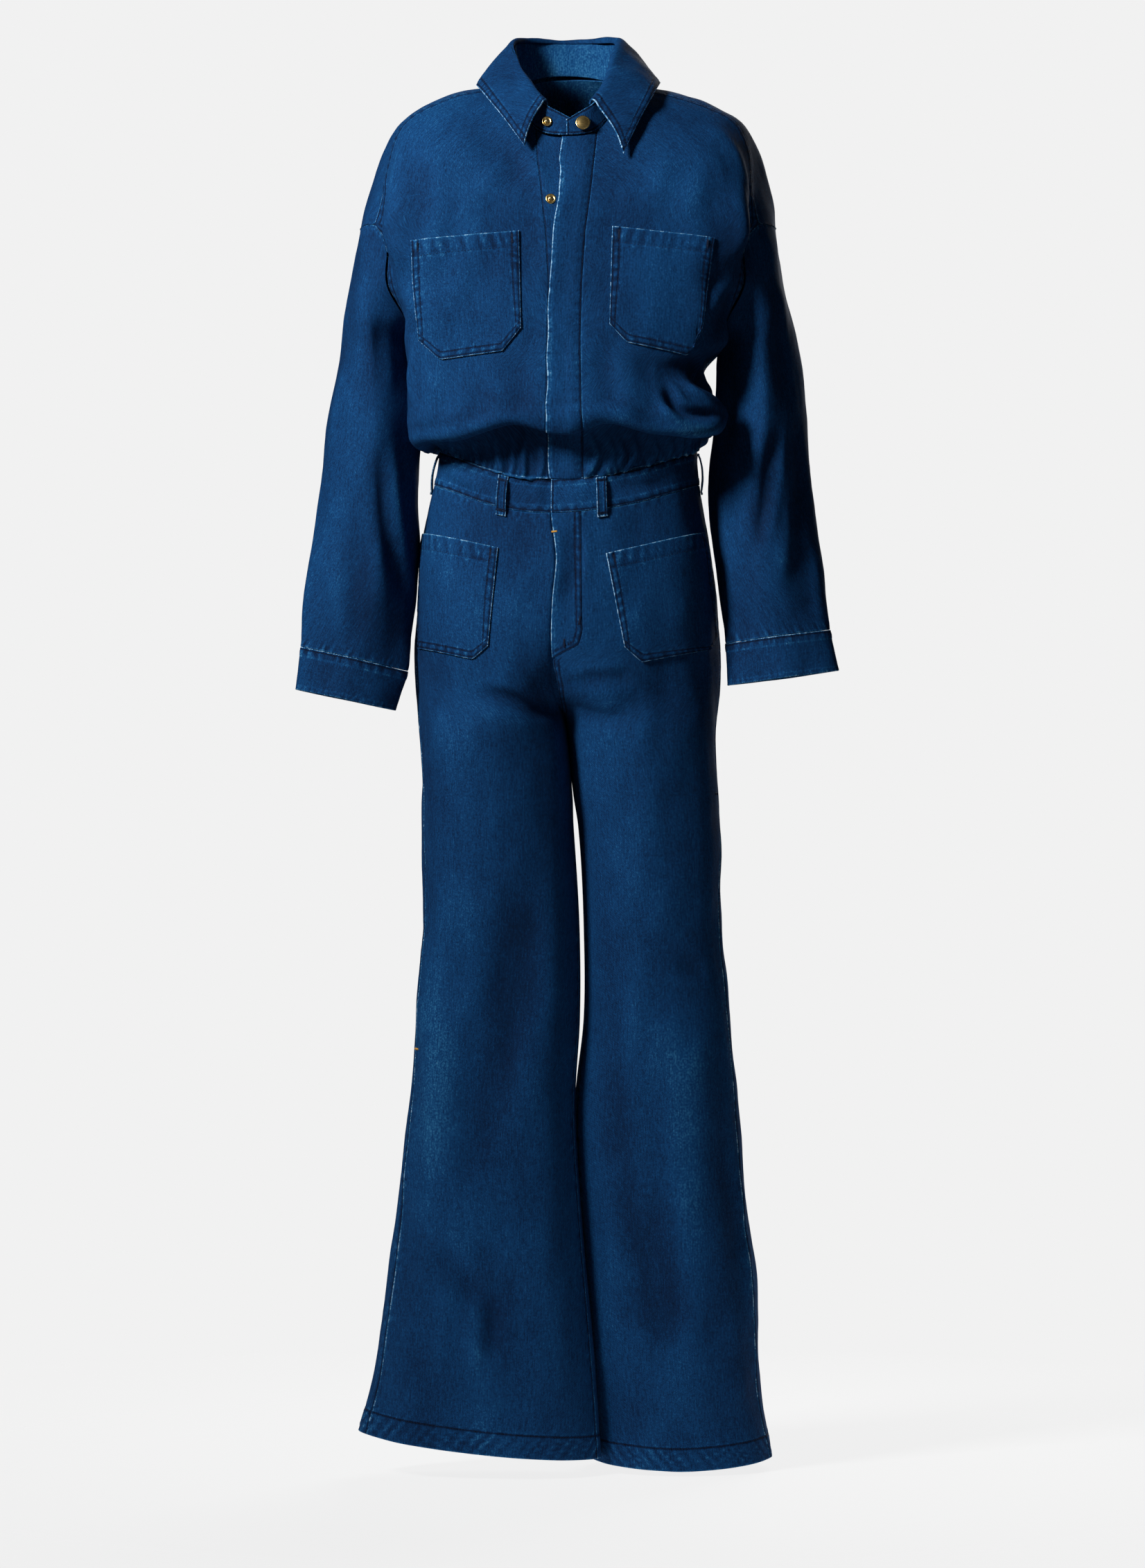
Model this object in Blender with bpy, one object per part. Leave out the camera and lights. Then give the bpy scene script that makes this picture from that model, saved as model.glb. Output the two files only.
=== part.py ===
"""A worn denim jumpsuit: snap-front blouson bodice, long cuffed sleeves and flared trousers.

Metres, +Z up.  The origin lies between the shoulder points, at the height of the collar's fold.
The front faces -Y, and the wearer's left is +X.  Every cloth piece is a wall of even thickness
along a smooth sheet, and each sheet runs through a net: its rows are levels down the garment and
its columns are stations around it.

Stations of the bodice, counted on each side from the centre front (0) round to the centre back
(9): 1 chest, 2 front fold, 3 armhole valley or side seam, 4 sleeve ridge, 5 outer arm,
6 back of the arm, 7 back valley, 8 shoulder blade.
Stations of a trouser leg: 0 centre front or inseam, 2 front, 4 side, 6 back, 8 centre back.
"""

import math
from typing import NamedTuple

import bmesh
import bpy
import numpy as np
from mathutils import Matrix, Vector

# Driving sizes
CLOTH = 0.0016           # one layer of denim
BAND = 0.0024            # doubled and topstitched: collar, stand, placket, fly, waistband, cuff
HEM = 0.0030             # the turned hem of a leg
PATCH = 0.0014           # a patch pocket
GAP = 0.0003             # clearance at every seam and between layers
ARMHOLE_CLEAR = 0.0028   # between body and sleeve where they fold against each other
LOOP_WIDTH, LOOP_WALL, LOOP_BOW = 0.0115, 0.0014, 0.0038
CAP_DIAMETER, STUD_DIAMETER = 0.0160, 0.0112

RIGHT, LEFT = -1, 1      # the wearer's sides, and the signs of their x
SIDE_NAME = {RIGHT: "right", LEFT: "left"}

# The front of the waist: the bodice and the trousers share this ring
WAIST_HALF = {RIGHT: 0.137, LEFT: 0.142}


class Level(NamedTuple):
    """A level of the bodice above the underarm, alike on both sides: (|x|, y) of its stations.

    parting is 0 where body and sleeve are one ring and 1 where each closes on itself.
    left_out is how much further out the wearer's left arm stands.
    """
    z_front: float
    z_side: float
    z_back: float
    front: float
    fold: tuple
    valley: tuple
    ridge: tuple
    outer: tuple
    heel: tuple
    back_valley: tuple
    blade: tuple
    back: float
    parting: float
    left_out: float


SHOULDERS = (
    Level(-.054, .012, .028, -.092, (.050, -.060), (.060, -.036), (.065, -.014), (.066, .004),
          (.063, .024), (.054, .042), (.034, .058), .064, 0, 0),
    Level(-.080, .000, -.012, -.104, (.098, -.074), (.114, -.048), (.122, -.020), (.125, .006),
          (.121, .034), (.108, .062), (.070, .088), .098, 0, .006),
    Level(-.104, -.028, -.052, -.112, (.150, -.082), (.168, -.054), (.179, -.024), (.183, .006),
          (.178, .036), (.162, .068), (.112, .098), .110, 0, .0105),
    Level(-.125, -.108, -.110, -.118, (.190, -.084), (.193, -.060), (.201, -.040), (.220, .004),
          (.208, .050), (.185, .078), (.140, .105), .117, .2, .003),
    Level(-.158, -.154, -.154, -.122, (.199, -.088), (.191, -.062), (.210, -.056), (.230, .004),
          (.213, .060), (.183, .072), (.150, .108), .120, .5, -.003),
    Level(-.214, -.212, -.212, -.127, (.176, -.093), (.193, -.070), (.214, -.062), (.2405, .004),
          (.219, .067), (.174, .052), (.155, .106), .121, .8, -.003),
    Level(-.246, -.246, -.246, -.129, (.170, -.092), (.1745, -.050), (.214, -.062), (.246, .006),
          (.221, .070), (.168, .030), (.153, .102), .121, .92, -.001),
    Level(-.277, -.277, -.277, -.131, (.166, -.090), (.166, .004), (.212, -.060), (.250, .008),
          (.222, .072), (.166, .004), (.150, .098), .121, 1, 0),
)


class Ring(NamedTuple):
    """A level of the bodice below the underarm, on one side: (|x|, y) of its stations."""
    z_front: float
    z_side: float
    z_back: float
    front: float
    fold: tuple
    side: tuple
    blade: tuple
    back: float


TORSO = {
    RIGHT: (
        Ring(-.312, -.312, -.312, -.134, (.169, -.086), (.152, .006), (.149, .098), .122),
        Ring(-.345, -.345, -.345, -.140, (.168, -.088), (.153, .006), (.150, .100), .126),
        Ring(-.366, -.372, -.368, -.144, (.167, -.090), (.153, .006), (.149, .102), .128),
        Ring(-.379, -.390, -.384, -.136, (.156, -.084), (.147, .005), (.141, .096), .121),
        Ring(-.372, -.381, -.374, -.118, (.137, -.072), (.141, .003), (.124, .082), .104),
        Ring(-.396, -.382, -.377, -.101, (.119, -.064), (.1385, .001), (.108, .067), .090)),
    LEFT: (
        Ring(-.308, -.300, -.306, -.134, (.141, -.090), (.1445, -.004), (.143, .096), .122),
        Ring(-.345, -.334, -.343, -.140, (.164, -.084), (.151, .002), (.147, .100), .126),
        Ring(-.366, -.350, -.366, -.144, (.172, -.082), (.154, .004), (.148, .102), .128),
        Ring(-.379, -.374, -.382, -.136, (.159, -.080), (.1505, .004), (.142, .096), .121),
        Ring(-.372, -.372, -.374, -.118, (.141, -.072), (.1455, .003), (.126, .082), .104),
        Ring(-.396, -.380, -.377, -.101, (.122, -.064), (.1435, .001), (.110, .067), .090)),
}
WAIST_SEAM = {side: Ring(-.424, -.3885, -.386, -.096, (half * .82, -.0625), (half, .0),
                         (half * .77, .061), .086) for side, half in WAIST_HALF.items()}


class Arm(NamedTuple):
    """A level of a sleeve below the underarm: (|x|, y) of its stations."""
    z_inner: float
    z_outer: float
    inner: tuple
    ridge: tuple
    outer: tuple
    heel: tuple


ARM = {
    RIGHT: (
        Arm(-.345, -.345, (.159, .012), (.209, -.058), (.2637, .010), (.218, .072)),
        Arm(-.425, -.420, (.164, .012), (.207, -.057), (.2705, .006), (.222, .060)),
        Arm(-.505, -.490, (.163, .004), (.203, -.058), (.2775, -.004), (.224, .044)),
        Arm(-.572, -.548, (.166, -.010), (.209, -.058), (.2845, -.018), (.230, .024)),
        Arm(-.6305, -.604, (.1735, -.028), (.228, -.058), (.2893, -.030), (.232, .000)),
        Arm(-.674, -.651, (.186, -.032), (.236, -.060), (.294, -.034), (.240, -.006))),
    LEFT: (
        Arm(-.345, -.345, (.164, .014), (.2145, -.060), (.260, .012), (.220, .072)),
        Arm(-.420, -.420, (.156, .016), (.210, -.058), (.2697, .008), (.222, .062)),
        Arm(-.500, -.490, (.162, .010), (.207, -.058), (.277, -.004), (.226, .046)),
        Arm(-.560, -.548, (.1685, -.006), (.210, -.058), (.2835, -.018), (.230, .026)),
        Arm(-.600, -.585, (.1715, -.028), (.228, -.058), (.288, -.030), (.232, .000)),
        Arm(-.6465, -.630, (.174, -.032), (.234, -.060), (.297, -.034), (.238, -.006))),
}
WAIST_STATIONS = ((0, 1, 2, 3, 7, 8, 9), (0, 1.25, 2.75, 4, 4, 6, 8))   # bodice, then trousers
UNDERARM = len(SHOULDERS) - 1                    # the level where body and sleeve part
WAIST_LEVEL = UNDERARM + len(TORSO[RIGHT]) + 1   # the bodice's last level
CUFF_LEVEL = UNDERARM + len(ARM[RIGHT]) - 1      # the sleeve's last level, where the cuff begins
BLOUSE_LEVEL = UNDERARM + 4                      # the lowest level of the blouse


class Edge(NamedTuple):
    """A row of a bodice panel: its level at the centre, and the station and level of its end."""
    centre: float
    station: float
    level: float


FRONT_ROWS = (
    Edge(0, 4.2, 0), Edge(1.1, 4.1, 1), Edge(2.1, 4.0, 2), Edge(3.1, 3.6, 3), Edge(3.9, 4.05, 3.8),
    Edge(4.25, 3.45, 4.05), Edge(4.6, 3, 4.4), Edge(UNDERARM, 3, UNDERARM),
    Edge(WAIST_LEVEL, 3, WAIST_LEVEL))
BACK_ROWS = (
    Edge(0, 4.2, 0), Edge(1, 4.1, 1), Edge(2, 4.0, 2), Edge(3, 3.6, 3), Edge(3.75, 4.05, 3.8),
    Edge(3.95, 5, 3.82), Edge(4.25, 6, 4.0), Edge(4.65, 7, 4.5), Edge(UNDERARM, 7, UNDERARM),
    Edge(WAIST_LEVEL, 7, WAIST_LEVEL))


class Armhole(NamedTuple):
    """A point of the armhole seam, and the station that its thread line reaches down the sleeve."""
    station: float
    level: float
    below: float


ARMHOLE = (
    Armhole(3, UNDERARM, 3), Armhole(3, 6, 3.1), Armhole(3, 5, 3.25), Armhole(3, 4.4, 3.4),
    Armhole(3.45, 4.05, 3.6), Armhole(4.05, 3.8, 4.1), Armhole(5, 3.82, 5), Armhole(6, 4.0, 6),
    Armhole(7, 4.5, 6.6), Armhole(7, 5, 6.75), Armhole(7, 6, 6.9), Armhole(7, UNDERARM, 7))


class Opening(NamedTuple):
    """The front opening at a level of the bodice: x of the over edge and of both stitch lines."""
    level: float
    edge: float
    stitch: float
    under: float


OPENING = (
    Opening(0, -.0051, .0330, -.0343), Opening(1, -.0085, .0295, -.0320),
    Opening(2, -.0075, .0270, -.0290), Opening(3, -.0100, .0245, -.0270),
    Opening(4, -.0146, .0200, -.0235), Opening(5, -.0193, .0163, -.0203),
    Opening(7, -.0210, .0145, -.0220), Opening(9, -.0222, .0155, -.0232),
    Opening(BLOUSE_LEVEL, -.0228, .0165, -.0238), Opening(WAIST_LEVEL, -.0190, .0180, -.0200))


class Arch(NamedTuple):
    """A place where the blouse's lower edge lifts over the waist."""
    x: float
    width: float
    lift: float


ARCHES = (Arch(-.057, .034, .010), Arch(.046, .034, .015))


class Hip(NamedTuple):
    """A level of the trousers above the crotch.  The clefts are the y of its centre lines."""
    z_front: float
    z_side: float
    z_back: float
    centre: float
    right: float
    left: float
    front: float
    back: float
    cleft_front: float
    cleft_back: float
    parting: float


HIPS = (
    Hip(-.424, -.3885, -.386, -.0172, WAIST_HALF[RIGHT], WAIST_HALF[LEFT], -.096, .086, -.096,
        .086, 0),
    Hip(-.461, -.426, -.424, -.0172, .1440, .1445, -.102, .094, -.102, .094, 0),
    Hip(-.510, -.487, -.480, -.0120, .1560, .1545, -.107, .110, -.107, .109, 0),
    Hip(-.556, -.547, -.545, -.0160, .1625, .1625, -.109, .122, -.108, .118, 0),
    Hip(-.604, -.600, -.604, -.0171, .1660, .1665, -.109, .126, -.104, .118, .1),
    Hip(-.650, -.650, -.652, -.0120, .1630, .1685, -.106, .120, -.080, .094, .5),
)
SQUARE_HIPS, SQUARE_LEG = 2.3, 2.2
CLEFT_CLEAR = 0.0013     # each leg's share of the gap where both fold in towards the crotch
HIP_OUT = (0, .27, .56, .84, 1, .84, .56, .27, 0)      # how far out each station of a hip lies


class Leg(NamedTuple):
    """A level of a trouser leg: heights, x of its inner and outer side, and its depth in y.

    lean turns the inner side a little, so that the two legs lie on each other without a slit.
    """
    z_inner: float
    z_front: float
    z_outer: float
    inner: float
    outer: float
    middle: float
    front: float
    back: float
    lean: float


LEGS = {
    RIGHT: (
        Leg(-.690, -.692, -.695, -.0030, -.1610, -.002, -.102, .108, .05),
        Leg(-.745, -.745, -.745, .0025, -.1600, -.004, -.096, .098, .06),
        Leg(-.800, -.800, -.800, .0065, -.1600, -.006, -.090, .088, .03),
        Leg(-.910, -.910, -.910, .0130, -.1600, -.008, -.080, .066, 0),
        Leg(-1.010, -1.010, -1.010, .0135, -.1655, -.012, -.076, .054, 0),
        Leg(-1.100, -1.100, -1.100, .0085, -.1722, -.015, -.076, .050, 0),
        Leg(-1.220, -1.220, -1.218, .0150, -.1840, -.020, -.082, .046, 0),
        Leg(-1.345, -1.342, -1.335, .0260, -.1990, -.028, -.088, .038, 0),
        Leg(-1.459, -1.448, -1.428, .0350, -.2170, -.034, -.093, .030, 0),
        Leg(-1.488, -1.478, -1.459, .0365, -.2255, -.035, -.094, .029, 0)),
    LEFT: (
        Leg(-.690, -.692, -.695, .0010, .1650, .002, -.098, .112, .05),
        Leg(-.745, -.745, -.745, .0065, .1660, .002, -.092, .100, .06),
        Leg(-.800, -.800, -.800, .0130, .1685, .002, -.084, .090, .03),
        Leg(-.910, -.910, -.910, .0190, .1670, .002, -.072, .072, 0),
        Leg(-1.010, -1.010, -1.010, .0190, .1755, .003, -.066, .070, 0),
        Leg(-1.100, -1.100, -1.100, .0095, .1865, .005, -.062, .074, 0),
        Leg(-1.220, -1.220, -1.220, .0130, .1965, .010, -.060, .085, 0),
        Leg(-1.340, -1.342, -1.340, .0180, .2080, .020, -.058, .100, 0),
        Leg(-1.464, -1.472, -1.464, .0220, .2200, .027, -.057, .112, 0),
        Leg(-1.492, -1.501, -1.492, .0225, .2255, .028, -.057, .113, 0)),
}
CROTCH = len(HIPS)                               # the level where the legs part
HEM_LEVEL = CROTCH + len(LEGS[RIGHT]) - 1
FLY_FOOT = -0.6185


class Seam(NamedTuple):
    """Where the inseam and the outseam of a leg run at a level, as stations."""
    level: float
    inseam: float
    outseam: float


LEG_SEAMS = (Seam(0, 0, 4), Seam(CROTCH, 0, 3.85), Seam(CROTCH + 3, .25, 3.6),
             Seam(HEM_LEVEL, .25, 3.6))


class Fly(NamedTuple):
    """The outer line of the fly, the curve of its stitching: x at a height."""
    z: float
    x: float


FLY = (Fly(-.440, .0150), Fly(-.590, .0165), Fly(-.604, .0125), Fly(-.6175, -.0150))

# Pocket outlines seen from the front, as (x, z), clockwise from the inner top corner
CHEST_POCKET = {
    RIGHT: ((-.0513, -.1583), (-.0489, -.2641), (-.0690, -.2892), (-.1356, -.2973),
            (-.1567, -.2753), (-.1682, -.1683)),
    LEFT: ((.0485, -.1536), (.0455, -.2598), (.0641, -.2797), (.1283, -.2914), (.1442, -.2663),
           (.1594, -.1653)),
}
HIP_POCKET = {
    RIGHT: ((-.0739, -.4983), (-.0836, -.6044), (-.1000, -.6186), (-.1628, -.6055),
            (-.1650, -.5700), (-.1590, -.5050), (-.1545, -.4797)),
    LEFT: ((.0412, -.5051), (.0614, -.6059), (.0801, -.6223), (.1553, -.6075), (.1640, -.5926),
           (.1520, -.5000), (.1470, -.4791)),
}


class Collar(NamedTuple):
    """A section of the collar: the neckline station below it, its fold and its outer edge."""
    station: float
    fold: tuple
    edge: tuple


COLLAR = {
    RIGHT: (
        Collar(.62, (-.0224, -.0830, -.0168), (-.0454, -.1075, -.0666)),
        Collar(1.3, (-.0322, -.0730, -.0075), (-.0690, -.0860, -.0330)),
        Collar(2.5, (-.0459, -.0500, .0126), (-.0905, -.0500, -.0030)),
        Collar(4, (-.0560, -.0150, .0400), (-.0964, -.0060, .0095)),
        Collar(5.6, (-.0590, .0200, .0615), (-.0935, .0400, .0150)),
        Collar(7.4, (-.0380, .0540, .0670), (-.0600, .0820, .0060))),
    LEFT: (
        Collar(.75, (.0271, -.0830, -.0168), (.0613, -.1090, -.0742)),
        Collar(1.4, (.0380, -.0710, -.0040), (.0780, -.0860, -.0370)),
        Collar(2.5, (.0480, -.0470, .0180), (.0945, -.0500, -.0030)),
        Collar(4, (.0540, -.0150, .0430), (.1005, -.0060, .0125)),
        Collar(5.6, (.0575, .0200, .0615), (.0950, .0400, .0150)),
        Collar(7.4, (.0370, .0540, .0670), (.0610, .0820, .0060))),
}
COLLAR_BACK = Collar(9, (0, .0690, .0680), (0, .0985, .0030))
# The stand runs on past the collar to its snap: (x, y, z) of its upper corner
STAND_END = {RIGHT: (.0090, -.0905, -.0360), LEFT: (-.0005, -.0905, -.0352)}

# The snaps, as (x, z) seen from the front
CAP_PLACE, COLLAR_STUD_PLACE = (.0173, -.0394), (-.0216, -.0373)
PLACKET_STUD_PLACE = (-.0174, -.124)
PLACKET_STUD_LEVEL = 2.97

DENIM = (0.010, 0.040, 0.110, 1)
BRASS = (0.62, 0.42, 0.16, 1)


# ---------------------------------------------------------------- smooth sheets

def smooth_step(low, high, value):
    """0 below low, 1 above high, and a smooth rise between."""
    share = np.clip((np.asarray(value, float) - low) / (high - low), 0, 1)
    return share * share * (3 - 2 * share)


def table_line(rows, column, places):
    """Read one column of a table at the given places of its first column."""
    return np.interp(places, [row[0] for row in rows], [getattr(row, column) for row in rows])


def along(before, start, end, after, share):
    """Points a share of the way from start to end on a smooth line through all four."""
    gaps = [np.linalg.norm(b - a, axis=-1, keepdims=True) + 1e-9
            for a, b in ((before, start), (start, end), (end, after))]
    leave = (start - before) / gaps[0] * gaps[1] + (end - start) / gaps[1] * gaps[0]
    leave /= gaps[0] + gaps[1]
    reach = (end - start) / gaps[1] * gaps[2] + (after - end) / gaps[2] * gaps[1]
    reach /= gaps[1] + gaps[2]
    square, cube = share * share, share ** 3
    return ((2 * cube - 3 * square + 1) * start + (cube - 2 * square + share) * gaps[1] * leave
            + (3 * square - 2 * cube) * end + (cube - square) * gaps[1] * reach)


class Sheet:
    """A smooth surface through a net of levels and stations, with one guide column at each end."""

    def __init__(self, net, first_station=0):
        net = np.array(net, float)
        self.net = np.concatenate(([2 * net[0] - net[1]], net, [2 * net[-1] - net[-2]]))
        self.first = first_station

    def at(self, station, level):
        """The points at arrays of stations and levels."""
        station, level = np.broadcast_arrays(np.asarray(station, float), np.asarray(level, float))
        t, v = station - self.first, level
        column = np.clip(np.floor(t), 0, self.net.shape[1] - 4).astype(int)
        row = np.clip(np.floor(v), 0, self.net.shape[0] - 4).astype(int)
        lines = [along(*(self.net[row + r, column + c] for r in range(4)), (v - row)[..., None])
                 for c in range(4)]
        return along(*lines, (t - column)[..., None])


def normals(surface, station, level, low, high, step=1e-3):
    """Unit normals of a surface, from short steps that stay between the stations low and high."""
    before = surface(np.clip(station - step, low, high), level)
    after = surface(np.clip(station + step, low, high), level)
    across, down = after - before, surface(station, level + step) - surface(station, level - step)
    normal = np.cross(down, across)
    return normal / (np.linalg.norm(normal, axis=-1, keepdims=True) + 1e-12)


# ---------------------------------------------------------------- the bodice's net

CHEST_SHARE, CHEST_DROP = 0.55, 0.18     # where the chest station lies between centre and fold
FRONT_SHARE = (1, .94, .50, .25, .08, 0, 0, 0, 0, 0)
BACK_SHARE = (0, 0, 0, 0, 0, 0, .05, .3, .8, 1)
OUT_SHARE = (0, .2, .6, .9, 1, 1, 1, .9, .5, 0)
RING_FRONT_SHARE, RING_BACK_SHARE = (1, .92, .45, 0, 0, 0), (0, 0, 0, 0, .6, 1)


def chest_point(fold, front):
    """The chest station between the centre front and the fold."""
    return fold[0] * CHEST_SHARE, front + (fold[1] - front) * CHEST_DROP


def shoulder_stations(side, row):
    """The ten stations of a level above the underarm."""
    flat = ((0, row.front), chest_point(row.fold, row.front), row.fold, row.valley, row.ridge,
            row.outer, row.heel, row.back_valley, row.blade, (0, row.back))
    heights = [row.z_front * f + row.z_back * b + row.z_side * (1 - f - b)
               for f, b in zip(FRONT_SHARE, BACK_SHARE)]
    wider = row.left_out if side == LEFT else 0
    return np.array([(side * (x + wider * share), y, z)
                     for (x, y), z, share in zip(flat, heights, OUT_SHARE)])


def ring_stations(side, row):
    """The six stations of a level below the underarm: 0 to 3, blade and centre back."""
    flat = ((0, row.front), chest_point(row.fold, row.front), row.fold, row.side, row.blade,
            (0, row.back))
    heights = [row.z_front * f + row.z_back * b + row.z_side * (1 - f - b)
               for f, b in zip(RING_FRONT_SHARE, RING_BACK_SHARE)]
    return np.array([(side * x, y, z) for (x, y), z in zip(flat, heights)])


def arm_stations(side, row):
    """The five stations of a sleeve level: inner, ridge, outer, heel and inner again."""
    middle = (row.z_inner + row.z_outer) / 2
    return np.array([(side * x, y, z) for (x, y), z in (
        (row.inner, row.z_inner), (row.ridge, middle), (row.outer, row.z_outer),
        (row.heel, middle), (row.inner, row.z_inner))])


def mix(first, second, share):
    """A straight mix of two points."""
    return first * (1 - share) + second * share


class Bodice:
    """One side of the bodice with its sleeve: three sheets that meet at the valleys."""

    def __init__(self, side):
        self.side = side
        front, arm, back = [], [], []
        mirrored = np.array((-1, 1, 1))
        for row in SHOULDERS:
            p = shoulder_stations(side, row)
            part = row.parting
            front.append([p[1] * mirrored, *p[0:4], mix(p[4], p[8], part)])
            clear = np.array((side * ARMHOLE_CLEAR * min(1, part * 1.4), 0, 0))
            arm.append([mix(p[2], p[6], part), p[3] + clear, *p[4:7], p[7] + clear,
                        mix(p[8], p[4], part)])
            back.append([mix(p[6], p[2], part), *p[7:10], p[8] * mirrored])
        other = TORSO[-side] + (WAIST_SEAM[-side],)
        for row, across in zip(TORSO[side] + (WAIST_SEAM[side],), other):
            p, q = ring_stations(side, row), ring_stations(-side, across)
            front.append([q[1], *p[0:4], p[4]])
            back.append([p[2], *p[3:6], q[4]])
        for row in ARM[side]:
            p = arm_stations(side, row)
            arm.append([p[3], *p, p[1]])
        self.front, self.arm, self.back = Sheet(front), Sheet(arm, 3), Sheet(back, 7)

    def at(self, station, level):
        """Points of the bodice: the front to station 3, the arm to 7 and the back to 9."""
        station, level = np.broadcast_arrays(np.asarray(station, float), np.asarray(level, float))
        points = np.where((station <= 3)[..., None], self.front.at(np.minimum(station, 3), level),
                          self.arm.at(np.clip(station, 3, 7), level))
        points = np.where((station >= 7)[..., None], self.back.at(np.maximum(station, 7), level),
                          points)
        return self.waisted(self.arched(points, level), station, level)

    def waisted(self, points, station, level):
        """Bring the last level onto the ring of the trousers' waist."""
        share = smooth_step(WAIST_LEVEL - 1, WAIST_LEVEL, level)[..., None]
        round_waist = np.interp(station, WAIST_STATIONS[0], WAIST_STATIONS[1])
        ring = LEG[self.side].at(round_waist, np.zeros_like(level))
        return points * (1 - share) + (ring + (0, 0, GAP)) * share

    @staticmethod
    def arched(points, level):
        """Lift the lower edge of the blouse at its arches."""
        reach = smooth_step(BLOUSE_LEVEL - 3, BLOUSE_LEVEL - .5, level)
        reach = reach * (1 - smooth_step(BLOUSE_LEVEL + .5, BLOUSE_LEVEL + 2.5, level))
        front = points[..., 1] < 0
        for arch in ARCHES:
            rise = arch.lift * np.exp(-((points[..., 0] - arch.x) / arch.width) ** 2)
            points = points + (rise * reach * front)[..., None] * np.array((0, 0, 1))
        return points


BODICE = {side: Bodice(side) for side in (RIGHT, LEFT)}


def station_at(surface, side, x, level, reach=1.6):
    """The station of a side's front where it crosses the plane x, at each level."""
    low, high = np.zeros_like(level), np.full_like(level, reach)
    for _ in range(30):
        middle = (low + high) / 2
        inside = side * surface(middle, level)[..., 0] < side * x
        low, high = np.where(inside, middle, low), np.where(inside, high, middle)
    return (low + high) / 2


def front_strip(x, level):
    """Points and normals of the bodice's front at given x, on whichever side they fall."""
    x, level = np.broadcast_arrays(np.asarray(x, float), np.asarray(level, float))
    points, outward = np.zeros((*x.shape, 3)), np.zeros((*x.shape, 3))
    for side, half in BODICE.items():
        station = station_at(half.at, side, x, level)
        own = (side * (x - half.at(0.0, level)[..., 0]) >= 0)[..., None]
        points = np.where(own, half.at(station, level), points)
        outward = np.where(own, side * normals(half.at, station, level, 0, 3), outward)
    return points, outward


# ---------------------------------------------------------------- the trousers' net

def power(value, square):
    """The signed power that turns a circle's coordinate into a squarer outline's."""
    return math.copysign(abs(value) ** (2 / square), value)


def hip_stations(side, row):
    """The nine stations of half a hip level, from the centre front to the centre back."""
    half = (row.right if side == RIGHT else row.left) - side * row.centre
    stations = []
    for index, out in enumerate(HIP_OUT):
        deep = (1 - out ** SQUARE_HIPS) ** (1 / SQUARE_HIPS)
        depth = row.front if index < 4 else row.back
        end = row.z_front if index < 4 else row.z_back
        height = row.z_side + (end - row.z_side) * (1 - out ** 2)
        stations.append([row.centre + side * half * out, depth * deep, height])
    for index, cleft in ((0, row.cleft_front), (8, row.cleft_back)):
        stations[index][0] += side * CLEFT_CLEAR * min(1, row.parting * 2.5)
        stations[index][1] = cleft
    return np.array(stations)


def leg_stations(row):
    """The nine stations round a leg, from the inseam by the front, side and back."""
    centre, half = (row.inner + row.outer) / 2, (row.inner - row.outer) / 2
    stations = []
    for index in range(9):
        angle = math.radians(index * 45)
        inward, deep = power(math.cos(angle), SQUARE_LEG), -power(math.sin(angle), SQUARE_LEG)
        depth = row.middle - row.front if index < 4 else row.back - row.middle
        y = depth * deep
        height = (row.z_inner + row.z_outer) / 2 + (row.z_inner - row.z_outer) / 2 * math.cos(angle)
        if index < 4:
            height += (row.z_front - (row.z_inner + row.z_outer) / 2) * math.sin(angle) ** 2
        lean = -row.lean * y * max(math.cos(angle), 0)
        stations.append([centre + half * inward + lean, row.middle + y, height])
    return np.array(stations)


class Leg3D:
    """Half of the trousers: half a ring to the crotch, and a closed ring below it."""

    def __init__(self, side):
        self.side = side
        net = []
        for row in HIPS:
            p, q = hip_stations(side, row), hip_stations(-side, row)
            net.append([mix(q[1], p[7], row.parting), *p, mix(q[7], p[1], row.parting)])
        for row in LEGS[side]:
            p = leg_stations(row)
            net.append([p[7], *p, p[1]])
        self.sheet = Sheet(net)

    def at(self, station, level):
        """Points of the leg: a station past 8 has crossed the inseam."""
        station, level = np.broadcast_arrays(np.asarray(station, float), np.asarray(level, float))
        return self.sheet.at(np.where(station > 8, station - 8, station), level)


LEG = {side: Leg3D(side) for side in (RIGHT, LEFT)}


def level_at(surface, station, z, low, high):
    """The level where a surface's station line passes the height z."""
    for _ in range(30):
        middle = (low + high) / 2
        above = surface(station, middle)[..., 2] > z
        low, high = (middle, high) if above else (low, middle)
    return (low + high) / 2


# ---------------------------------------------------------------- making pieces

def finish_for(name, colour, roughness, metallic=0.0):
    """A plain Principled material."""
    material = bpy.data.materials.new(name)
    material.use_nodes = True
    shader = material.node_tree.nodes["Principled BSDF"]
    shader.inputs["Base Color"].default_value = colour
    shader.inputs["Roughness"].default_value = roughness
    shader.inputs["Metallic"].default_value = metallic
    material.diffuse_color = colour
    return material


def add_object(name, mesh_data, material):
    """Link an object that holds a bmesh, and free the bmesh."""
    mesh = bpy.data.meshes.new(name)
    mesh_data.to_mesh(mesh)
    mesh_data.free()
    mesh.materials.append(material)
    piece = bpy.data.objects.new(name, mesh)
    bpy.context.scene.collection.objects.link(piece)
    return piece


class Cloth(NamedTuple):
    """A grid of points on a sheet, rows by columns, and the outward normals there."""
    points: np.ndarray
    outward: np.ndarray


def beside(first, second):
    """Two cloths side by side that share the column where they meet."""
    return Cloth(np.concatenate((first.points, second.points[:, 1:]), axis=1),
                 np.concatenate((first.outward, second.outward[:, 1:]), axis=1))


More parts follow.
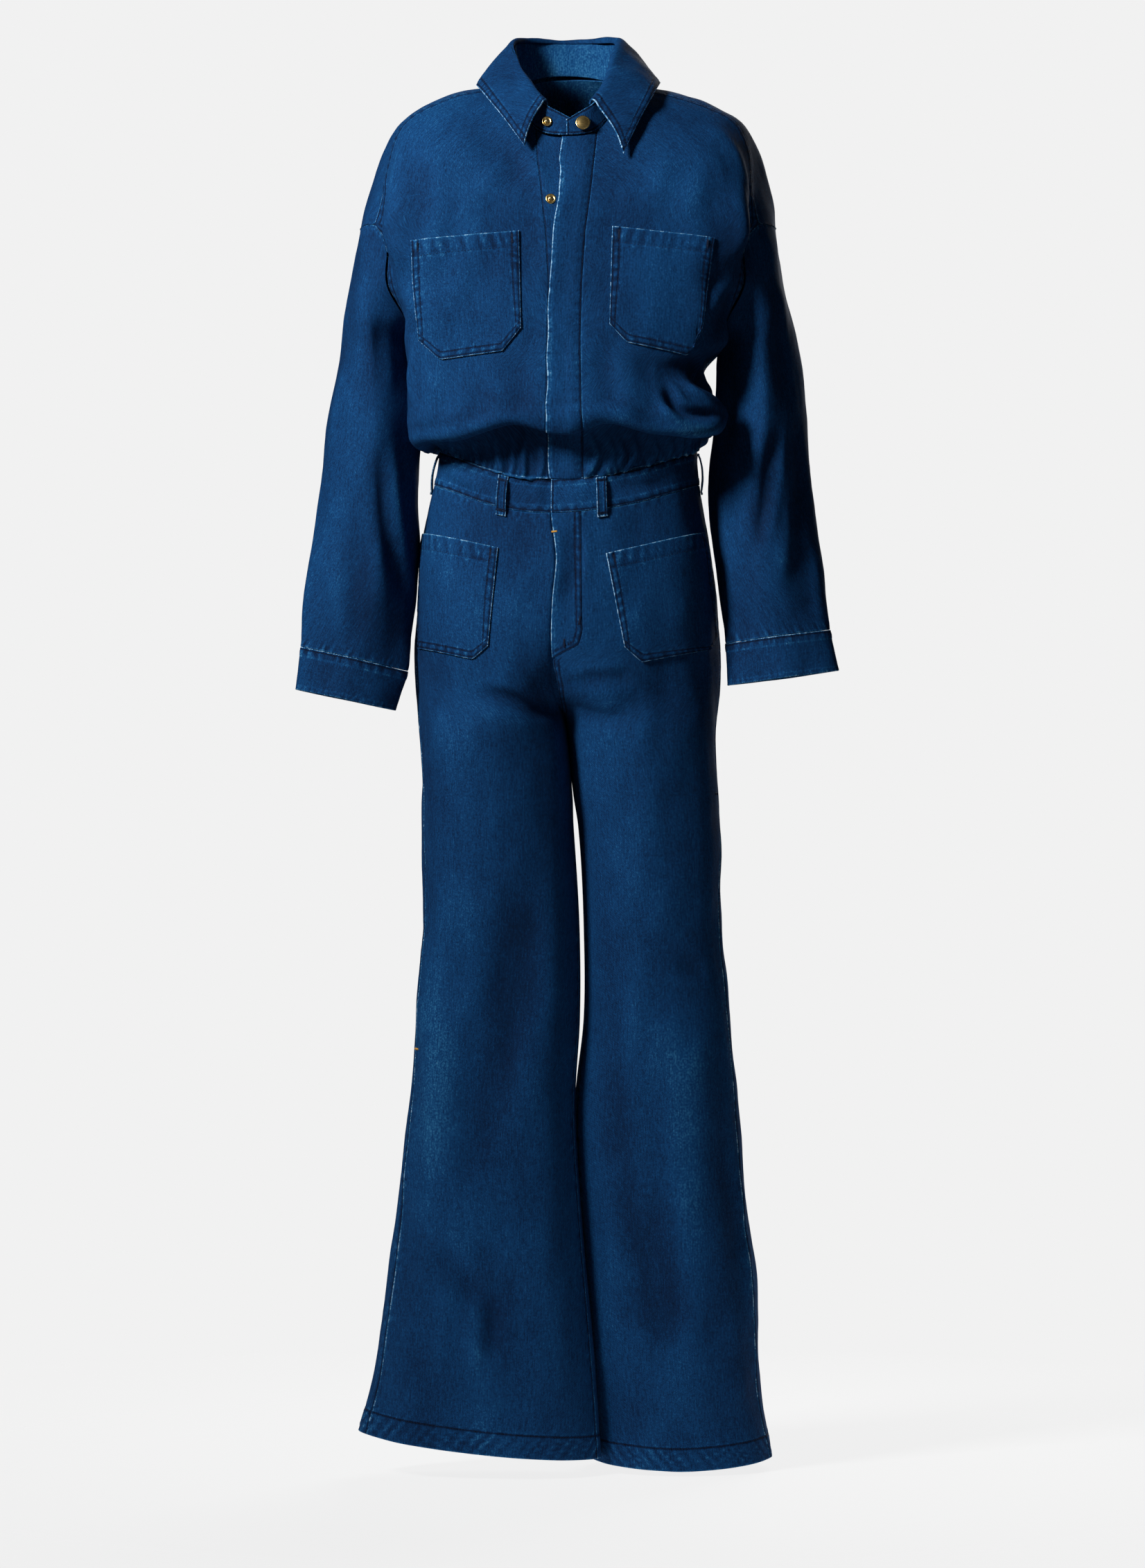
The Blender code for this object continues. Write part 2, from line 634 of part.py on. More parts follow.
def inset(points, closed, gap):
    """Draw the border of a grid of points in by a part of the seam's gap."""
    points = points.copy()
    for axis in (0,) if closed else (0, 1):
        lines = np.moveaxis(points, axis, 0)
        for outer, inner in ((0, 1), (-1, -2)):
            step = lines[inner] - lines[outer]
            length = np.linalg.norm(step, axis=-1, keepdims=True) + 1e-9
            lines[outer] += step / length * gap
    return points


def wall(name, cloth, material, thickness=CLOTH, closed=False, lift=0.0, seam=GAP / 2):
    """A closed cloth wall round a grid of points; lift moves it out along the normals.

    thickness is one number, or a column of one number for each row.
    """
    centre = inset(cloth.points, closed, seam) + cloth.outward * lift
    half = cloth.outward * (np.asarray(thickness) / 2)
    rows, columns = centre.shape[:2]
    mesh_data = bmesh.new()

    def quad(a, b, c, d):
        mesh_data.faces.new((a, b, c))
        mesh_data.faces.new((a, c, d))

    skins = [[[mesh_data.verts.new(skin[r, c]) for c in range(columns)] for r in range(rows)]
             for skin in (centre + half, centre - half)]
    outer, inner = skins
    down, across = centre[1:, :-1] - centre[:-1, :-1], centre[:-1, 1:] - centre[:-1, :-1]
    if np.sum(np.cross(down, across) * cloth.outward[:-1, :-1]) < 0:
        outer, inner = inner, outer
    spans = columns if closed else columns - 1
    for r in range(rows - 1):
        for c in range(spans):
            d = (c + 1) % columns
            quad(outer[r][c], outer[r + 1][c], outer[r + 1][d], outer[r][d])
            quad(inner[r][c], inner[r][d], inner[r + 1][d], inner[r + 1][c])
    for c in range(spans):
        d = (c + 1) % columns
        quad(outer[0][c], outer[0][d], inner[0][d], inner[0][c])
        quad(outer[-1][d], outer[-1][c], inner[-1][c], inner[-1][d])
    if not closed:
        for r in range(rows - 1):
            quad(outer[r + 1][0], outer[r][0], inner[r][0], inner[r + 1][0])
            quad(outer[r][-1], outer[r + 1][-1], inner[r + 1][-1], inner[r][-1])
    return add_object(name, mesh_data, material)


PATCH_LIFT = CLOTH / 2 + 2 * GAP + PATCH / 2
PRISM_FRONT, PRISM_BACK = -0.30, -0.004


def patch(name, cloth, outline, material):
    """A patch pocket: the panel's own facets moved out, cut to an outline seen from the front."""
    piece = wall(name, cloth, material, PATCH, lift=PATCH_LIFT)
    cutter = outline_prism(name + "_outline", outline, material)
    cut = piece.modifiers.new("outline", "BOOLEAN")
    cut.operation, cut.object, cut.solver = "INTERSECT", cutter, "EXACT"
    evaluated = piece.evaluated_get(bpy.context.evaluated_depsgraph_get())
    mesh = bpy.data.meshes.new_from_object(evaluated)
    piece.modifiers.clear()
    piece.data = mesh
    bpy.data.objects.remove(cutter)
    return piece


def outline_prism(name, outline, material):
    """A prism along Y through an outline of (x, z) points, in front of the body's middle."""
    mesh_data = bmesh.new()
    face = mesh_data.faces.new([mesh_data.verts.new((x, PRISM_FRONT, z)) for x, z in outline])
    extruded = bmesh.ops.extrude_face_region(mesh_data, geom=[face])
    moved = [item for item in extruded["geom"] if isinstance(item, bmesh.types.BMVert)]
    bmesh.ops.translate(mesh_data, verts=moved, vec=(0, PRISM_BACK - PRISM_FRONT, 0))
    bmesh.ops.recalc_face_normals(mesh_data, faces=mesh_data.faces)
    return add_object(name, mesh_data, material)


# ---------------------------------------------------------------- the bodice

FRONT_COLUMNS, BACK_COLUMNS = 11, 7
FRONT_LEVELS = (0, 1.1, 2.1, 3.1, 3.9, 4.25, 4.6, 5.3, 6.1, 7, 8, 9, 10, 10.5, 10.9, 11.3,
                11.8, 12.4, 13.1, 14)
BACK_LEVELS = (0, 1, 2, 3, 3.75, 3.85, 3.95, 4.1, 4.25, 4.45, 4.65, 5.3, 6.1, 7, 8, 9, 10, 10.6,
               11.1, 11.6, 12.2, 13, 14)


def panel_rows(rows, centres):
    """The end station and the end level of a panel's rows, for its levels at the centre."""
    places = [row.centre for row in rows]
    return (np.interp(centres, places, [row.station for row in rows]),
            np.interp(centres, places, [row.level for row in rows]))


def front_panel(side, centres=FRONT_LEVELS, columns=FRONT_COLUMNS):
    """A front, from its placket to the shoulder, armhole and side seams."""
    half = BODICE[side]
    centre = np.array(centres, float)
    station, level = panel_rows(FRONT_ROWS, centre)
    start = station_at(half.at, side,
                       table_line(OPENING, "under" if side == RIGHT else "stitch", centre), centre)
    share = np.linspace(0, 1, columns)[None, :]
    stations = start[:, None] + (station - start)[:, None] * share
    levels = centre[:, None] + (level - centre)[:, None] * share
    high = np.where(levels < 4.39, 9.0, 3.0)
    return Cloth(half.at(stations, levels), side * normals(half.at, stations, levels, 0, high))


def back_panel(centres=BACK_LEVELS, columns=BACK_COLUMNS):
    """The back, from the right seams across to the left ones."""
    centre = np.array(centres, float)
    station, level = panel_rows(BACK_ROWS, centre)
    share = np.linspace(0, 1, columns)[None, :]
    stations = station[:, None] + (9 - station)[:, None] * share
    levels = level[:, None] + (centre - level)[:, None] * share
    low = np.where(levels < 4.49, 3.0, 7.0)
    right, left = (Cloth(half.at(stations, levels),
                         half.side * normals(half.at, stations, levels, low, 9))
                   for half in (BODICE[RIGHT], BODICE[LEFT]))
    return beside(right, Cloth(left.points[:, ::-1], left.outward[:, ::-1]))


SLEEVE_ROWS, SLEEVE_SETTLE = 10, 1.5
SLEEVE_PLACES = (0, 1, 2, 3, 4, 5, 5.5, 6, 6.5, 7, 7.5, 8, 9, 10)     # along the armhole's points
ARMHOLE_DROP = .0003     # how far the sleeve's head lies below the bodice's edge


def sleeve_tube(side, rows=SLEEVE_ROWS, place=SLEEVE_PLACES):
    """A sleeve, closed round the arm, from the armhole to the cuff."""
    half = BODICE[side]
    top_station, top_level, below = (
        np.interp(place, np.arange(len(ARMHOLE)), [row[c] for row in ARMHOLE]) for c in range(3))
    share = np.linspace(0, 1, rows)[:, None]
    levels = top_level + (CUFF_LEVEL - top_level) * share
    settle = smooth_step(0, 1, (levels - top_level) / (UNDERARM + SLEEVE_SETTLE - top_level))
    stations = top_station + (below - top_station) * settle
    points = half.arm.at(stations, levels)
    step = points[1] - points[0]
    points[0] += step / np.linalg.norm(step, axis=-1, keepdims=True) * ARMHOLE_DROP
    return Cloth(points, side * normals(half.arm.at, stations, levels, 3, 7))


def cuff_tube(side, rows=2, place=SLEEVE_PLACES):
    """A cuff."""
    half = BODICE[side]
    stations = np.interp(place, np.arange(len(ARMHOLE)), [row.below for row in ARMHOLE])[None, :]
    levels = CUFF_LEVEL + np.linspace(0, 1, rows)[:, None]
    stations, levels = np.broadcast_arrays(stations, levels)
    return Cloth(half.arm.at(stations, levels),
                 side * normals(half.arm.at, stations, levels, 3, 7))


def placket_strip(lines, centres=FRONT_LEVELS):
    """A strip down the front opening, with a column on each of the given lines of x."""
    return Cloth(*front_strip(np.stack(lines, axis=1), np.array(centres, float)[:, None]))


def build_bodice(denim):
    """Fronts, back, plackets, sleeves, cuffs and chest pockets."""
    for side, name in SIDE_NAME.items():
        panel = front_panel(side)
        wall(f"front_{name}", panel, denim)
        patch(f"chest_pocket_{name}", panel, CHEST_POCKET[side], denim)
        wall(f"sleeve_{name}", sleeve_tube(side), denim, closed=True)
        wall(f"cuff_{name}", cuff_tube(side), denim, BAND, closed=True)
    wall("back", back_panel(), denim, seam=GAP)
    edge, stitch, under = (table_line(OPENING, column, FRONT_LEVELS)
                           for column in ("edge", "stitch", "under"))
    shared = (edge, (2 * edge + stitch) / 3, (edge + 2 * stitch) / 3)
    wall("placket", placket_strip((*shared, stitch)), denim, BAND, lift=BAND / 2)
    wall("placket_under", placket_strip((under, (under + edge) / 2, *shared)), denim,
         lift=-GAP - CLOTH / 2)


# ---------------------------------------------------------------- the collar

COLLAR_COUNT = 25
COLLAR_ROLL, COLLAR_LIFT, STAND_DROP = 0.0075, 0.0022, 0.0016
STAND_RISE = 0.0018      # the stand's lower edge above the neckline
STAND_LAYER = 0.0015     # half the step between the stand's overlapping ends


def smooth_path(points, count):
    """Evenly counted points on the smooth line through a path of points."""
    points = np.array(points, float)
    net = np.concatenate(([2 * points[0] - points[1]], points, [2 * points[-1] - points[-2]]))
    place = np.linspace(0, len(points) - 1, count)
    row = np.clip(np.floor(place), 0, len(points) - 2).astype(int)
    return along(*(net[row + r] for r in range(4)), (place - row)[:, None])


def flat_unit(vectors):
    """The level part of vectors, at length one."""
    flat = vectors * (1, 1, 0)
    return flat / np.linalg.norm(flat, axis=-1, keepdims=True)


def grid_normals(points):
    """Unit normals of a grid of points."""
    down, across = np.gradient(points, axis=0), np.gradient(points, axis=1)
    normal = np.cross(down, across)
    return normal / (np.linalg.norm(normal, axis=-1, keepdims=True) + 1e-12)


def collar_lines(count=COLLAR_COUNT):
    """The collar's fold and outer edge, from the right front round to the left front."""
    sections = (*COLLAR[RIGHT], COLLAR_BACK, *COLLAR[LEFT][::-1])
    return (smooth_path([row.fold for row in sections], count),
            smooth_path([row.edge for row in sections], count))


def collar_cloth(count=COLLAR_COUNT):
    """The falling collar."""
    fold, edge = collar_lines(count)
    outward = flat_unit(edge - fold)
    crest = fold + (0, 0, COLLAR_LIFT) + outward * .0009
    fall = edge - crest
    points = np.array((crest, crest + fall * .35 + outward * COLLAR_ROLL * .8,
                       crest + fall * .7 + outward * COLLAR_ROLL * .7, edge))
    return Cloth(points, grid_normals(points))


def stand_cloth(count=COLLAR_COUNT):
    """The stand: its ends run past the collar to the snap, the left one over the right."""
    lines = {}
    for side, end in STAND_END.items():
        stations = [row.station for row in COLLAR[side]] + [9]
        place = np.interp(np.linspace(0, len(stations) - 1, count // 2 + 1),
                          range(len(stations)), stations)
        line = BODICE[side].at(place, np.zeros_like(place))
        overlap = front_strip((end[0], (end[0] + line[0, 0]) / 2), 0.0)[0]
        lines[side] = [*overlap, *line]
    base = np.array([*lines[RIGHT], *lines[LEFT][-2::-1]])
    fold, edge = collar_lines(2 * (count // 2 + 1) - 1)
    inward = flat_unit(edge - fold) * -.0009
    top = fold + inward - (0, 0, STAND_DROP)
    starts = {side: np.array(end) for side, end in STAND_END.items()}
    top = np.array([starts[RIGHT], (starts[RIGHT] + top[0]) / 2, *top, (starts[LEFT] + top[-1]) / 2,
                    starts[LEFT]])
    index = np.arange(len(base))
    layer = np.interp(index, (0, 2, 5, len(base) - 6, len(base) - 3, len(base) - 1),
                      (1, 1, 0, 0, -1, -1)) * STAND_LAYER
    shift = layer[:, None] * (0, 1, 0)
    base = base + shift + (0, 0, STAND_RISE)
    top = top + shift
    points = np.array((base, (base + top) / 2, top))
    return Cloth(points, -grid_normals(points))


def build_collar(denim):
    """The falling collar and the stand that carries it."""
    wall("collar", collar_cloth(), denim, BAND)
    wall("collar_stand", stand_cloth(), denim, BAND)


# ---------------------------------------------------------------- the waist and the trousers

WAIST_COLUMNS, LEG_COLUMNS = 14, 8
BAND_LAP = 0.026         # how far the waistband's under end runs behind the over end


def leg_cloth(side, stations, levels):
    """Cloth at stations and levels of a leg."""
    stations, levels = np.broadcast_arrays(stations, levels)
    half = LEG[side]
    inner = np.where(stations > 8, stations - 8, stations)
    return Cloth(half.at(stations, levels), side * normals(half.at, inner, levels, 0, 8))


def waistband_cloth(columns=WAIST_COLUMNS, rows=3):
    """The waistband: the left end closes over the right one."""
    levels = np.linspace(0, 1, rows)[:, None]
    left = leg_cloth(LEFT, np.linspace(0, 8, columns + 1)[None, :], levels)
    right = leg_cloth(RIGHT, np.array([*np.linspace(8, .9, columns), .35, 0])[None, :], levels)
    lap = station_at(LEG[LEFT].at, LEFT, HIPS[0].centre + BAND_LAP, np.zeros(1))[0]
    end = leg_cloth(LEFT, np.array([0, lap / 2, lap])[None, :], levels)
    behind = Cloth(end.points - end.outward * (BAND + GAP), end.outward)
    right.points[:, -1] -= right.outward[:, -1] * (BAND + GAP)
    return beside(beside(left, right), behind)


LOOPS = {
    "belt_loop_front_right": (RIGHT, 1.52), "belt_loop_front_left": (LEFT, 1.22),
    "belt_loop_side_right": (RIGHT, 4.05), "belt_loop_side_left": (LEFT, 4.05),
    "belt_loop_back": (LEFT, 8.0),
}
LOOP_TOP, LOOP_FOOT, LOOP_STEPS = .07, 1.18, 7


def loop_cloth(side, station):
    """A belt loop: a narrow strip sewn down at both ends and bowed off the waistband."""
    half = LEG[side]
    levels = np.linspace(LOOP_TOP, LOOP_FOOT, LOOP_STEPS)
    own = np.full(LOOP_STEPS, min(station, 7.95))
    centre = half.at(np.full(LOOP_STEPS, station), levels)
    across = half.at(own + .05, levels) - half.at(own - .05, levels)
    across /= np.linalg.norm(across, axis=-1, keepdims=True)
    out = np.cross(np.gradient(centre, axis=0), across) * side
    out /= np.linalg.norm(out, axis=-1, keepdims=True)
    bow = LOOP_BOW * np.sin(np.pi * np.linspace(0, 1, LOOP_STEPS)) ** .5
    spine = centre + out * (BAND / 2 + GAP + LOOP_WALL / 2 + bow)[:, None]
    edges = np.array([-.5, 0, .5]) * LOOP_WIDTH
    points = spine[:, None, :] + across[:, None, :] * edges[None, :, None]
    return Cloth(points, np.broadcast_to(out[:, None, :], points.shape))


LEG_LEVELS = (1, 1.8, 2.6, 3.4, 4, 4.3, 4.34, 5, 5.5, 6, 6.5, 7, 8, 9, 10, 11, 12, 13, 14, 15)


def seam_station(column, level):
    """The station of a leg's inseam or outseam."""
    return table_line(LEG_SEAMS, column, level)


def fly_station(level):
    """The station of the fly's outer line, and 0 below its foot."""
    z = LEG[LEFT].at(np.full_like(level, .3), level)[:, 2]
    rows = FLY[::-1]
    x = np.interp(z, [row.z for row in rows], [row.x for row in rows])
    return np.where(z < FLY_FOOT, 0, station_at(LEG[LEFT].at, LEFT, x, level))


def leg_front(side, levels=LEG_LEVELS, columns=LEG_COLUMNS):
    """A trouser front; the left one begins at the fly's outer line."""
    level = np.array(levels, float)
    start, end = seam_station("inseam", level), seam_station("outseam", level)
    if side == LEFT:
        start = np.maximum(start, fly_station(level))
    share = np.linspace(0, 1, columns)[None, :]
    return leg_cloth(side, start[:, None] + (end - start)[:, None] * share, level[:, None])


def leg_back(side, levels=LEG_LEVELS, columns=LEG_COLUMNS):
    """A trouser back, from the outseam to the centre back and the inseam."""
    level = np.array(levels, float)
    start, end = seam_station("outseam", level), 8 + seam_station("inseam", level)
    share = np.linspace(0, 1, columns)[None, :]
    return leg_cloth(side, start[:, None] + (end - start)[:, None] * share, level[:, None])


def fly_cloth(levels=LEG_LEVELS, columns=3):
    """The fly, between the centre front and its outer line."""
    level = np.array(levels, float)
    line = fly_station(level)
    rows = int(np.sum(line > 0))
    share = np.linspace(0, 1, columns)[None, :]
    return leg_cloth(LEFT, line[:rows, None] * share, level[:rows, None])


def hem_thickness(levels):
    """A column of wall thicknesses: one layer, and the turned hem at the foot."""
    return np.where(np.array(levels) >= HEM_LEVEL - 1, HEM, CLOTH)[:, None, None]


def build_trousers(denim):
    """Waistband, belt loops, fronts, backs, fly and hip pockets."""
    wall("waistband", waistband_cloth(), denim, BAND, seam=GAP)
    for name, place in LOOPS.items():
        wall(name, loop_cloth(*place), denim, LOOP_WALL)
    thickness = hem_thickness(LEG_LEVELS)
    for side, name in SIDE_NAME.items():
        front = leg_front(side)
        wall(f"trouser_front_{name}", front, denim, thickness)
        wall(f"trouser_back_{name}", leg_back(side), denim, thickness)
        patch(f"hip_pocket_{name}", front, HIP_POCKET[side], denim)
    wall("fly", fly_cloth(), denim, BAND)


# ---------------------------------------------------------------- the snaps

ROUND_STEPS = 16


def turned(name, profile, place, facing, material):
    """A turned piece: a profile of (radius, height) spun about an axis through a place."""
    mesh_data = bmesh.new()
    verts = [mesh_data.verts.new((radius, 0, height)) for radius, height in profile]
    edges = [mesh_data.edges.new(pair) for pair in zip(verts, verts[1:])]
    bmesh.ops.spin(mesh_data, geom=[*verts, *edges], cent=(0, 0, 0), axis=(0, 0, 1),
                   angle=math.tau, steps=ROUND_STEPS, use_merge=True, use_duplicate=False)
    bmesh.ops.remove_doubles(mesh_data, verts=mesh_data.verts, dist=1e-5)
    bmesh.ops.recalc_face_normals(mesh_data, faces=mesh_data.faces)
    turn = Vector((0, 0, 1)).rotation_difference(Vector(facing)).to_matrix().to_4x4()
    mesh_data.transform(Matrix.Translation(Vector(place)) @ turn)
    piece = add_object(name, mesh_data, material)
    piece.data.shade_smooth()
    return piece


def build_snaps(brass):
    """The cap on the stand's over end, and the studs on its under end and on the placket."""
    cap, stud = CAP_DIAMETER / 2, STUD_DIAMETER / 2
    cap_profile = ((0, 0), (cap * .85, 0), (cap, .0008), (cap * .96, .0016), (cap * .6, .0024),
                   (0, .0028))
    stud_profile = ((0, 0), (stud, 0), (stud, .0010), (stud * .62, .0013), (stud * .36, .0010),
                    (stud * .36, .0026), (stud * .22, .0032), (0, .0034))
    facing = (0, -.97, .24)
    turned("snap_cap", cap_profile, (CAP_PLACE[0], -.0921, CAP_PLACE[1]), facing, brass)
    turned("snap_stud_collar", stud_profile,
           (COLLAR_STUD_PLACE[0], -.0870, COLLAR_STUD_PLACE[1]), facing, brass)
    place, outward = front_strip(PLACKET_STUD_PLACE[0], PLACKET_STUD_LEVEL)
    turned("snap_stud_placket", stud_profile, place, tuple(outward), brass)


# ---------------------------------------------------------------- the jumpsuit

def main():
    """Clear the scene and build every piece."""
    for item in list(bpy.data.objects):
        bpy.data.objects.remove(item)
    denim = finish_for("denim", DENIM, 0.82)
    brass = finish_for("brass", BRASS, 0.28, 1.0)
    build_bodice(denim)
    build_collar(denim)
    build_trousers(denim)
    build_snaps(brass)


main()
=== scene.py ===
"""Looks of a worn denim jumpsuit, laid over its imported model.

Metres, +Z up.  The front faces -Y and the wearer's left is +X.  The cloth follows the same smooth
sheets as the solids: each runs through a net of levels down the garment and stations round it.

Stations of the bodice, on each side from the centre front (0) to the centre back (9): 1 chest,
2 front fold, 3 armhole valley or side seam, 4 sleeve ridge, 5 outer arm, 6 back of the arm,
7 back valley, 8 shoulder blade.  Stations of a leg: 0 inseam, 2 front, 4 side, 6 back, 8 inseam.
"""

from __future__ import annotations

import logging
import math
from collections.abc import Callable, Iterable, Sequence
from dataclasses import dataclass, field
from enum import Enum, IntEnum
from functools import partialmethod
from typing import NamedTuple

import bpy
import numpy as np
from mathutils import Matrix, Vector


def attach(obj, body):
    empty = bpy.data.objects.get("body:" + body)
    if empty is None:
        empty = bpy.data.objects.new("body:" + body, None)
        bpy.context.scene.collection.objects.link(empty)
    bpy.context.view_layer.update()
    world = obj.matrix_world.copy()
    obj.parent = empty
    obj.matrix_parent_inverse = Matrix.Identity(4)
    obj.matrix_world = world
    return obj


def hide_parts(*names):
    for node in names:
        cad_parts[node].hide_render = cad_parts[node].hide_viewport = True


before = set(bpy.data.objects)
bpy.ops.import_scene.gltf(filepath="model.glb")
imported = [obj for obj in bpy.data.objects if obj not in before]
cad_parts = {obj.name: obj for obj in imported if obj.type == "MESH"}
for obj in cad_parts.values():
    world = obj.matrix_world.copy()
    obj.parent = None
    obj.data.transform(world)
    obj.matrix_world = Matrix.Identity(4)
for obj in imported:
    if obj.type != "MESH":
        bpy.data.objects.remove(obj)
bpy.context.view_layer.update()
LOG = logging.getLogger("jumpsuit")

Array = np.ndarray
Placer = Callable[[Array, Array], tuple[Array, Array]]

# Sizes that the looks share with the solids
CLOTH, BAND, PATCH, LOOP_WALL = .0016, .0024, .0014, .0014
GAP = .0003
ARMHOLE_CLEAR, CLEFT_CLEAR = .0028, .0013


class Side(IntEnum):
    """The wearer's sides, as the signs of their x."""

    RIGHT = -1
    LEFT = 1

    @property
    def word(self) -> str:
        """The side's name, as the nodes have it."""
        return self.name.lower()


RIGHT, LEFT = Side.RIGHT, Side.LEFT


class Zone(Enum):
    """The sheets that a crease can lie on."""

    BODICE = "bodice"
    SLEEVE = "sleeve"
    LEG = "leg"


# ---- the nets

# The front of the waist: the bodice and the trousers share this ring
WAIST_HALF = {RIGHT: .137, LEFT: .142}


class Level(NamedTuple):
    """A level of the bodice above the underarm: (|x|, y) of its stations on both sides."""

    z_front: float
    z_side: float
    z_back: float
    front: float
    fold: tuple
    valley: tuple
    ridge: tuple
    outer: tuple
    heel: tuple
    back_valley: tuple
    blade: tuple
    back: float
    parting: float
    left_out: float


SHOULDERS = (
    Level(-.054, .012, .028, -.092, (.05, -.06), (.06, -.036), (.065, -.014), (.066, .004),
          (.063, .024), (.054, .042), (.034, .058), .064, 0, 0),
    Level(-.08, .000, -.012, -.104, (.098, -.074), (.114, -.048), (.122, -.02), (.125, .006),
          (.121, .034), (.108, .062), (.07, .088), .098, 0, .006),
    Level(-.104, -.028, -.052, -.112, (.15, -.082), (.168, -.054), (.179, -.024), (.183, .006),
          (.178, .036), (.162, .068), (.112, .098), .11, 0, .0105),
    Level(-.125, -.108, -.11, -.118, (.19, -.084), (.193, -.06), (.201, -.04), (.22, .004),
          (.208, .05), (.185, .078), (.14, .105), .117, .2, .003),
    Level(-.158, -.154, -.154, -.122, (.199, -.088), (.191, -.062), (.21, -.056), (.23, .004),
          (.213, .06), (.183, .072), (.15, .108), .12, .5, -.003),
    Level(-.214, -.212, -.212, -.127, (.176, -.093), (.193, -.07), (.214, -.062), (.2405, .004),
          (.219, .067), (.174, .052), (.155, .106), .121, .8, -.003),
    Level(-.246, -.246, -.246, -.129, (.17, -.092), (.1745, -.05), (.214, -.062), (.246, .006),
          (.221, .07), (.168, .03), (.153, .102), .121, .92, -.001),
    Level(-.277, -.277, -.277, -.131, (.166, -.09), (.166, .004), (.212, -.06), (.25, .008),
          (.222, .072), (.166, .004), (.15, .098), .121, 1, 0),
)


class Ring(NamedTuple):
    """A level of the bodice below the underarm, on one side: (|x|, y) of its stations."""

    z_front: float
    z_side: float
    z_back: float
    front: float
    fold: tuple
    side: tuple
    blade: tuple
    back: float


TORSO = {
    RIGHT: (
        Ring(-.312, -.312, -.312, -.134, (.169, -.086), (.152, .006), (.149, .098), .122),
        Ring(-.345, -.345, -.345, -.14, (.168, -.088), (.153, .006), (.15, .1), .126),
        Ring(-.366, -.372, -.368, -.144, (.167, -.09), (.153, .006), (.149, .102), .128),
        Ring(-.379, -.39, -.384, -.136, (.156, -.084), (.147, .005), (.141, .096), .121),
        Ring(-.372, -.381, -.374, -.118, (.137, -.072), (.141, .003), (.124, .082), .104),
        Ring(-.396, -.382, -.377, -.101, (.119, -.064), (.1385, .001), (.108, .067), .09)),
    LEFT: (
        Ring(-.308, -.3, -.306, -.134, (.141, -.09), (.1445, -.004), (.143, .096), .122),
        Ring(-.345, -.334, -.343, -.14, (.164, -.084), (.151, .002), (.147, .1), .126),
        Ring(-.366, -.35, -.366, -.144, (.172, -.082), (.154, .004), (.148, .102), .128),
        Ring(-.379, -.374, -.382, -.136, (.159, -.08), (.1505, .004), (.142, .096), .121),
        Ring(-.372, -.372, -.374, -.118, (.141, -.072), (.1455, .003), (.126, .082), .104),
        Ring(-.396, -.38, -.377, -.101, (.122, -.064), (.1435, .001), (.11, .067), .09)),
}
WAIST_SEAM = {side: Ring(-.424, -.3885, -.386, -.096, (half * .82, -.0625), (half, .0),
                         (half * .77, .061), .086) for side, half in WAIST_HALF.items()}


class Arm(NamedTuple):
    """A level of a sleeve below the underarm: (|x|, y) of its stations."""

    z_inner: float
    z_outer: float
    inner: tuple
    ridge: tuple
    outer: tuple
    heel: tuple


ARM = {
    RIGHT: (
        Arm(-.345, -.345, (.159, .012), (.209, -.058), (.2637, .01), (.218, .072)),
        Arm(-.425, -.42, (.164, .012), (.207, -.057), (.2705, .006), (.222, .06)),
        Arm(-.505, -.49, (.163, .004), (.203, -.058), (.2775, -.004), (.224, .044)),
        Arm(-.572, -.548, (.166, -.01), (.209, -.058), (.2845, -.018), (.23, .024)),
        Arm(-.6305, -.604, (.1735, -.028), (.228, -.058), (.2893, -.03), (.232, .000)),
        Arm(-.674, -.651, (.186, -.032), (.236, -.06), (.294, -.034), (.24, -.006))),
    LEFT: (
        Arm(-.345, -.345, (.164, .014), (.2145, -.06), (.26, .012), (.22, .072)),
        Arm(-.42, -.42, (.156, .016), (.21, -.058), (.2697, .008), (.222, .062)),
        Arm(-.5, -.49, (.162, .01), (.207, -.058), (.277, -.004), (.226, .046)),
        Arm(-.56, -.548, (.1685, -.006), (.21, -.058), (.2835, -.018), (.23, .026)),
        Arm(-.6, -.585, (.1715, -.028), (.228, -.058), (.288, -.03), (.232, .000)),
        Arm(-.6465, -.63, (.174, -.032), (.234, -.06), (.297, -.034), (.238, -.006))),
}
WAIST_STATIONS = ((0, 1, 2, 3, 7, 8, 9), (0, 1.25, 2.75, 4, 4, 6, 8))   # bodice, then trousers
UNDERARM = len(SHOULDERS) - 1                    # the level where body and sleeve part
WAIST_LEVEL = UNDERARM + len(TORSO[RIGHT]) + 1   # the bodice's last level
CUFF_LEVEL = UNDERARM + len(ARM[RIGHT]) - 1      # the sleeve's last level, where the cuff begins
BLOUSE_LEVEL = UNDERARM + 4                      # the lowest level of the blouse


class RowEnd(NamedTuple):
    """A row of a bodice panel: its level at the centre, and the station and level of its end."""

    centre: float
    station: float
    level: float


FRONT_ROWS = (
    RowEnd(0, 4.2, 0), RowEnd(1.1, 4.1, 1), RowEnd(2.1, 4.0, 2), RowEnd(3.1, 3.6, 3),
    RowEnd(3.9, 4.05, 3.8), RowEnd(4.25, 3.45, 4.05), RowEnd(4.6, 3, 4.4),
    RowEnd(UNDERARM, 3, UNDERARM), RowEnd(WAIST_LEVEL, 3, WAIST_LEVEL))
BACK_ROWS = (
    RowEnd(0, 4.2, 0), RowEnd(1, 4.1, 1), RowEnd(2, 4.0, 2), RowEnd(3, 3.6, 3),
    RowEnd(3.75, 4.05, 3.8), RowEnd(3.95, 5, 3.82), RowEnd(4.25, 6, 4.0), RowEnd(4.65, 7, 4.5),
    RowEnd(UNDERARM, 7, UNDERARM), RowEnd(WAIST_LEVEL, 7, WAIST_LEVEL))


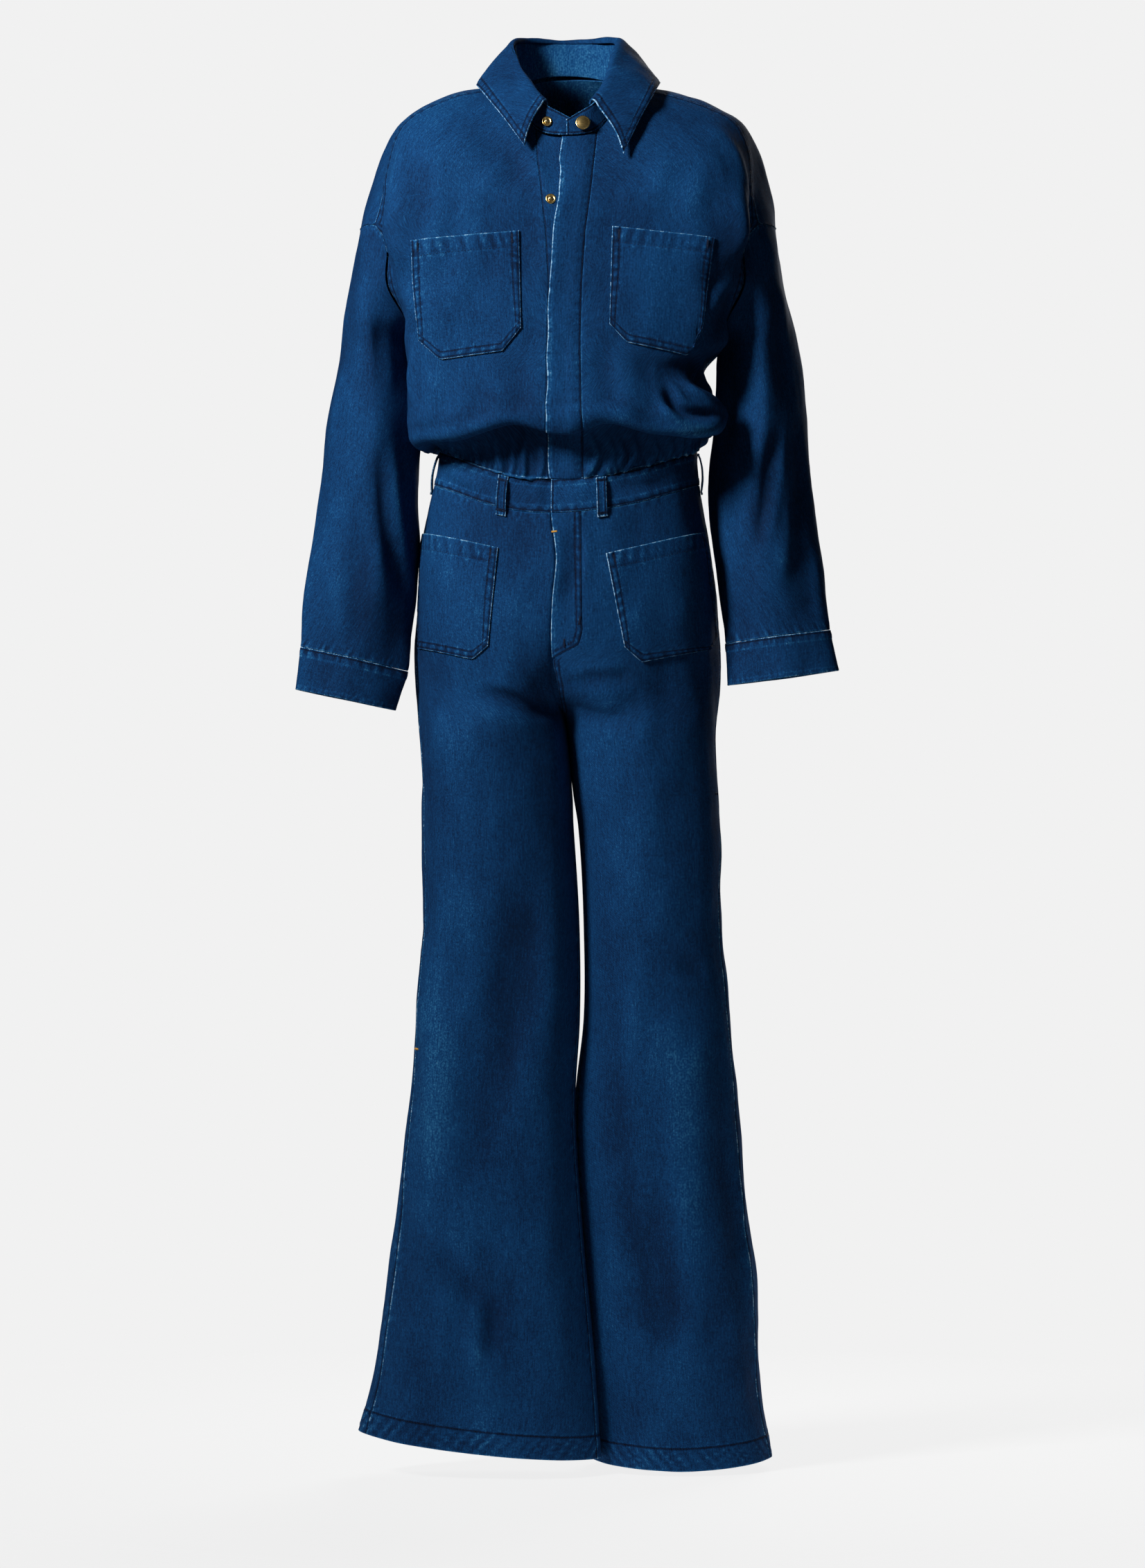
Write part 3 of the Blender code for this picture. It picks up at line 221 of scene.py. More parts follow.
class Armhole(NamedTuple):
    """A point of the armhole seam, and the station that its thread line reaches down the sleeve."""

    station: float
    level: float
    below: float


ARMHOLE = (
    Armhole(3, UNDERARM, 3), Armhole(3, 6, 3.1), Armhole(3, 5, 3.25), Armhole(3, 4.4, 3.4),
    Armhole(3.45, 4.05, 3.6), Armhole(4.05, 3.8, 4.1), Armhole(5, 3.82, 5), Armhole(6, 4.0, 6),
    Armhole(7, 4.5, 6.6), Armhole(7, 5, 6.75), Armhole(7, 6, 6.9), Armhole(7, UNDERARM, 7))


class Opening(NamedTuple):
    """The front opening at a level of the bodice: x of the over edge and of both stitch lines."""

    level: float
    edge: float
    stitch: float
    under: float


OPENING = (
    Opening(0, -.0051, .033, -.0343), Opening(1, -.0085, .0295, -.032),
    Opening(2, -.0075, .027, -.029), Opening(3, -.01, .0245, -.027),
    Opening(4, -.0146, .02, -.0235), Opening(5, -.0193, .0163, -.0203),
    Opening(7, -.021, .0145, -.022), Opening(9, -.0222, .0155, -.0232),
    Opening(BLOUSE_LEVEL, -.0228, .0165, -.0238), Opening(WAIST_LEVEL, -.019, .018, -.02))


class Arch(NamedTuple):
    """A place where the blouse's lower edge lifts over the waist."""

    x: float
    width: float
    lift: float


ARCHES = (Arch(-.057, .034, .01), Arch(.046, .034, .015))


class Hip(NamedTuple):
    """A level of the trousers above the crotch.  The clefts are the y of its centre lines."""

    z_front: float
    z_side: float
    z_back: float
    centre: float
    right: float
    left: float
    front: float
    back: float
    cleft_front: float
    cleft_back: float
    parting: float


HIPS = (
    Hip(-.424, -.3885, -.386, -.0172, WAIST_HALF[RIGHT], WAIST_HALF[LEFT], -.096, .086, -.096,
        .086, 0),
    Hip(-.461, -.426, -.424, -.0172, .144, .1445, -.102, .094, -.102, .094, 0),
    Hip(-.51, -.487, -.48, -.012, .156, .1545, -.107, .11, -.107, .109, 0),
    Hip(-.556, -.547, -.545, -.016, .1625, .1625, -.109, .122, -.108, .118, 0),
    Hip(-.604, -.6, -.604, -.0171, .166, .1665, -.109, .126, -.104, .118, .1),
    Hip(-.65, -.65, -.652, -.012, .163, .1685, -.106, .12, -.08, .094, .5),
)
SQUARE_HIPS, SQUARE_LEG = 2.3, 2.2
HIP_OUT = (0, .27, .56, .84, 1, .84, .56, .27, 0)      # how far out each station of a hip lies


class Leg(NamedTuple):
    """A level of a trouser leg: heights, x of its inner and outer side, and its depth in y.

    lean turns the inner side a little, so that the two legs lie on each other without a slit.
    """
    z_inner: float
    z_front: float
    z_outer: float
    inner: float
    outer: float
    middle: float
    front: float
    back: float
    lean: float


LEGS = {
    RIGHT: (
        Leg(-.69, -.692, -.695, -.003, -.161, -.002, -.102, .108, .05),
        Leg(-.745, -.745, -.745, .0025, -.16, -.004, -.096, .098, .06),
        Leg(-.8, -.8, -.8, .0065, -.16, -.006, -.09, .088, .03),
        Leg(-.91, -.91, -.91, .013, -.16, -.008, -.08, .066, 0),
        Leg(-1.01, -1.01, -1.01, .0135, -.1655, -.012, -.076, .054, 0),
        Leg(-1.1, -1.1, -1.1, .0085, -.1722, -.015, -.076, .05, 0),
        Leg(-1.22, -1.22, -1.218, .015, -.184, -.02, -.082, .046, 0),
        Leg(-1.345, -1.342, -1.335, .026, -.199, -.028, -.088, .038, 0),
        Leg(-1.459, -1.448, -1.428, .035, -.217, -.034, -.093, .03, 0),
        Leg(-1.488, -1.478, -1.459, .0365, -.2255, -.035, -.094, .029, 0)),
    LEFT: (
        Leg(-.69, -.692, -.695, .001, .165, .002, -.098, .112, .05),
        Leg(-.745, -.745, -.745, .0065, .166, .002, -.092, .1, .06),
        Leg(-.8, -.8, -.8, .013, .1685, .002, -.084, .09, .03),
        Leg(-.91, -.91, -.91, .019, .167, .002, -.072, .072, 0),
        Leg(-1.01, -1.01, -1.01, .019, .1755, .003, -.066, .07, 0),
        Leg(-1.1, -1.1, -1.1, .0095, .1865, .005, -.062, .074, 0),
        Leg(-1.22, -1.22, -1.22, .013, .1965, .01, -.06, .085, 0),
        Leg(-1.34, -1.342, -1.34, .018, .208, .02, -.058, .1, 0),
        Leg(-1.464, -1.472, -1.464, .022, .22, .027, -.057, .112, 0),
        Leg(-1.492, -1.501, -1.492, .0225, .2255, .028, -.057, .113, 0)),
}
CROTCH = len(HIPS)                               # the level where the legs part
HEM_LEVEL = CROTCH + len(LEGS[RIGHT]) - 1
FLY_FOOT = -.6185


class SeamPlace(NamedTuple):
    """Where the inseam and the outseam of a leg run at a level, as stations."""

    level: float
    inseam: float
    outseam: float


LEG_SEAMS = (SeamPlace(0, 0, 4), SeamPlace(CROTCH, 0, 3.85), SeamPlace(CROTCH + 3, .25, 3.6),
             SeamPlace(HEM_LEVEL, .25, 3.6))


class Fly(NamedTuple):
    """The outer line of the fly, the curve of its stitching: x at a height."""

    z: float
    x: float


FLY = (Fly(-.44, .015), Fly(-.59, .0165), Fly(-.604, .0125), Fly(-.6175, -.015))

# Pocket outlines seen from the front, as (x, z), clockwise from the inner top corner
CHEST_POCKET = {
    RIGHT: ((-.0513, -.1583), (-.0489, -.2641), (-.069, -.2892), (-.1356, -.2973),
            (-.1567, -.2753), (-.1682, -.1683)),
    LEFT: ((.0485, -.1536), (.0455, -.2598), (.0641, -.2797), (.1283, -.2914), (.1442, -.2663),
           (.1594, -.1653)),
}
HIP_POCKET = {
    RIGHT: ((-.0739, -.4983), (-.0836, -.6044), (-.1, -.6186), (-.1628, -.6055),
            (-.165, -.57), (-.159, -.505), (-.1545, -.4797)),
    LEFT: ((.0412, -.5051), (.0614, -.6059), (.0801, -.6223), (.1553, -.6075), (.164, -.5926),
           (.152, -.5), (.147, -.4791)),
}


class Collar(NamedTuple):
    """A section of the collar: the neckline station below it, its fold and its outer edge."""

    station: float
    fold: tuple
    edge: tuple


COLLAR = {
    RIGHT: (
        Collar(.62, (-.0224, -.083, -.0168), (-.0454, -.1075, -.0666)),
        Collar(1.3, (-.0322, -.073, -.0075), (-.069, -.086, -.033)),
        Collar(2.5, (-.0459, -.05, .0126), (-.0905, -.05, -.003)),
        Collar(4, (-.056, -.015, .04), (-.0964, -.006, .0095)),
        Collar(5.6, (-.059, .02, .0615), (-.0935, .04, .015)),
        Collar(7.4, (-.038, .054, .067), (-.06, .082, .006))),
    LEFT: (
        Collar(.75, (.0271, -.083, -.0168), (.0613, -.109, -.0742)),
        Collar(1.4, (.038, -.071, -.004), (.078, -.086, -.037)),
        Collar(2.5, (.048, -.047, .018), (.0945, -.05, -.003)),
        Collar(4, (.054, -.015, .043), (.1005, -.006, .0125)),
        Collar(5.6, (.0575, .02, .0615), (.095, .04, .015)),
        Collar(7.4, (.037, .054, .067), (.061, .082, .006))),
}
COLLAR_BACK = Collar(9, (0, .069, .068), (0, .0985, .003))
# The stand runs on past the collar to its snap: (x, y, z) of its upper corner
STAND_END = {RIGHT: (.009, -.0905, -.036), LEFT: (-.0005, -.0905, -.0352)}


# ---- smooth sheets


def smooth_step(low: float, high: float, value: Array) -> Array:
    """0 below low, 1 above high, and a smooth rise between."""
    share = np.clip((np.asarray(value, float) - low) / (high - low), 0, 1)
    return share * share * (3 - 2 * share)


def paired(first: Array, second: Array) -> list[Array]:
    """Both as arrays of numbers of one shape."""
    return np.broadcast_arrays(np.asarray(first, float), np.asarray(second, float))


def run_lengths(points: Array, axis: int) -> Array:
    """The way covered at each point of lines that run along an axis."""
    steps = np.linalg.norm(np.diff(points, axis=axis), axis=-1)
    return np.concatenate((np.zeros_like(steps.take([0], axis)), np.cumsum(steps, axis)), axis)


def column_at(rows: Sequence[NamedTuple], column: str, places: Array) -> Array:
    """Read a table's column.

    Args:
        rows: the table, ordered by its first column.
        column: the name of the column to read.
        places: values of the first column.

    Returns:
        The column's values there.
    """
    return np.interp(places, [row[0] for row in rows], [getattr(row, column) for row in rows])


def along(before: Array, start: Array, end: Array, after: Array, share: Array) -> Array:
    """Follow a smooth line through four points.

    Args:
        before: the point ahead of the stretch.
        start: the first end of the stretch.
        end: the other end of the stretch.
        after: the point past the stretch.
        share: how far along the stretch, from 0 to 1.

    Returns:
        The points there.
    """
    gaps = [np.linalg.norm(b - a, axis=-1, keepdims=True) + 1e-9
            for a, b in ((before, start), (start, end), (end, after))]
    leave = (start - before) / gaps[0] * gaps[1] + (end - start) / gaps[1] * gaps[0]
    leave /= gaps[0] + gaps[1]
    reach = (end - start) / gaps[1] * gaps[2] + (after - end) / gaps[2] * gaps[1]
    reach /= gaps[1] + gaps[2]
    square, cube = share * share, share ** 3
    return ((2 * cube - 3 * square + 1) * start + (cube - 2 * square + share) * gaps[1] * leave
            + (3 * square - 2 * cube) * end + (cube - square) * gaps[1] * reach)


class Sheet:
    """A smooth surface through a net of levels and stations, with a guide column at each end."""

    def __init__(self, net: Sequence, first_station: float = 0) -> None:
        """Keep the net, with a guide row added above and below."""
        rows = np.array(net, float)
        self.net = np.concatenate(([2 * rows[0] - rows[1]], rows, [2 * rows[-1] - rows[-2]]))
        self.first = first_station

    def at(self, station: Array, level: Array) -> Array:
        """The points at arrays of stations and levels.

        Args:
            station: stations.
            level: levels.

        Returns:
            The points.
        """
        station, level = paired(station, level)
        t, v = station - self.first, level
        column = np.clip(np.floor(t), 0, self.net.shape[1] - 4).astype(int)
        row = np.clip(np.floor(v), 0, self.net.shape[0] - 4).astype(int)
        lines = [along(*(self.net[row + r, column + c] for r in range(4)), (v - row)[..., None])
                 for c in range(4)]
        return along(*lines, (t - column)[..., None])


def unit(vectors: Array) -> Array:
    """The vectors at length one."""
    return vectors / (np.linalg.norm(vectors, axis=-1, keepdims=True) + 1e-12)


def normals(surface: Callable, station: Array, level: Array, low: Array, high: Array) -> Array:
    """Unit normals of a surface.

    Args:
        surface: gives points at stations and levels.
        station: stations.
        level: levels.
        low: the first station that a step may reach.
        high: the last one.

    Returns:
        The normals, to one side of the surface.
    """
    step = 1e-3
    across = (surface(np.clip(station + step, low, high), level)
              - surface(np.clip(station - step, low, high), level))
    down = surface(station, level + step) - surface(station, level - step)
    return unit(np.cross(down, across))


def on_sheet(surface: Callable, side: Side, spot: tuple, low: Array, high: Array) -> tuple:
    """Points and outward normals of a sheet.

    Args:
        surface: gives points at stations and levels.
        side: the side that the sheet belongs to.
        spot: the stations and the levels.
        low: the first station that the normals may read.
        high: the last one.

    Returns:
        The points and the normals.
    """
    return surface(*spot), side * normals(surface, *spot, low, high)


# ---- the bodice's sheets

CHEST_SHARE, CHEST_DROP = .55, .18
FRONT_SHARE = (1, .94, .5, .25, .08, 0, 0, 0, 0, 0)
BACK_SHARE = (0, 0, 0, 0, 0, 0, .05, .3, .8, 1)
OUT_SHARE = (0, .2, .6, .9, 1, 1, 1, .9, .5, 0)
RING_FRONT_SHARE, RING_BACK_SHARE = (1, .92, .45, 0, 0, 0), (0, 0, 0, 0, .6, 1)


def chest_point(fold: tuple, front: float) -> tuple[float, float]:
    """The chest station between the centre front and the fold."""
    return fold[0] * CHEST_SHARE, front + (fold[1] - front) * CHEST_DROP


def shoulder_stations(side: Side, row: Level) -> Array:
    """The ten stations of a level above the underarm."""
    flat = ((0, row.front), chest_point(row.fold, row.front), row.fold, row.valley, row.ridge,
            row.outer, row.heel, row.back_valley, row.blade, (0, row.back))
    heights = [row.z_front * f + row.z_back * b + row.z_side * (1 - f - b)
               for f, b in zip(FRONT_SHARE, BACK_SHARE)]
    wider = row.left_out if side == LEFT else 0
    return np.array([(side * (x + wider * share), y, z)
                     for (x, y), z, share in zip(flat, heights, OUT_SHARE)])


def ring_stations(side: Side, row: Ring) -> Array:
    """The six stations of a level below the underarm: 0 to 3, blade and centre back."""
    flat = ((0, row.front), chest_point(row.fold, row.front), row.fold, row.side, row.blade,
            (0, row.back))
    heights = [row.z_front * f + row.z_back * b + row.z_side * (1 - f - b)
               for f, b in zip(RING_FRONT_SHARE, RING_BACK_SHARE)]
    return np.array([(side * x, y, z) for (x, y), z in zip(flat, heights)])


def arm_stations(side: Side, row: Arm) -> Array:
    """The five stations of a sleeve level: inner, ridge, outer, heel and inner again."""
    middle = (row.z_inner + row.z_outer) / 2
    return np.array([(side * x, y, z) for (x, y), z in (
        (row.inner, row.z_inner), (row.ridge, middle), (row.outer, row.z_outer),
        (row.heel, middle), (row.inner, row.z_inner))])


def mix(first: Array, second: Array, share: float | Array) -> Array:
    """A straight mix of two values."""
    return first * (1 - share) + second * share


class BodiceForm:
    """One side of the bodice with its sleeve: three sheets that meet at the valleys."""

    def __init__(self, side: Side) -> None:
        """Lay out the nets of the front, the arm and the back."""
        self.side = side
        front, arm, back = [], [], []
        mirrored = np.array((-1, 1, 1))
        for row in SHOULDERS:
            p = shoulder_stations(side, row)
            part = row.parting
            front.append([p[1] * mirrored, *p[0:4], mix(p[4], p[8], part)])
            clear = np.array((side * ARMHOLE_CLEAR * min(1, part * 1.4), 0, 0))
            arm.append([mix(p[2], p[6], part), p[3] + clear, *p[4:7], p[7] + clear,
                        mix(p[8], p[4], part)])
            back.append([mix(p[6], p[2], part), *p[7:10], p[8] * mirrored])
        other = TORSO[-side] + (WAIST_SEAM[-side],)
        for row, across in zip(TORSO[side] + (WAIST_SEAM[side],), other):
            p, q = ring_stations(side, row), ring_stations(-side, across)
            front.append([q[1], *p[0:4], p[4]])
            back.append([p[2], *p[3:6], q[4]])
        for row in ARM[side]:
            p = arm_stations(side, row)
            arm.append([p[3], *p, p[1]])
        self.front, self.arm, self.back = Sheet(front), Sheet(arm, 3), Sheet(back, 7)

    def at(self, station: Array, level: Array) -> Array:
        """Points: the front to station 3, the arm to 7 and the back to 9.

        Args:
            station: stations.
            level: levels.

        Returns:
            The points.
        """
        station, level = paired(station, level)
        points = np.where((station <= 3)[..., None], self.front.at(np.minimum(station, 3), level),
                          self.arm.at(np.clip(station, 3, 7), level))
        points = np.where((station >= 7)[..., None], self.back.at(np.maximum(station, 7), level),
                          points)
        return self.waisted(self.arched(points, level), station, level)

    def waisted(self, points: Array, station: Array, level: Array) -> Array:
        """Bring the last level onto the ring of the trousers' waist."""
        share = smooth_step(WAIST_LEVEL - 1, WAIST_LEVEL, level)[..., None]
        round_waist = np.interp(station, WAIST_STATIONS[0], WAIST_STATIONS[1])
        ring = LEG[self.side].at(round_waist, np.zeros_like(level))
        return points * (1 - share) + (ring + (0, 0, GAP)) * share

    @staticmethod
    def arched(points: Array, level: Array) -> Array:
        """Lift the lower edge of the blouse at its arches."""
        reach = smooth_step(BLOUSE_LEVEL - 3, BLOUSE_LEVEL - .5, level)
        reach = reach * (1 - smooth_step(BLOUSE_LEVEL + .5, BLOUSE_LEVEL + 2.5, level))
        front = points[..., 1] < 0
        for arch in ARCHES:
            rise = arch.lift * np.exp(-((points[..., 0] - arch.x) / arch.width) ** 2)
            points = points + (rise * reach * front)[..., None] * np.array((0, 0, 1))
        return points


def station_at(surface: Callable, side: Side, x: Array, level: Array, reach: float = 1.6) -> Array:
    """Find where a side's front crosses planes of x.

    Args:
        surface: gives points at stations and levels.
        side: the side of the wearer.
        x: the planes.
        level: the levels.
        reach: the last station to look at.

    Returns:
        The stations.
    """
    low, high = np.zeros_like(level), np.full_like(level, reach)
    for _ in range(18):
        middle = (low + high) / 2
        inside = side * surface(middle, level)[..., 0] < side * x
        low, high = np.where(inside, middle, low), np.where(inside, high, middle)
    return (low + high) / 2


def front_strip(x: Array, level: Array) -> tuple[Array, Array]:
    """Points and normals of the bodice's front at given x, on whichever side they fall.

    Args:
        x: places across.
        level: the levels.

    Returns:
        The points and the normals.
    """
    x, level = paired(x, level)
    points, outward = np.zeros((*x.shape, 3)), np.zeros((*x.shape, 3))
    for side, half in BODICE.items():
        station = station_at(half.at, side, x, level)
        own = (side * (x - half.at(np.zeros_like(level), level)[..., 0]) >= 0)[..., None]
        points = np.where(own, half.at(station, level), points)
        outward = np.where(own, side * normals(half.at, station, level, 0, 3), outward)
    return points, outward


# ---- the trousers' sheets


def power(value: float, square: float) -> float:
    """The signed power that turns a circle's coordinate into a squarer outline's."""
    return math.copysign(abs(value) ** (2 / square), value)


def hip_stations(side: Side, row: Hip) -> Array:
    """The nine stations of half a hip level, from the centre front to the centre back."""
    half = (row.right if side == RIGHT else row.left) - side * row.centre
    stations = []
    for index, out in enumerate(HIP_OUT):
        deep = (1 - out ** SQUARE_HIPS) ** (1 / SQUARE_HIPS)
        depth = row.front if index < 4 else row.back
        end = row.z_front if index < 4 else row.z_back
        height = row.z_side + (end - row.z_side) * (1 - out ** 2)
        stations.append([row.centre + side * half * out, depth * deep, height])
    for index, cleft in ((0, row.cleft_front), (8, row.cleft_back)):
        stations[index][0] += side * CLEFT_CLEAR * min(1, row.parting * 2.5)
        stations[index][1] = cleft
    return np.array(stations)


def leg_stations(row: Leg) -> Array:
    """The nine stations round a leg, from the inseam by the front, side and back."""
    centre, half = (row.inner + row.outer) / 2, (row.inner - row.outer) / 2
    stations = []
    for index in range(9):
        angle = math.radians(index * 45)
        inward, deep = power(math.cos(angle), SQUARE_LEG), -power(math.sin(angle), SQUARE_LEG)
        depth = row.middle - row.front if index < 4 else row.back - row.middle
        y = depth * deep
        height = (row.z_inner + row.z_outer) / 2 + (row.z_inner - row.z_outer) / 2 * math.cos(angle)
        if index < 4:
            height += (row.z_front - (row.z_inner + row.z_outer) / 2) * math.sin(angle) ** 2
        lean = -row.lean * y * max(math.cos(angle), 0)
        stations.append([centre + half * inward + lean, row.middle + y, height])
    return np.array(stations)


class LegForm:
    """Half of the trousers: half a ring to the crotch, and a closed ring below it."""

    def __init__(self, side: Side) -> None:
        """Lay out the net."""
        self.side = side
        net = []
        for row in HIPS:
            p, q = hip_stations(side, row), hip_stations(-side, row)
            net.append([mix(q[1], p[7], row.parting), *p, mix(q[7], p[1], row.parting)])
        for row in LEGS[side]:
            p = leg_stations(row)
            net.append([p[7], *p, p[1]])
        self.sheet = Sheet(net)

    def at(self, station: Array, level: Array) -> Array:
        """Points of the leg: a station past 8 has crossed the inseam."""
        station, level = paired(station, level)
        return self.sheet.at(np.where(station > 8, station - 8, station), level)

    def cloth(self, station: Array, level: Array) -> tuple[Array, Array]:
        """Points of the leg and their outward normals."""
        station, level = paired(station, level)
        inner = np.where(station > 8, station - 8, station)
        return self.at(station, level), self.side * normals(self.at, inner, level, 0, 8)


LEG = {side: LegForm(side) for side in (RIGHT, LEFT)}
BODICE = {side: BodiceForm(side) for side in (RIGHT, LEFT)}


def through(controls: Array, place: Array) -> Array:
    """Follow smooth lines through control points.

    Args:
        controls: the points, counted on the first axis; the others match place.
        place: how far along, counted in points.

    Returns:
        The points there.
    """
    net = np.concatenate(([2 * controls[0] - controls[1]], controls,
                          [2 * controls[-1] - controls[-2]]))
    place = np.asarray(place, float)
    row = np.clip(np.floor(place), 0, len(controls) - 2).astype(int)
    if controls.ndim == 2:
        picked = [net[row + r] for r in range(4)]
    else:
        picked = [np.take_along_axis(net, (row + r)[None, ..., None], axis=0)[0] for r in range(4)]
    return along(*picked, (place - row)[..., None])


def faced(position: Callable) -> Placer:
    """A placer for a surface that is placed by two shares, with its own normals."""
    return lambda u, v: (position(u, v), facing(position, u, v))


def facing(position: Callable, u: Array, v: Array) -> Array:
    """Unit normals of a surface that is placed by two shares from 0 to 1."""
    step = 2e-3
    across = (position(np.clip(u + step, 0, 1), v) - position(np.clip(u - step, 0, 1), v))
    down = position(u, np.clip(v + step, 0, 1)) - position(u, np.clip(v - step, 0, 1))
    return unit(np.cross(across, down))


# ---- creases and waves


class Crease(NamedTuple):
    """A soft ridge, or a trough where its height is below zero, along a line on a sheet."""

    zone: Zone
    side: Side
    path: tuple
    width: float
    height: float


@dataclass
class Waves:
    """Uneven waves of the cloth in a band of lengths, the same on every run."""

    seed: int
    shortest: float
    longest: float
    height: float
    count: int = 16

    def at(self, points: Array) -> Array:
        """The height of the waves at points."""
        dice = np.random.default_rng(self.seed)
        total = np.zeros(points.shape[:-1])
        for _ in range(self.count):
            length = math.exp(dice.uniform(math.log(self.shortest), math.log(self.longest)))
            way = unit(dice.normal(size=3) * (1.2, 1.0, .55))
            total += np.sin(points @ (way * math.tau / length) + dice.uniform(0, math.tau))
        return total * self.height / math.sqrt(self.count / 2)


@dataclass
class SeamNoise:
    """An uneven ripple along a line, between about -1 and 1."""

    seed: int
    length: float = .0085

    def at(self, place: Array) -> Array:
        """The ripple at distances along the line."""
        dice = np.random.default_rng(self.seed)
        total = np.zeros_like(place)
        for _ in range(7):
            length = self.length * math.exp(dice.uniform(-.45, .75))
            total = total + np.sin(place * math.tau / length + dice.uniform(0, math.tau))
        return total / 2.6


class Relief:
    """How far the worn cloth stands off its sheets: given creases, and waves between them."""

    broad, middle, small = Waves(4, .09, .22, .0015), Waves(9, .03, .07, .0005), \
        Waves(12, .009, .02, .00007)
    # Between the legs, where the cloth lies calm: x of the middle, how far out the calm reaches
    # fully and at all, the heights where it begins, and a small fullness that closes the slit
    calm_x, calm_reach, calm_top, full_top, fullness = .01, (.006, .05), (-.7, -.64), \
        (-.8, -.765), .0012
    # The form of a crease: how steep its one side is, and the dips that run beside it
    sheer, dip, dip_place, dip_width, reach = .22, .26, 1.75, .75, 3.2

    def __init__(self, creases: Iterable[Crease]) -> None:
        """Lay each crease's line on its sheet."""
        self.lines = []
        for crease in creases:
            stations, levels = (np.array(c, float) for c in zip(*crease.path))
            form = LEG[crease.side] if crease.zone is Zone.LEG else BODICE[crease.side]
            surface = form.arm.at if crease.zone is Zone.SLEEVE else form.at
            corners = surface(stations, levels)
            count = max(6, int(np.sum(np.linalg.norm(np.diff(corners, axis=0), axis=1)) / .006))
            place = np.linspace(0, len(stations) - 1, count)
            flat = np.stack((stations, levels), axis=1)
            smooth = through(flat, place) if len(flat) > 2 else np.stack(
                [np.interp(place, range(len(flat)), c) for c in flat.T], axis=1)
            self.lines.append((crease, surface(smooth[:, 0], smooth[:, 1])))

    def at(self, points: Array, outward: Array, zone: Zone) -> Array:
        """Read the relief.

        Args:
            points: places on the sheets.
            outward: the normals there.
            zone: the sheet they lie on.

        Returns:
            The height at each place.
        """
        height = self.broad.at(points) + self.middle.at(points) + self.small.at(points)
        flat, facing_out = points.reshape(-1, 3), outward.reshape(-1, 3)
        total = height.reshape(-1)
        for crease, line in self.lines:
            if crease.zone is not zone:
                continue
            reach = self.reach * crease.width
            near = np.all((flat > line.min(axis=0) - reach) & (flat < line.max(axis=0) + reach),
                          axis=1).nonzero()[0]
            if len(near):
                total[near] += self.crease_at(crease, line, flat[near], facing_out[near])
        if zone is Zone.LEG:
            near = (1 - smooth_step(*self.calm_reach, np.abs(flat[:, 0] - self.calm_x))) \
                * (1 - smooth_step(*self.calm_top, flat[:, 2]))
            total *= 1 - near
            total += near * self.fullness * smooth_step(*self.full_top, flat[:, 2])
        return total.reshape(points.shape[:-1])

    def crease_at(self, crease: Crease, line: Array, points: Array, outward: Array) -> Array:
        """The height of one crease at points near it.

        Args:
            crease: the crease.
            line: its line on the sheet.
            points: the points.
            outward: the normals there.

        Returns:
            The heights.
        """
        start, step = line[:-1], np.diff(line, axis=0)
        long = np.sum(step * step, axis=1) + 1e-12
        delta = points[:, None] - start[None]
        share = np.clip(np.sum(delta * step[None], axis=2) / long, 0, 1)
        off = delta - share[..., None] * step[None]
        apart = np.linalg.norm(off, axis=2)
        nearest = np.argmin(apart, axis=1)
        index = np.arange(len(points))
        place = (nearest + share[index, nearest]) / len(start)
        off, apart = off[index, nearest], apart[index, nearest]
        across = np.sum(np.cross(step[nearest], outward) * off, axis=1)
        distance = apart / (crease.width * (1 + self.sheer * np.sign(across)))
        dips = np.exp(-((distance - self.dip_place) / self.dip_width) ** 2)
        shape = np.exp(-distance ** 2) - self.dip * dips
        ends = smooth_step(0, .34, place) * smooth_step(0, .3, 1 - place)
        return crease.height * shape * (.12 + .88 * ends)


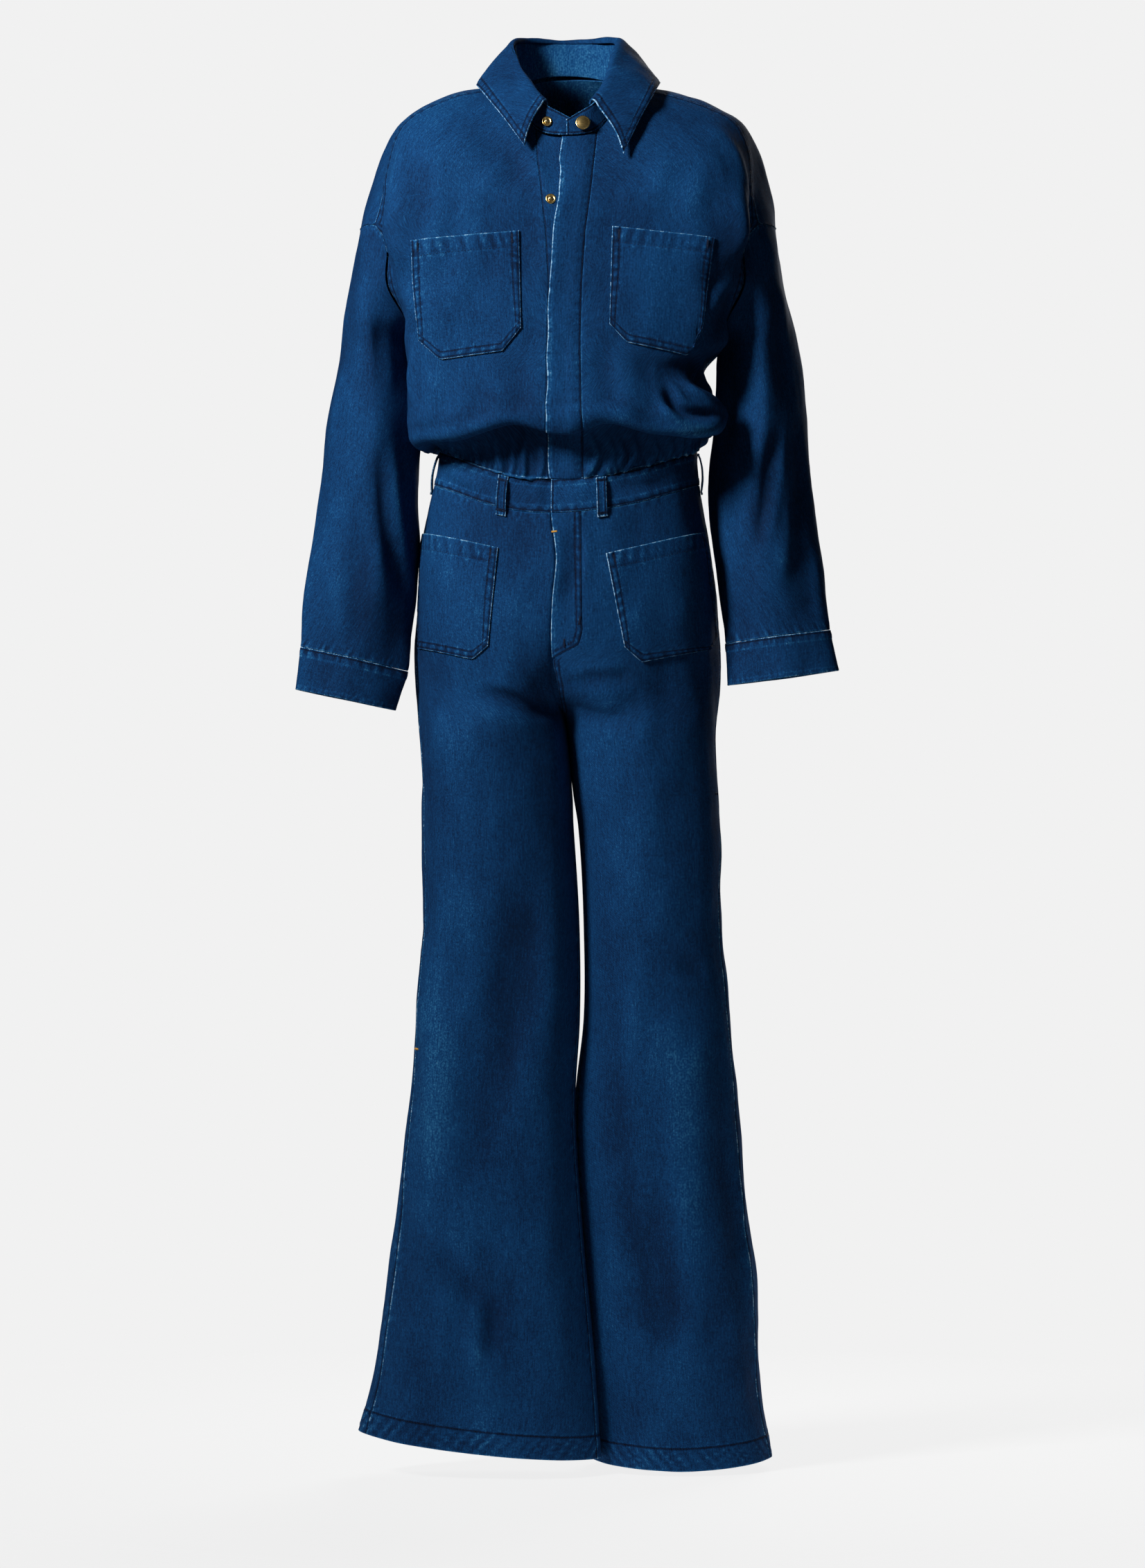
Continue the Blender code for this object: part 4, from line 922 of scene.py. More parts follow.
# The main creases of each sheet: width and height in metres, then station and level of each
# point of the line
CREASE_ROWS = {
    (Zone.BODICE, RIGHT): (
        (.01, .0018, 2.9, 2.01, 2.7, 2.43, 2.3, 3, 1.9, 3.7),
        (.018, -.0027, 2.5, 1.8, 1.78, 2.53, 1.46, 3.7, 1.66, 4.59),
        (.014, -.0021, 2.06, .8, 1.21, .98, .49, 2.11, .32, 3.28),
        (.026, .0021, 2.14, 1.69, 1.38, 1.87, .65, 3.28),
        (.01, -.0018, 2.7, 5.43, 1.94, 6.2, 2.1, 7.12),
        (.016, -.0016, 1.17, 7.68, 1.05, 8.76, .97, 10.35),
        (.014, -.0015, .61, 7.4, .57, 8.47, .49, 10.02),
        (.014, .0018, 1.5, 7.73, 1.58, 8.71, 1.7, 10.3),
        (.011, -.0018, 1.94, 6.79, 2.2, 7.7, 2.1, 9, 1.9, 10.35),
        (.0042, .003, 2.02, 12.5, 2.1, 13.2, 2.12, 13.97),
        (.004, .0036, 1.5, 12.4, 1.58, 13.1, 1.66, 13.97),
        (.0042, .004, 1.1, 12.3, 1.17, 13.1, 1.17, 13.98),
        (.0036, .0032, .84, 12.5, .9, 13.2, .97, 13.97),
        (.004, .0036, .62, 12.4, .7, 13.1, .73, 13.97),
        (.0036, .0027, .44, 12.6, .38, 13.2, .32, 13.95),
        (.009, .0038, 2.7, 10.35, 1.7, 10.55, .85, 10.4, .2, 10.6),
        (.022, -.0033, 8.2, 1.2, 7.9, 3.4, 7.7, 5.6),
        (.014, -.003, 7.3, 6.2, 7.8, 7.4, 8.3, 8.6),
        (.018, .0027, 8.7, 6.5, 8.6, 8.4, 8.75, 10.2),
        (.012, -.0027, 7.8, 8.2, 7.9, 9.2, 7.8, 10.3)),
    (Zone.BODICE, LEFT): (
        (.01, .0015, 2.9, 1.92, 2.67, 2.53, 2.5, 3.2),
        (.017, -.0027, 2.14, 2.06, 1.7, 2.95, 1.66, 4.17, 1.94, 4.82),
        (.014, -.0019, .97, 1.03, .53, 2.43, .4, 3.51),
        (.026, .0021, 1.33, 1.26, 1.21, 2.43, 1.38, 3.51),
        (.009, -.0033, 2.7, 5, 2.45, 5.5, 1.94, 6.37, 1.98, 7.26),
        (.008, .0018, 2.6, 4.7, 1.94, 5.3, 1.74, 6.04),
        (.007, -.0075, 1.33, 8.4, 1.3, 8.94, 1.42, 9.55, 2.1, 9.93),
        (.01, -.011, 1.78, 8, 2.2, 8.52, 2.47, 9.2),
        (.0055, .003, 1.62, 8.24, 1.7, 8.8, 1.95, 9.32),
        (.01, .0045, 1.17, 8.8, 1.2, 9.6, 1.54, 10.3, 2.1, 10.1),
        (.012, -.003, 1.17, 7.91, 1.5, 8.05, 1.82, 7.82, 1.86, 7.4),
        (.014, -.0019, .4, 7.26, .53, 8.33, .49, 10.21),
        (.014, .0016, .85, 7.59, .93, 8.52, .85, 9.65),
        (.004, .0037, .3, 12.4, .5, 13.1, .61, 13.97),
        (.0036, .003, .55, 12.5, .8, 13.2, .93, 13.97),
        (.0038, .0036, .76, 12.6, .95, 13.2, 1.08, 13.97),
        (.004, .0039, .95, 12.4, 1.15, 13.1, 1.3, 13.97),
        (.0038, .0033, 1.3, 12.5, 1.55, 13.2, 1.7, 13.98),
        (.004, .0037, 1.6, 12.4, 1.8, 13.1, 1.95, 13.97),
        (.0038, .0033, 1.86, 12.5, 2.08, 13.1, 2.22, 13.97),
        (.004, .003, 2.12, 12.4, 2.32, 13, 2.48, 13.97),
        (.009, .0038, 0, 10.7, .55, 10.4, .97, 10.6, 1.6, 10.6, 2.2, 10.45),
        (.024, -.003, 8.3, 1.1, 8, 3.2, 7.6, 5.2),
        (.013, -.0027, 7.3, 6.4, 7.7, 7.9, 8.2, 8.9),
        (.016, .0024, 8.5, 7, 8.4, 8.6, 8.5, 10.1),
        (.013, -.0027, 8.95, 7.4, 8.9, 9, 8.95, 10.4)),
    (Zone.SLEEVE, RIGHT): (
        (.025, .0023, 4.21, 4.26, 4.24, 5.63, 4.41, 7.38, 4.45, 8.46),
        (.012, -.003, 3.65, 5.63, 3.84, 7.12, 3.94, 7.92),
        (.012, -.0045, 3.94, 8.39, 3.87, 9, 3.81, 9.6, 3.54, 10.39, 3.34, 10.9),
        (.009, .0037, 3.71, 8.36, 3.67, 9, 3.64, 9.66, 3.37, 10.49),
        (.016, -.003, 4.34, 9.25, 4.24, 10.11, 4.08, 11.09, 3.81, 11.76),
        (.012, .0021, 4.48, 10.3, 4.38, 11.19, 4.21, 11.73),
        (.018, -.0027, 4.75, 6, 4.9, 7.6, 4.8, 9.4, 4.9, 10.8),
        (.02, .003, 5.6, 5.2, 5.5, 7, 5.7, 8.6),
        (.011, -.0051, 6.5, 7.9, 6, 8.5, 5.4, 8.7),
        (.01, -.0042, 6.6, 8.6, 6.1, 9.1, 5.5, 9.2),
        (.014, .0027, 6.2, 9.6, 5.9, 10.6, 5.8, 11.6)),
    (Zone.SLEEVE, LEFT): (
        (.014, -.003, 4.11, 4.4, 4.28, 5.6, 4.41, 7.38, 4.38, 8.36),
        (.01, -.006, 4.31, 8.11, 4.18, 8.81, 4.08, 9.54, 3.91, 10.14),
        (.014, .0033, 4.51, 8.36, 4.41, 9.28, 4.34, 10.2, 4.18, 11.28),
        (.012, .0023, 3.5, 9.25, 3.5, 10.2, 3.44, 11.32),
        (.012, -.0021, 4.61, 9.79, 4.61, 10.74, 4.55, 11.76),
        (.018, .0027, 4.9, 5.4, 5, 7.2, 4.9, 9.2),
        (.018, -.003, 5.7, 5.6, 5.8, 7.2, 5.6, 8.8),
        (.011, -.0048, 6.6, 8.1, 6, 8.7, 5.3, 8.8),
        (.01, -.0039, 6.4, 8.9, 5.9, 9.4, 5.4, 9.4),
        (.014, .0027, 6.3, 9.8, 6.1, 10.8, 5.9, 11.7)),
    (Zone.LEG, RIGHT): (
        (.009, -.0049, 2.21, 5.11, 1.69, 5.15, 1.29, 5.3, .84, 5.53, .56, 5.79),
        (.016, .0032, 2.05, 5.49, 1.61, 5.64, 1.29, 6.02, .84, 6.35),
        (.009, -.0031, .44, 4.89, .44, 5.3, .64, 5.94),
        (.03, -.0085, 1.45, 8.35, 1.57, 8.91, 1.73, 9.7, 1.85, 10.53, 1.89, 11.43),
        (.028, .0049, 3.06, 8.68, 3.22, 9.55, 2.85, 11.05, 2.61, 12.18),
        (.014, -.0035, 2.81, 12.26, 2.53, 12.41, 2.25, 12.63, 2.09, 12.78),
        (.013, -.0035, 1.89, 12.65, 1.93, 12.97, 1.97, 13.27),
        (.011, .0049, 2.13, 12.7, 2.09, 13.05, 2.17, 13.45),
        (.014, -.0041, .6, 10.5, .5, 11.3, .6, 12.2),
        (.026, .0032, 1.33, 11.8, 1.25, 12.56, 1.17, 13.31),
        (.026, -.0053, 4.6, 7.6, 4.9, 9.6, 4.8, 11.6),
        (.026, .0053, 6, 6.9, 5.9, 9, 6.1, 11.4, 6.2, 13.2),
        (.02, -.0049, 7.1, 7.6, 7, 9.4, 6.9, 11.8),
        (.012, -.0069, 7.6, 5.7, 6.8, 5.5, 5.9, 5.6),
        (.014, -.0045, 7.4, 6.4, 6.7, 6.2, 6, 6.4),
        (.006, .0014, 3.46, .34, 2.53, .41, 1.97, .49),
        (.006, -.0015, 3.46, .6, 2.69, .83, 2.05, .79),
        (.006, .0014, 1.21, .3, .68, .41, .3, .49),
        (.007, .0015, 4.8, .6, 5.9, .4, 7, .55)),
    (Zone.LEG, LEFT): (
        (.009, -.0041, .32, 4.89, .8, 4.77, 1.29, 4.74, 1.73, 4.7),
        (.01, -.0041, .4, 5.56, .88, 5.64, 1.37, 5.75, 1.77, 5.71),
        (.007, -.0031, .28, 6.05, .76, 5.86, 1.13, 5.71),
        (.02, .0036, .64, 6.28, .88, 7.22, .84, 8.08),
        (.022, -.0049, 1.17, 8.68, 1.17, 9.81, 1.33, 11.05, 1.41, 11.8, 1.45, 12.59),
        (.024, -.0053, 1.85, 10.53, 1.89, 11.8, 1.89, 12.74, 1.81, 13.5),
        (.026, .0045, 2.49, 9.55, 2.49, 11.05, 2.49, 12.18, 2.49, 13.31),
        (.014, -.0032, 3.26, 11.43, 3.34, 12.22, 3.22, 12.97),
        (.01, -.0024, 3.06, 9.51, 2.73, 9.47, 2.33, 9.4),
        (.026, -.0053, 4.7, 7.4, 5, 9.2, 4.9, 11.8),
        (.028, .0057, 6.1, 7.2, 6, 9.4, 6.2, 11.2, 6.1, 13.4),
        (.02, -.0049, 7, 8, 7.1, 9.8, 6.9, 12),
        (.012, -.0065, 7.6, 5.6, 6.9, 5.4, 6, 5.5),
        (.013, -.0049, 7.5, 6.3, 6.8, 6.1, 6.1, 6.2),
        (.01, -.0032, .48, 1.24, .44, 2.07, .32, 3.2),
        (.006, -.0015, 1.53, .3, 2.13, .53, 2.89, .56),
        (.007, .0014, .2, .3, .6, .41, 1.01, .41),
        (.007, -.0015, 5, .35, 6.1, .5, 7.2, .45)),
}
CREASES = [Crease(zone, side, tuple(zip(row[2::2], row[3::2])), *row[:2])
           for (zone, side), rows in CREASE_ROWS.items() for row in rows]


def waist_gathers(side: Side, first: float = 2.42, last: float = 8.95, gap: float = .135,
                  seed: int = 31) -> list[Crease]:
    """The small uneven gathers of the bodice round the sides and back of the waist.

    Args:
        side: the wearer's side.
        first: the first gather's station.
        last: the last station.
        gap: the mean gap, in stations.
        seed: the seed of their unevenness.

    Returns:
        The gathers.
    """
    dice = np.random.default_rng(seed + side)
    creases, station = [], first
    while station < last:
        if not 3.02 < station < 6.98:
            top, slip = dice.uniform(11.9, 12.9), dice.uniform(-.12, .12)
            creases.append(Crease(Zone.BODICE, side, ((station + slip, top),
                                                      (station + slip / 3, top / 2 + 6.98),
                                                      (station, 13.97)),
                                  dice.uniform(.0034, .0048), dice.uniform(.0012, .0026)))
        station += gap * dice.uniform(.6, 1.4) if station < 3 or station > 6.98 else .2
        if 3.02 < station < 6.98:
            station = 7.02
    return creases


RELIEF = Relief([*CREASES, *waist_gathers(RIGHT), *waist_gathers(LEFT)])


# ---- panels


class Edge(Enum):
    """The four borders of a panel's grid."""

    TOP = "top"
    BOTTOM = "bottom"
    LEFT = "left"
    RIGHT = "right"


@dataclass(frozen=True)
class Seam:
    """What sewing does to the cloth along a stretch of a border, in metres from the border."""

    edge: Edge
    start: float = 0
    end: float = 1
    stitches: tuple = ()
    width: float = 0
    rise: float = 0
    pucker: float = 0
    wear: float = .5
    slant: float = .3
    seed: int = 1


# How sewing marks the cloth: the groove of a stitch line, the worn edge and its line, the crease
# height at which a ridge's painted highlight and a trough's painted shade are full, the pucker
# height at which its painted highlight and painted shade are full, and the puckers' reach
GROOVE_WIDTH, GROOVE_DEPTH, WORN_EDGE = .0011, .00045, .0012
FULL_CREASE, FULL_PUCKER, PUCKER_REACH = .006, .0003, .009
RIM = (0, .00035, .001)
SEAM_BANDS = (.0017, .0025, .0036, .0052, .0066, .0078, .0087, .0097, .0115, .0145)
HEM_BANDS = (.0016, .003, .0055, .0085, .012, .0155, .019, .022, .024, .025, .0259, .027,
             .0282, .03, .033)


def band_distances(seams: Sequence[Seam], edge: Edge) -> Array:
    """How far in from a border its close rows or columns lie.

    Args:
        seams: the panel's seams.
        edge: the border.

    Returns:
        The distances.
    """
    own = [seam for seam in seams if seam.edge is edge and (seam.stitches or seam.width)]
    if not own:
        return np.array((*RIM, .0022, .004))
    deep = max(max((*seam.stitches, seam.width)) for seam in own)
    return np.array((*RIM, *(HEM_BANDS if deep > .014 else SEAM_BANDS)))


def bilinear(table: Array, first: Array, second: Array) -> Array:
    """Read a table on the unit square at arrays of both shares.

    Args:
        table: the values, by rows and columns.
        first: shares down the rows.
        second: shares across the columns.

    Returns:
        The values there.
    """
    rows, columns = table.shape
    y, x = np.clip(first, 0, 1) * (rows - 1), np.clip(second, 0, 1) * (columns - 1)
    r = np.clip(np.floor(y), 0, rows - 2).astype(int)
    c = np.clip(np.floor(x), 0, columns - 2).astype(int)
    y, x = y - r, x - c
    return ((table[r, c] * (1 - x) + table[r, c + 1] * x) * (1 - y)
            + (table[r + 1, c] * (1 - x) + table[r + 1, c + 1] * x) * y)


def spread(length: Array, near: Array, far: Array, middle: int) -> Array:
    """Even out the lines of a grid.

    Args:
        length: the length that the lines divide.
        near: how far in the first lines lie.
        far: how far in the last lines lie, from the other end.
        middle: how many even gaps lie between.

    Returns:
        Shares of the length, with the lines on the last axis.
    """
    length = np.asarray(length, float)[..., None]
    room = np.minimum(1, .46 * length / max(near[-1], far[-1], 1e-9))
    first, last = near * room / length, 1 - far[::-1] * room / length
    share = np.linspace(0, 1, middle + 1)[1:-1]
    between = first[..., -1:] + (last[..., :1] - first[..., -1:]) * share
    return np.concatenate((first, between, last), axis=-1)


@dataclass
class Thread:
    """A line of stitching: points on the cloth, and the normals there."""

    points: Array
    outward: Array


@dataclass
class Panel:
    """A piece of cloth: a close grid on a sheet, shaped by its seams and creases, with two skins.

    place takes shares across and down the piece, and gives points and outward normals.
    """

    name: str
    place: Placer
    zone: Zone
    seams: tuple = ()
    thickness: float = CLOTH
    across: float = .0026
    down: float = .0032
    closed: bool = False
    lift: Callable | None = None
    wall: Callable | None = None
    extra: Callable | None = None
    fit: float = .00015
    threads: list = field(default_factory=list)
    flat: tuple = (0.0, 0.0)
    area: float = 0.0

    def __post_init__(self) -> None:
        """Work out the grid and its shape."""
        self.lay_grid()
        self.shape()
        self.stitch()

    def lay_grid(self) -> None:
        """Choose the grid's shares so that its lines are even in metres."""
        share = np.linspace(0, 1, 41)
        points = self.place(*np.meshgrid(share, share))[0]
        rows, columns = run_lengths(points, 1), run_lengths(points, 0).T
        wide, high = rows[:, -1], columns[:, -1]
        self.flat = (float(wide.max()), float(high.max()))
        to_u = np.array([np.interp(share, row / row[-1], share) for row in rows])
        to_v = np.array([np.interp(share, column / column[-1], share) for column in columns])
        edges = {edge: band_distances(self.seams, edge) for edge in Edge}
        count = max(3, round((wide.max() - edges[Edge.LEFT][-1]) / self.across))
        if self.closed:
            nominal = np.arange(count) / count
        else:
            nominal = spread(np.mean(wide), edges[Edge.LEFT], edges[Edge.RIGHT], count)
        rise = np.interp(nominal, share, high)
        shares = spread(rise, edges[Edge.TOP], edges[Edge.BOTTOM],
                        max(3, round(high.max() / self.down)))
        self.v = bilinear(to_v, nominal[:, None] + 0 * shares, shares).T
        if self.closed:
            length = np.broadcast_to(nominal, self.v.shape)
        else:
            middle = self.v[:, self.v.shape[1] // 2]
            length = spread(np.interp(middle, share, wide), edges[Edge.LEFT], edges[Edge.RIGHT],
                            count)
        self.u = bilinear(to_u, self.v, length)
        self.base, self.outward = self.place(self.u, self.v)

    def distances(self) -> None:
        """Measure how far each point lies from every border, and its place on the flat cloth."""
        ring = np.concatenate((self.base, self.base[:, :1]), axis=1) if self.closed else self.base
        from_top, from_left = run_lengths(self.base, 0), run_lengths(ring, 1)
        self.flat_u, self.flat_v = from_left, from_top
        columns = self.base.shape[1]
        self.apart = {Edge.TOP: from_top, Edge.BOTTOM: from_top[-1:] - from_top,
                      Edge.LEFT: from_left[:, :columns],
                      Edge.RIGHT: (from_left[:, -1:] - from_left)[:, :columns]}
        self.run = {Edge.TOP: from_left[:, :columns], Edge.BOTTOM: from_left[:, :columns],
                    Edge.LEFT: from_top, Edge.RIGHT: from_top}
        cells = np.linalg.norm(np.cross(ring[1:, :-1] - ring[:-1, :-1],
                                        ring[:-1, 1:] - ring[:-1, :-1]), axis=2)
        self.area = float(cells.sum())

    def active(self, seam: Seam) -> Array:
        """How far a seam's effect holds at each point, along its border.

        Args:
            seam: the seam.

        Returns:
            1 where it holds, 0 where not.
        """
        place = self.v if seam.edge in (Edge.LEFT, Edge.RIGHT) else self.u
        soft = .004
        return smooth_step(seam.start - soft, seam.start + soft, place + (seam.start <= 0)) \
            * (1 - smooth_step(seam.end - soft, seam.end + soft, place - (seam.end >= 1)))

    def shape(self) -> None:
        """Raise the grid by its creases and seams; give it its skins, its wear with painted
        highlight, and its painted shade.
        """
        self.distances()
        creases = RELIEF.at(self.base, self.outward, self.zone)
        if self.extra is not None:
            creases = creases + self.extra(self.u, self.v, self.base)
        # Painted highlight on crease ridges, and painted shade in crease troughs.
        wear = np.clip(creases / FULL_CREASE, 0, 1) * .18
        deep = np.clip(-creases / FULL_CREASE, 0, 1) * .35
        sewn = np.zeros_like(creases)
        for seam in self.seams:
            apart, held = self.apart[seam.edge], self.active(seam)
            width = seam.width or PUCKER_REACH
            pucker_shading = min(1, seam.pucker / FULL_PUCKER)
            ripple = SeamNoise(seam.seed).at(self.run[seam.edge] + seam.slant * apart)
            slow = SeamNoise(seam.seed + 50, .031).at(self.run[seam.edge])
            window = np.exp(-((apart - .5 * width) / (.5 * width)) ** 2) * held
            sewn += seam.rise * held * (1 - smooth_step(width - .0009, width + .0009, apart))
            sewn += seam.pucker * ripple * (.7 + .3 * slow) * window
            for line in seam.stitches:
                # Each stitch line sinks a groove into the cloth, and paints shade into it.
                groove = np.exp(-((apart - line) / GROOVE_WIDTH) ** 2) * held
                sewn -= GROOVE_DEPTH * groove
                deep += groove
            fray = .8 + .2 * np.clip(ripple + slow, -1, 1)
            wear += seam.wear * np.exp(-(apart / WORN_EDGE) ** 2) * held * fray
            if seam.width:
                line = np.exp(-((apart - width) / GROOVE_WIDTH) ** 2)
                wear += .3 * seam.wear * line * held * fray
            # Painted highlight on pucker crests, and painted shade in pucker hollows.
            wear += .24 * np.clip(ripple, 0, 1) * window * pucker_shading
            deep += .4 * np.clip(-ripple, 0, 1) * window * pucker_shading
        rim = np.minimum.reduce([self.apart[edge] for edge in
                                 ((Edge.TOP, Edge.BOTTOM) if self.closed else tuple(Edge))])
        thickness = self.thickness if self.wall is None else self.wall(self.u, self.v)
        half = np.broadcast_to(np.asarray(thickness, float), rim.shape) / 2
        round_edge = np.sqrt(np.clip(1 - (1 - np.clip(rim / half, 0, 1)) ** 2, 0, 1))
        half = half * (.22 + .78 * round_edge)
        off = 0 if self.lift is None else self.lift(self.u, self.v)
        self.mid = self.base + self.outward * (off + creases)[..., None]
        self.draw_in()
        self.outer = self.mid + self.outward * (half + sewn * round_edge)[..., None]
        self.inner = self.mid - self.outward * half[..., None]
        self.wear, self.deep = np.clip(wear, 0, 1), np.clip(deep, 0, 1)

    def draw_in(self) -> None:
        """Keep the borders clear of the neighbours'."""
        for axis in (0,) if self.closed else (0, 1):
            lines = np.moveaxis(self.mid, axis, 0)
            for first, second in ((0, 1), (-1, -2)):
                lines[first] += unit(lines[second] - lines[first]) * self.fit

    def line(self, edge: Edge, distance: float, start: float = 0, end: float = 1,
             clear: float = .0012) -> Thread | None:
        """The line on the outer skin that runs beside a border.

        Args:
            edge: the border.
            distance: how far in from it.
            start: the share of the border where the line begins.
            end: the share where it ends.
            clear: how far it stays from the borders that it meets.

        Returns:
            The line, or nothing where the cloth is too small for it.
        """
        upright = edge in (Edge.LEFT, Edge.RIGHT)
        apart = self.apart[edge] if upright else self.apart[edge].T
        place = (self.v if upright else self.u.T)
        grids = [g if upright else np.swapaxes(g, 0, 1) for g in (self.outer, self.outward)]
        ends = (Edge.TOP, Edge.BOTTOM) if upright else (Edge.LEFT, Edge.RIGHT)
        room = np.minimum(*(self.apart[e] if upright else self.apart[e].T for e in ends))
        points, outward = [], []
        for r in range(len(apart)):
            order = np.argsort(apart[r])
            if apart[r][order[-1]] < distance * 1.6:
                continue
            here = np.interp(distance, apart[r][order], place[r][order])
            space = np.interp(distance, apart[r][order], room[r][order])
            if not start <= here <= end or (space < clear and not (self.closed and not upright)):
                continue
            for grid, out in zip(grids, (points, outward)):
                out.append([np.interp(distance, apart[r][order], grid[r][order][:, k])
                            for k in range(3)])
        if len(points) < 4:
            return None
        if self.closed and not upright:
            points.append(points[0])
            outward.append(outward[0])
        return Thread(np.array(points), unit(np.array(outward)))

    def stitch(self) -> None:
        """Lay the lines of stitching of every seam."""
        for seam in self.seams:
            for distance in seam.stitches:
                line = self.line(seam.edge, distance, seam.start, seam.end)
                if line is not None:
                    self.threads.append(line)

    def mesh(self) -> bpy.types.Mesh:
        """The panel's two skins and their edges as one closed mesh."""
        rows, columns = self.base.shape[:2]
        spans = columns if self.closed else columns - 1
        low, high = self.outer, self.inner
        down = self.base[1:, :-1] - self.base[:-1, :-1]
        across = self.base[:-1, 1:] - self.base[:-1, :-1]
        if np.sum(np.cross(down, across) * self.outward[:-1, :-1]) < 0:
            low, high = high, low
        count = rows * columns
        r, c = np.meshgrid(np.arange(rows - 1), np.arange(spans), indexing="ij")
        kinds = [((0, r, c), (0, r + 1, c), (0, r + 1, c + 1), (0, r, c + 1)),
                 ((1, r, c), (1, r, c + 1), (1, r + 1, c + 1), (1, r + 1, c))]
        c, end = np.arange(spans), rows - 1
        kinds += [((0, 0, c), (0, 0, c + 1), (1, 0, c + 1), (1, 0, c)),
                  ((1, end, c), (1, end, c + 1), (0, end, c + 1), (0, end, c))]
        if not self.closed:
            r, end = np.arange(rows - 1), columns - 1
            kinds += [((1, r, 0), (1, r + 1, 0), (0, r + 1, 0), (0, r, 0)),
                      ((0, r, end), (0, r + 1, end), (1, r + 1, end), (1, r, end))]
        corners = np.concatenate([
            np.stack([np.stack(np.broadcast_arrays(*corner), -1).reshape(-1, 3)
                      for corner in kind], 1) for kind in kinds])
        skin, row, column = np.moveaxis(corners, -1, 0)
        faces = skin * count + row * columns + column % columns
        mesh = bpy.data.meshes.new(self.name)
        mesh.vertices.add(2 * count)
        mesh.vertices.foreach_set("co", np.concatenate((low.reshape(-1), high.reshape(-1))))
        mesh.loops.add(faces.size)
        mesh.loops.foreach_set("vertex_index", faces.reshape(-1))
        mesh.polygons.add(len(faces))
        mesh.polygons.foreach_set("loop_start", np.arange(len(faces)) * 4)
        mesh.polygons.foreach_set("use_smooth", np.ones(len(faces), bool))
        wide = self.flat_u
        if not self.closed:
            wide = wide - wide[:, columns // 2][:, None]
        uv = np.stack((wide[row, column], self.flat_v[row, column % columns]), -1)
        mesh.uv_layers.new(name="weave").data.foreach_set("uv", uv.reshape(-1))
        outer_first = low is self.outer
        # The wear attribute holds pale edge wear plus painted highlight on crease and pucker
        # crests; the deep attribute holds painted shade in troughs, pucker hollows and stitch
        # grooves.
        for name, values, inside in (("wear", self.wear, .15), ("deep", self.deep, 0),
                                     ("inside", 0 * self.wear, 1)):
            skins = [values.reshape(-1), np.full(count, inside, float)]
            mesh.attributes.new(name, "FLOAT", "POINT").data.foreach_set(
                "value", np.concatenate(skins if outer_first else skins[::-1]))
        mesh.update()
        mesh.validate()
        return mesh


# ---- shader building


def put(name: str, data: bpy.types.ID) -> bpy.types.Object:
    """A new object in the scene."""
    item = bpy.data.objects.new(name, data)
    bpy.context.scene.collection.objects.link(item)
    return item


class Wire:
    """A socket whose sums and products become Math nodes."""

    def __init__(self, paint: Paint, socket: bpy.types.NodeSocket) -> None:
        """Keep the socket and the material it belongs to."""
        self.paint, self.socket = paint, socket

    def math(self, operation: str, *values: Wire | float) -> Wire:
        """A Math node on values, with this socket among them."""
        return self.paint.wire("ShaderNodeMath", {"operation": operation},
                               dict(enumerate(values)))

    def with_next(self, operation: str, other: Wire | float) -> Wire:
        """A Math node on this socket and a value after it."""
        return self.math(operation, self, other)

    def with_last(self, operation: str, other: float) -> Wire:
        """A Math node on a value before this socket, and this socket."""
        return self.math(operation, other, self)

    __add__, __radd__ = partialmethod(with_next, "ADD"), partialmethod(with_last, "ADD")
    __sub__, __rsub__ = partialmethod(with_next, "SUBTRACT"), partialmethod(with_last, "SUBTRACT")
    __mul__, __rmul__ = partialmethod(with_next, "MULTIPLY"), partialmethod(with_last, "MULTIPLY")

    def sine(self) -> Wire:
        """The sine."""
        return self.math("SINE", self)

    def between(self, low: float, high: float) -> Wire:
        """0 below low, 1 above high, and a straight rise between."""
        return self.paint.wire("ShaderNodeMapRange", {"clamp": True},
                               {"Value": self, "From Min": low, "From Max": high})


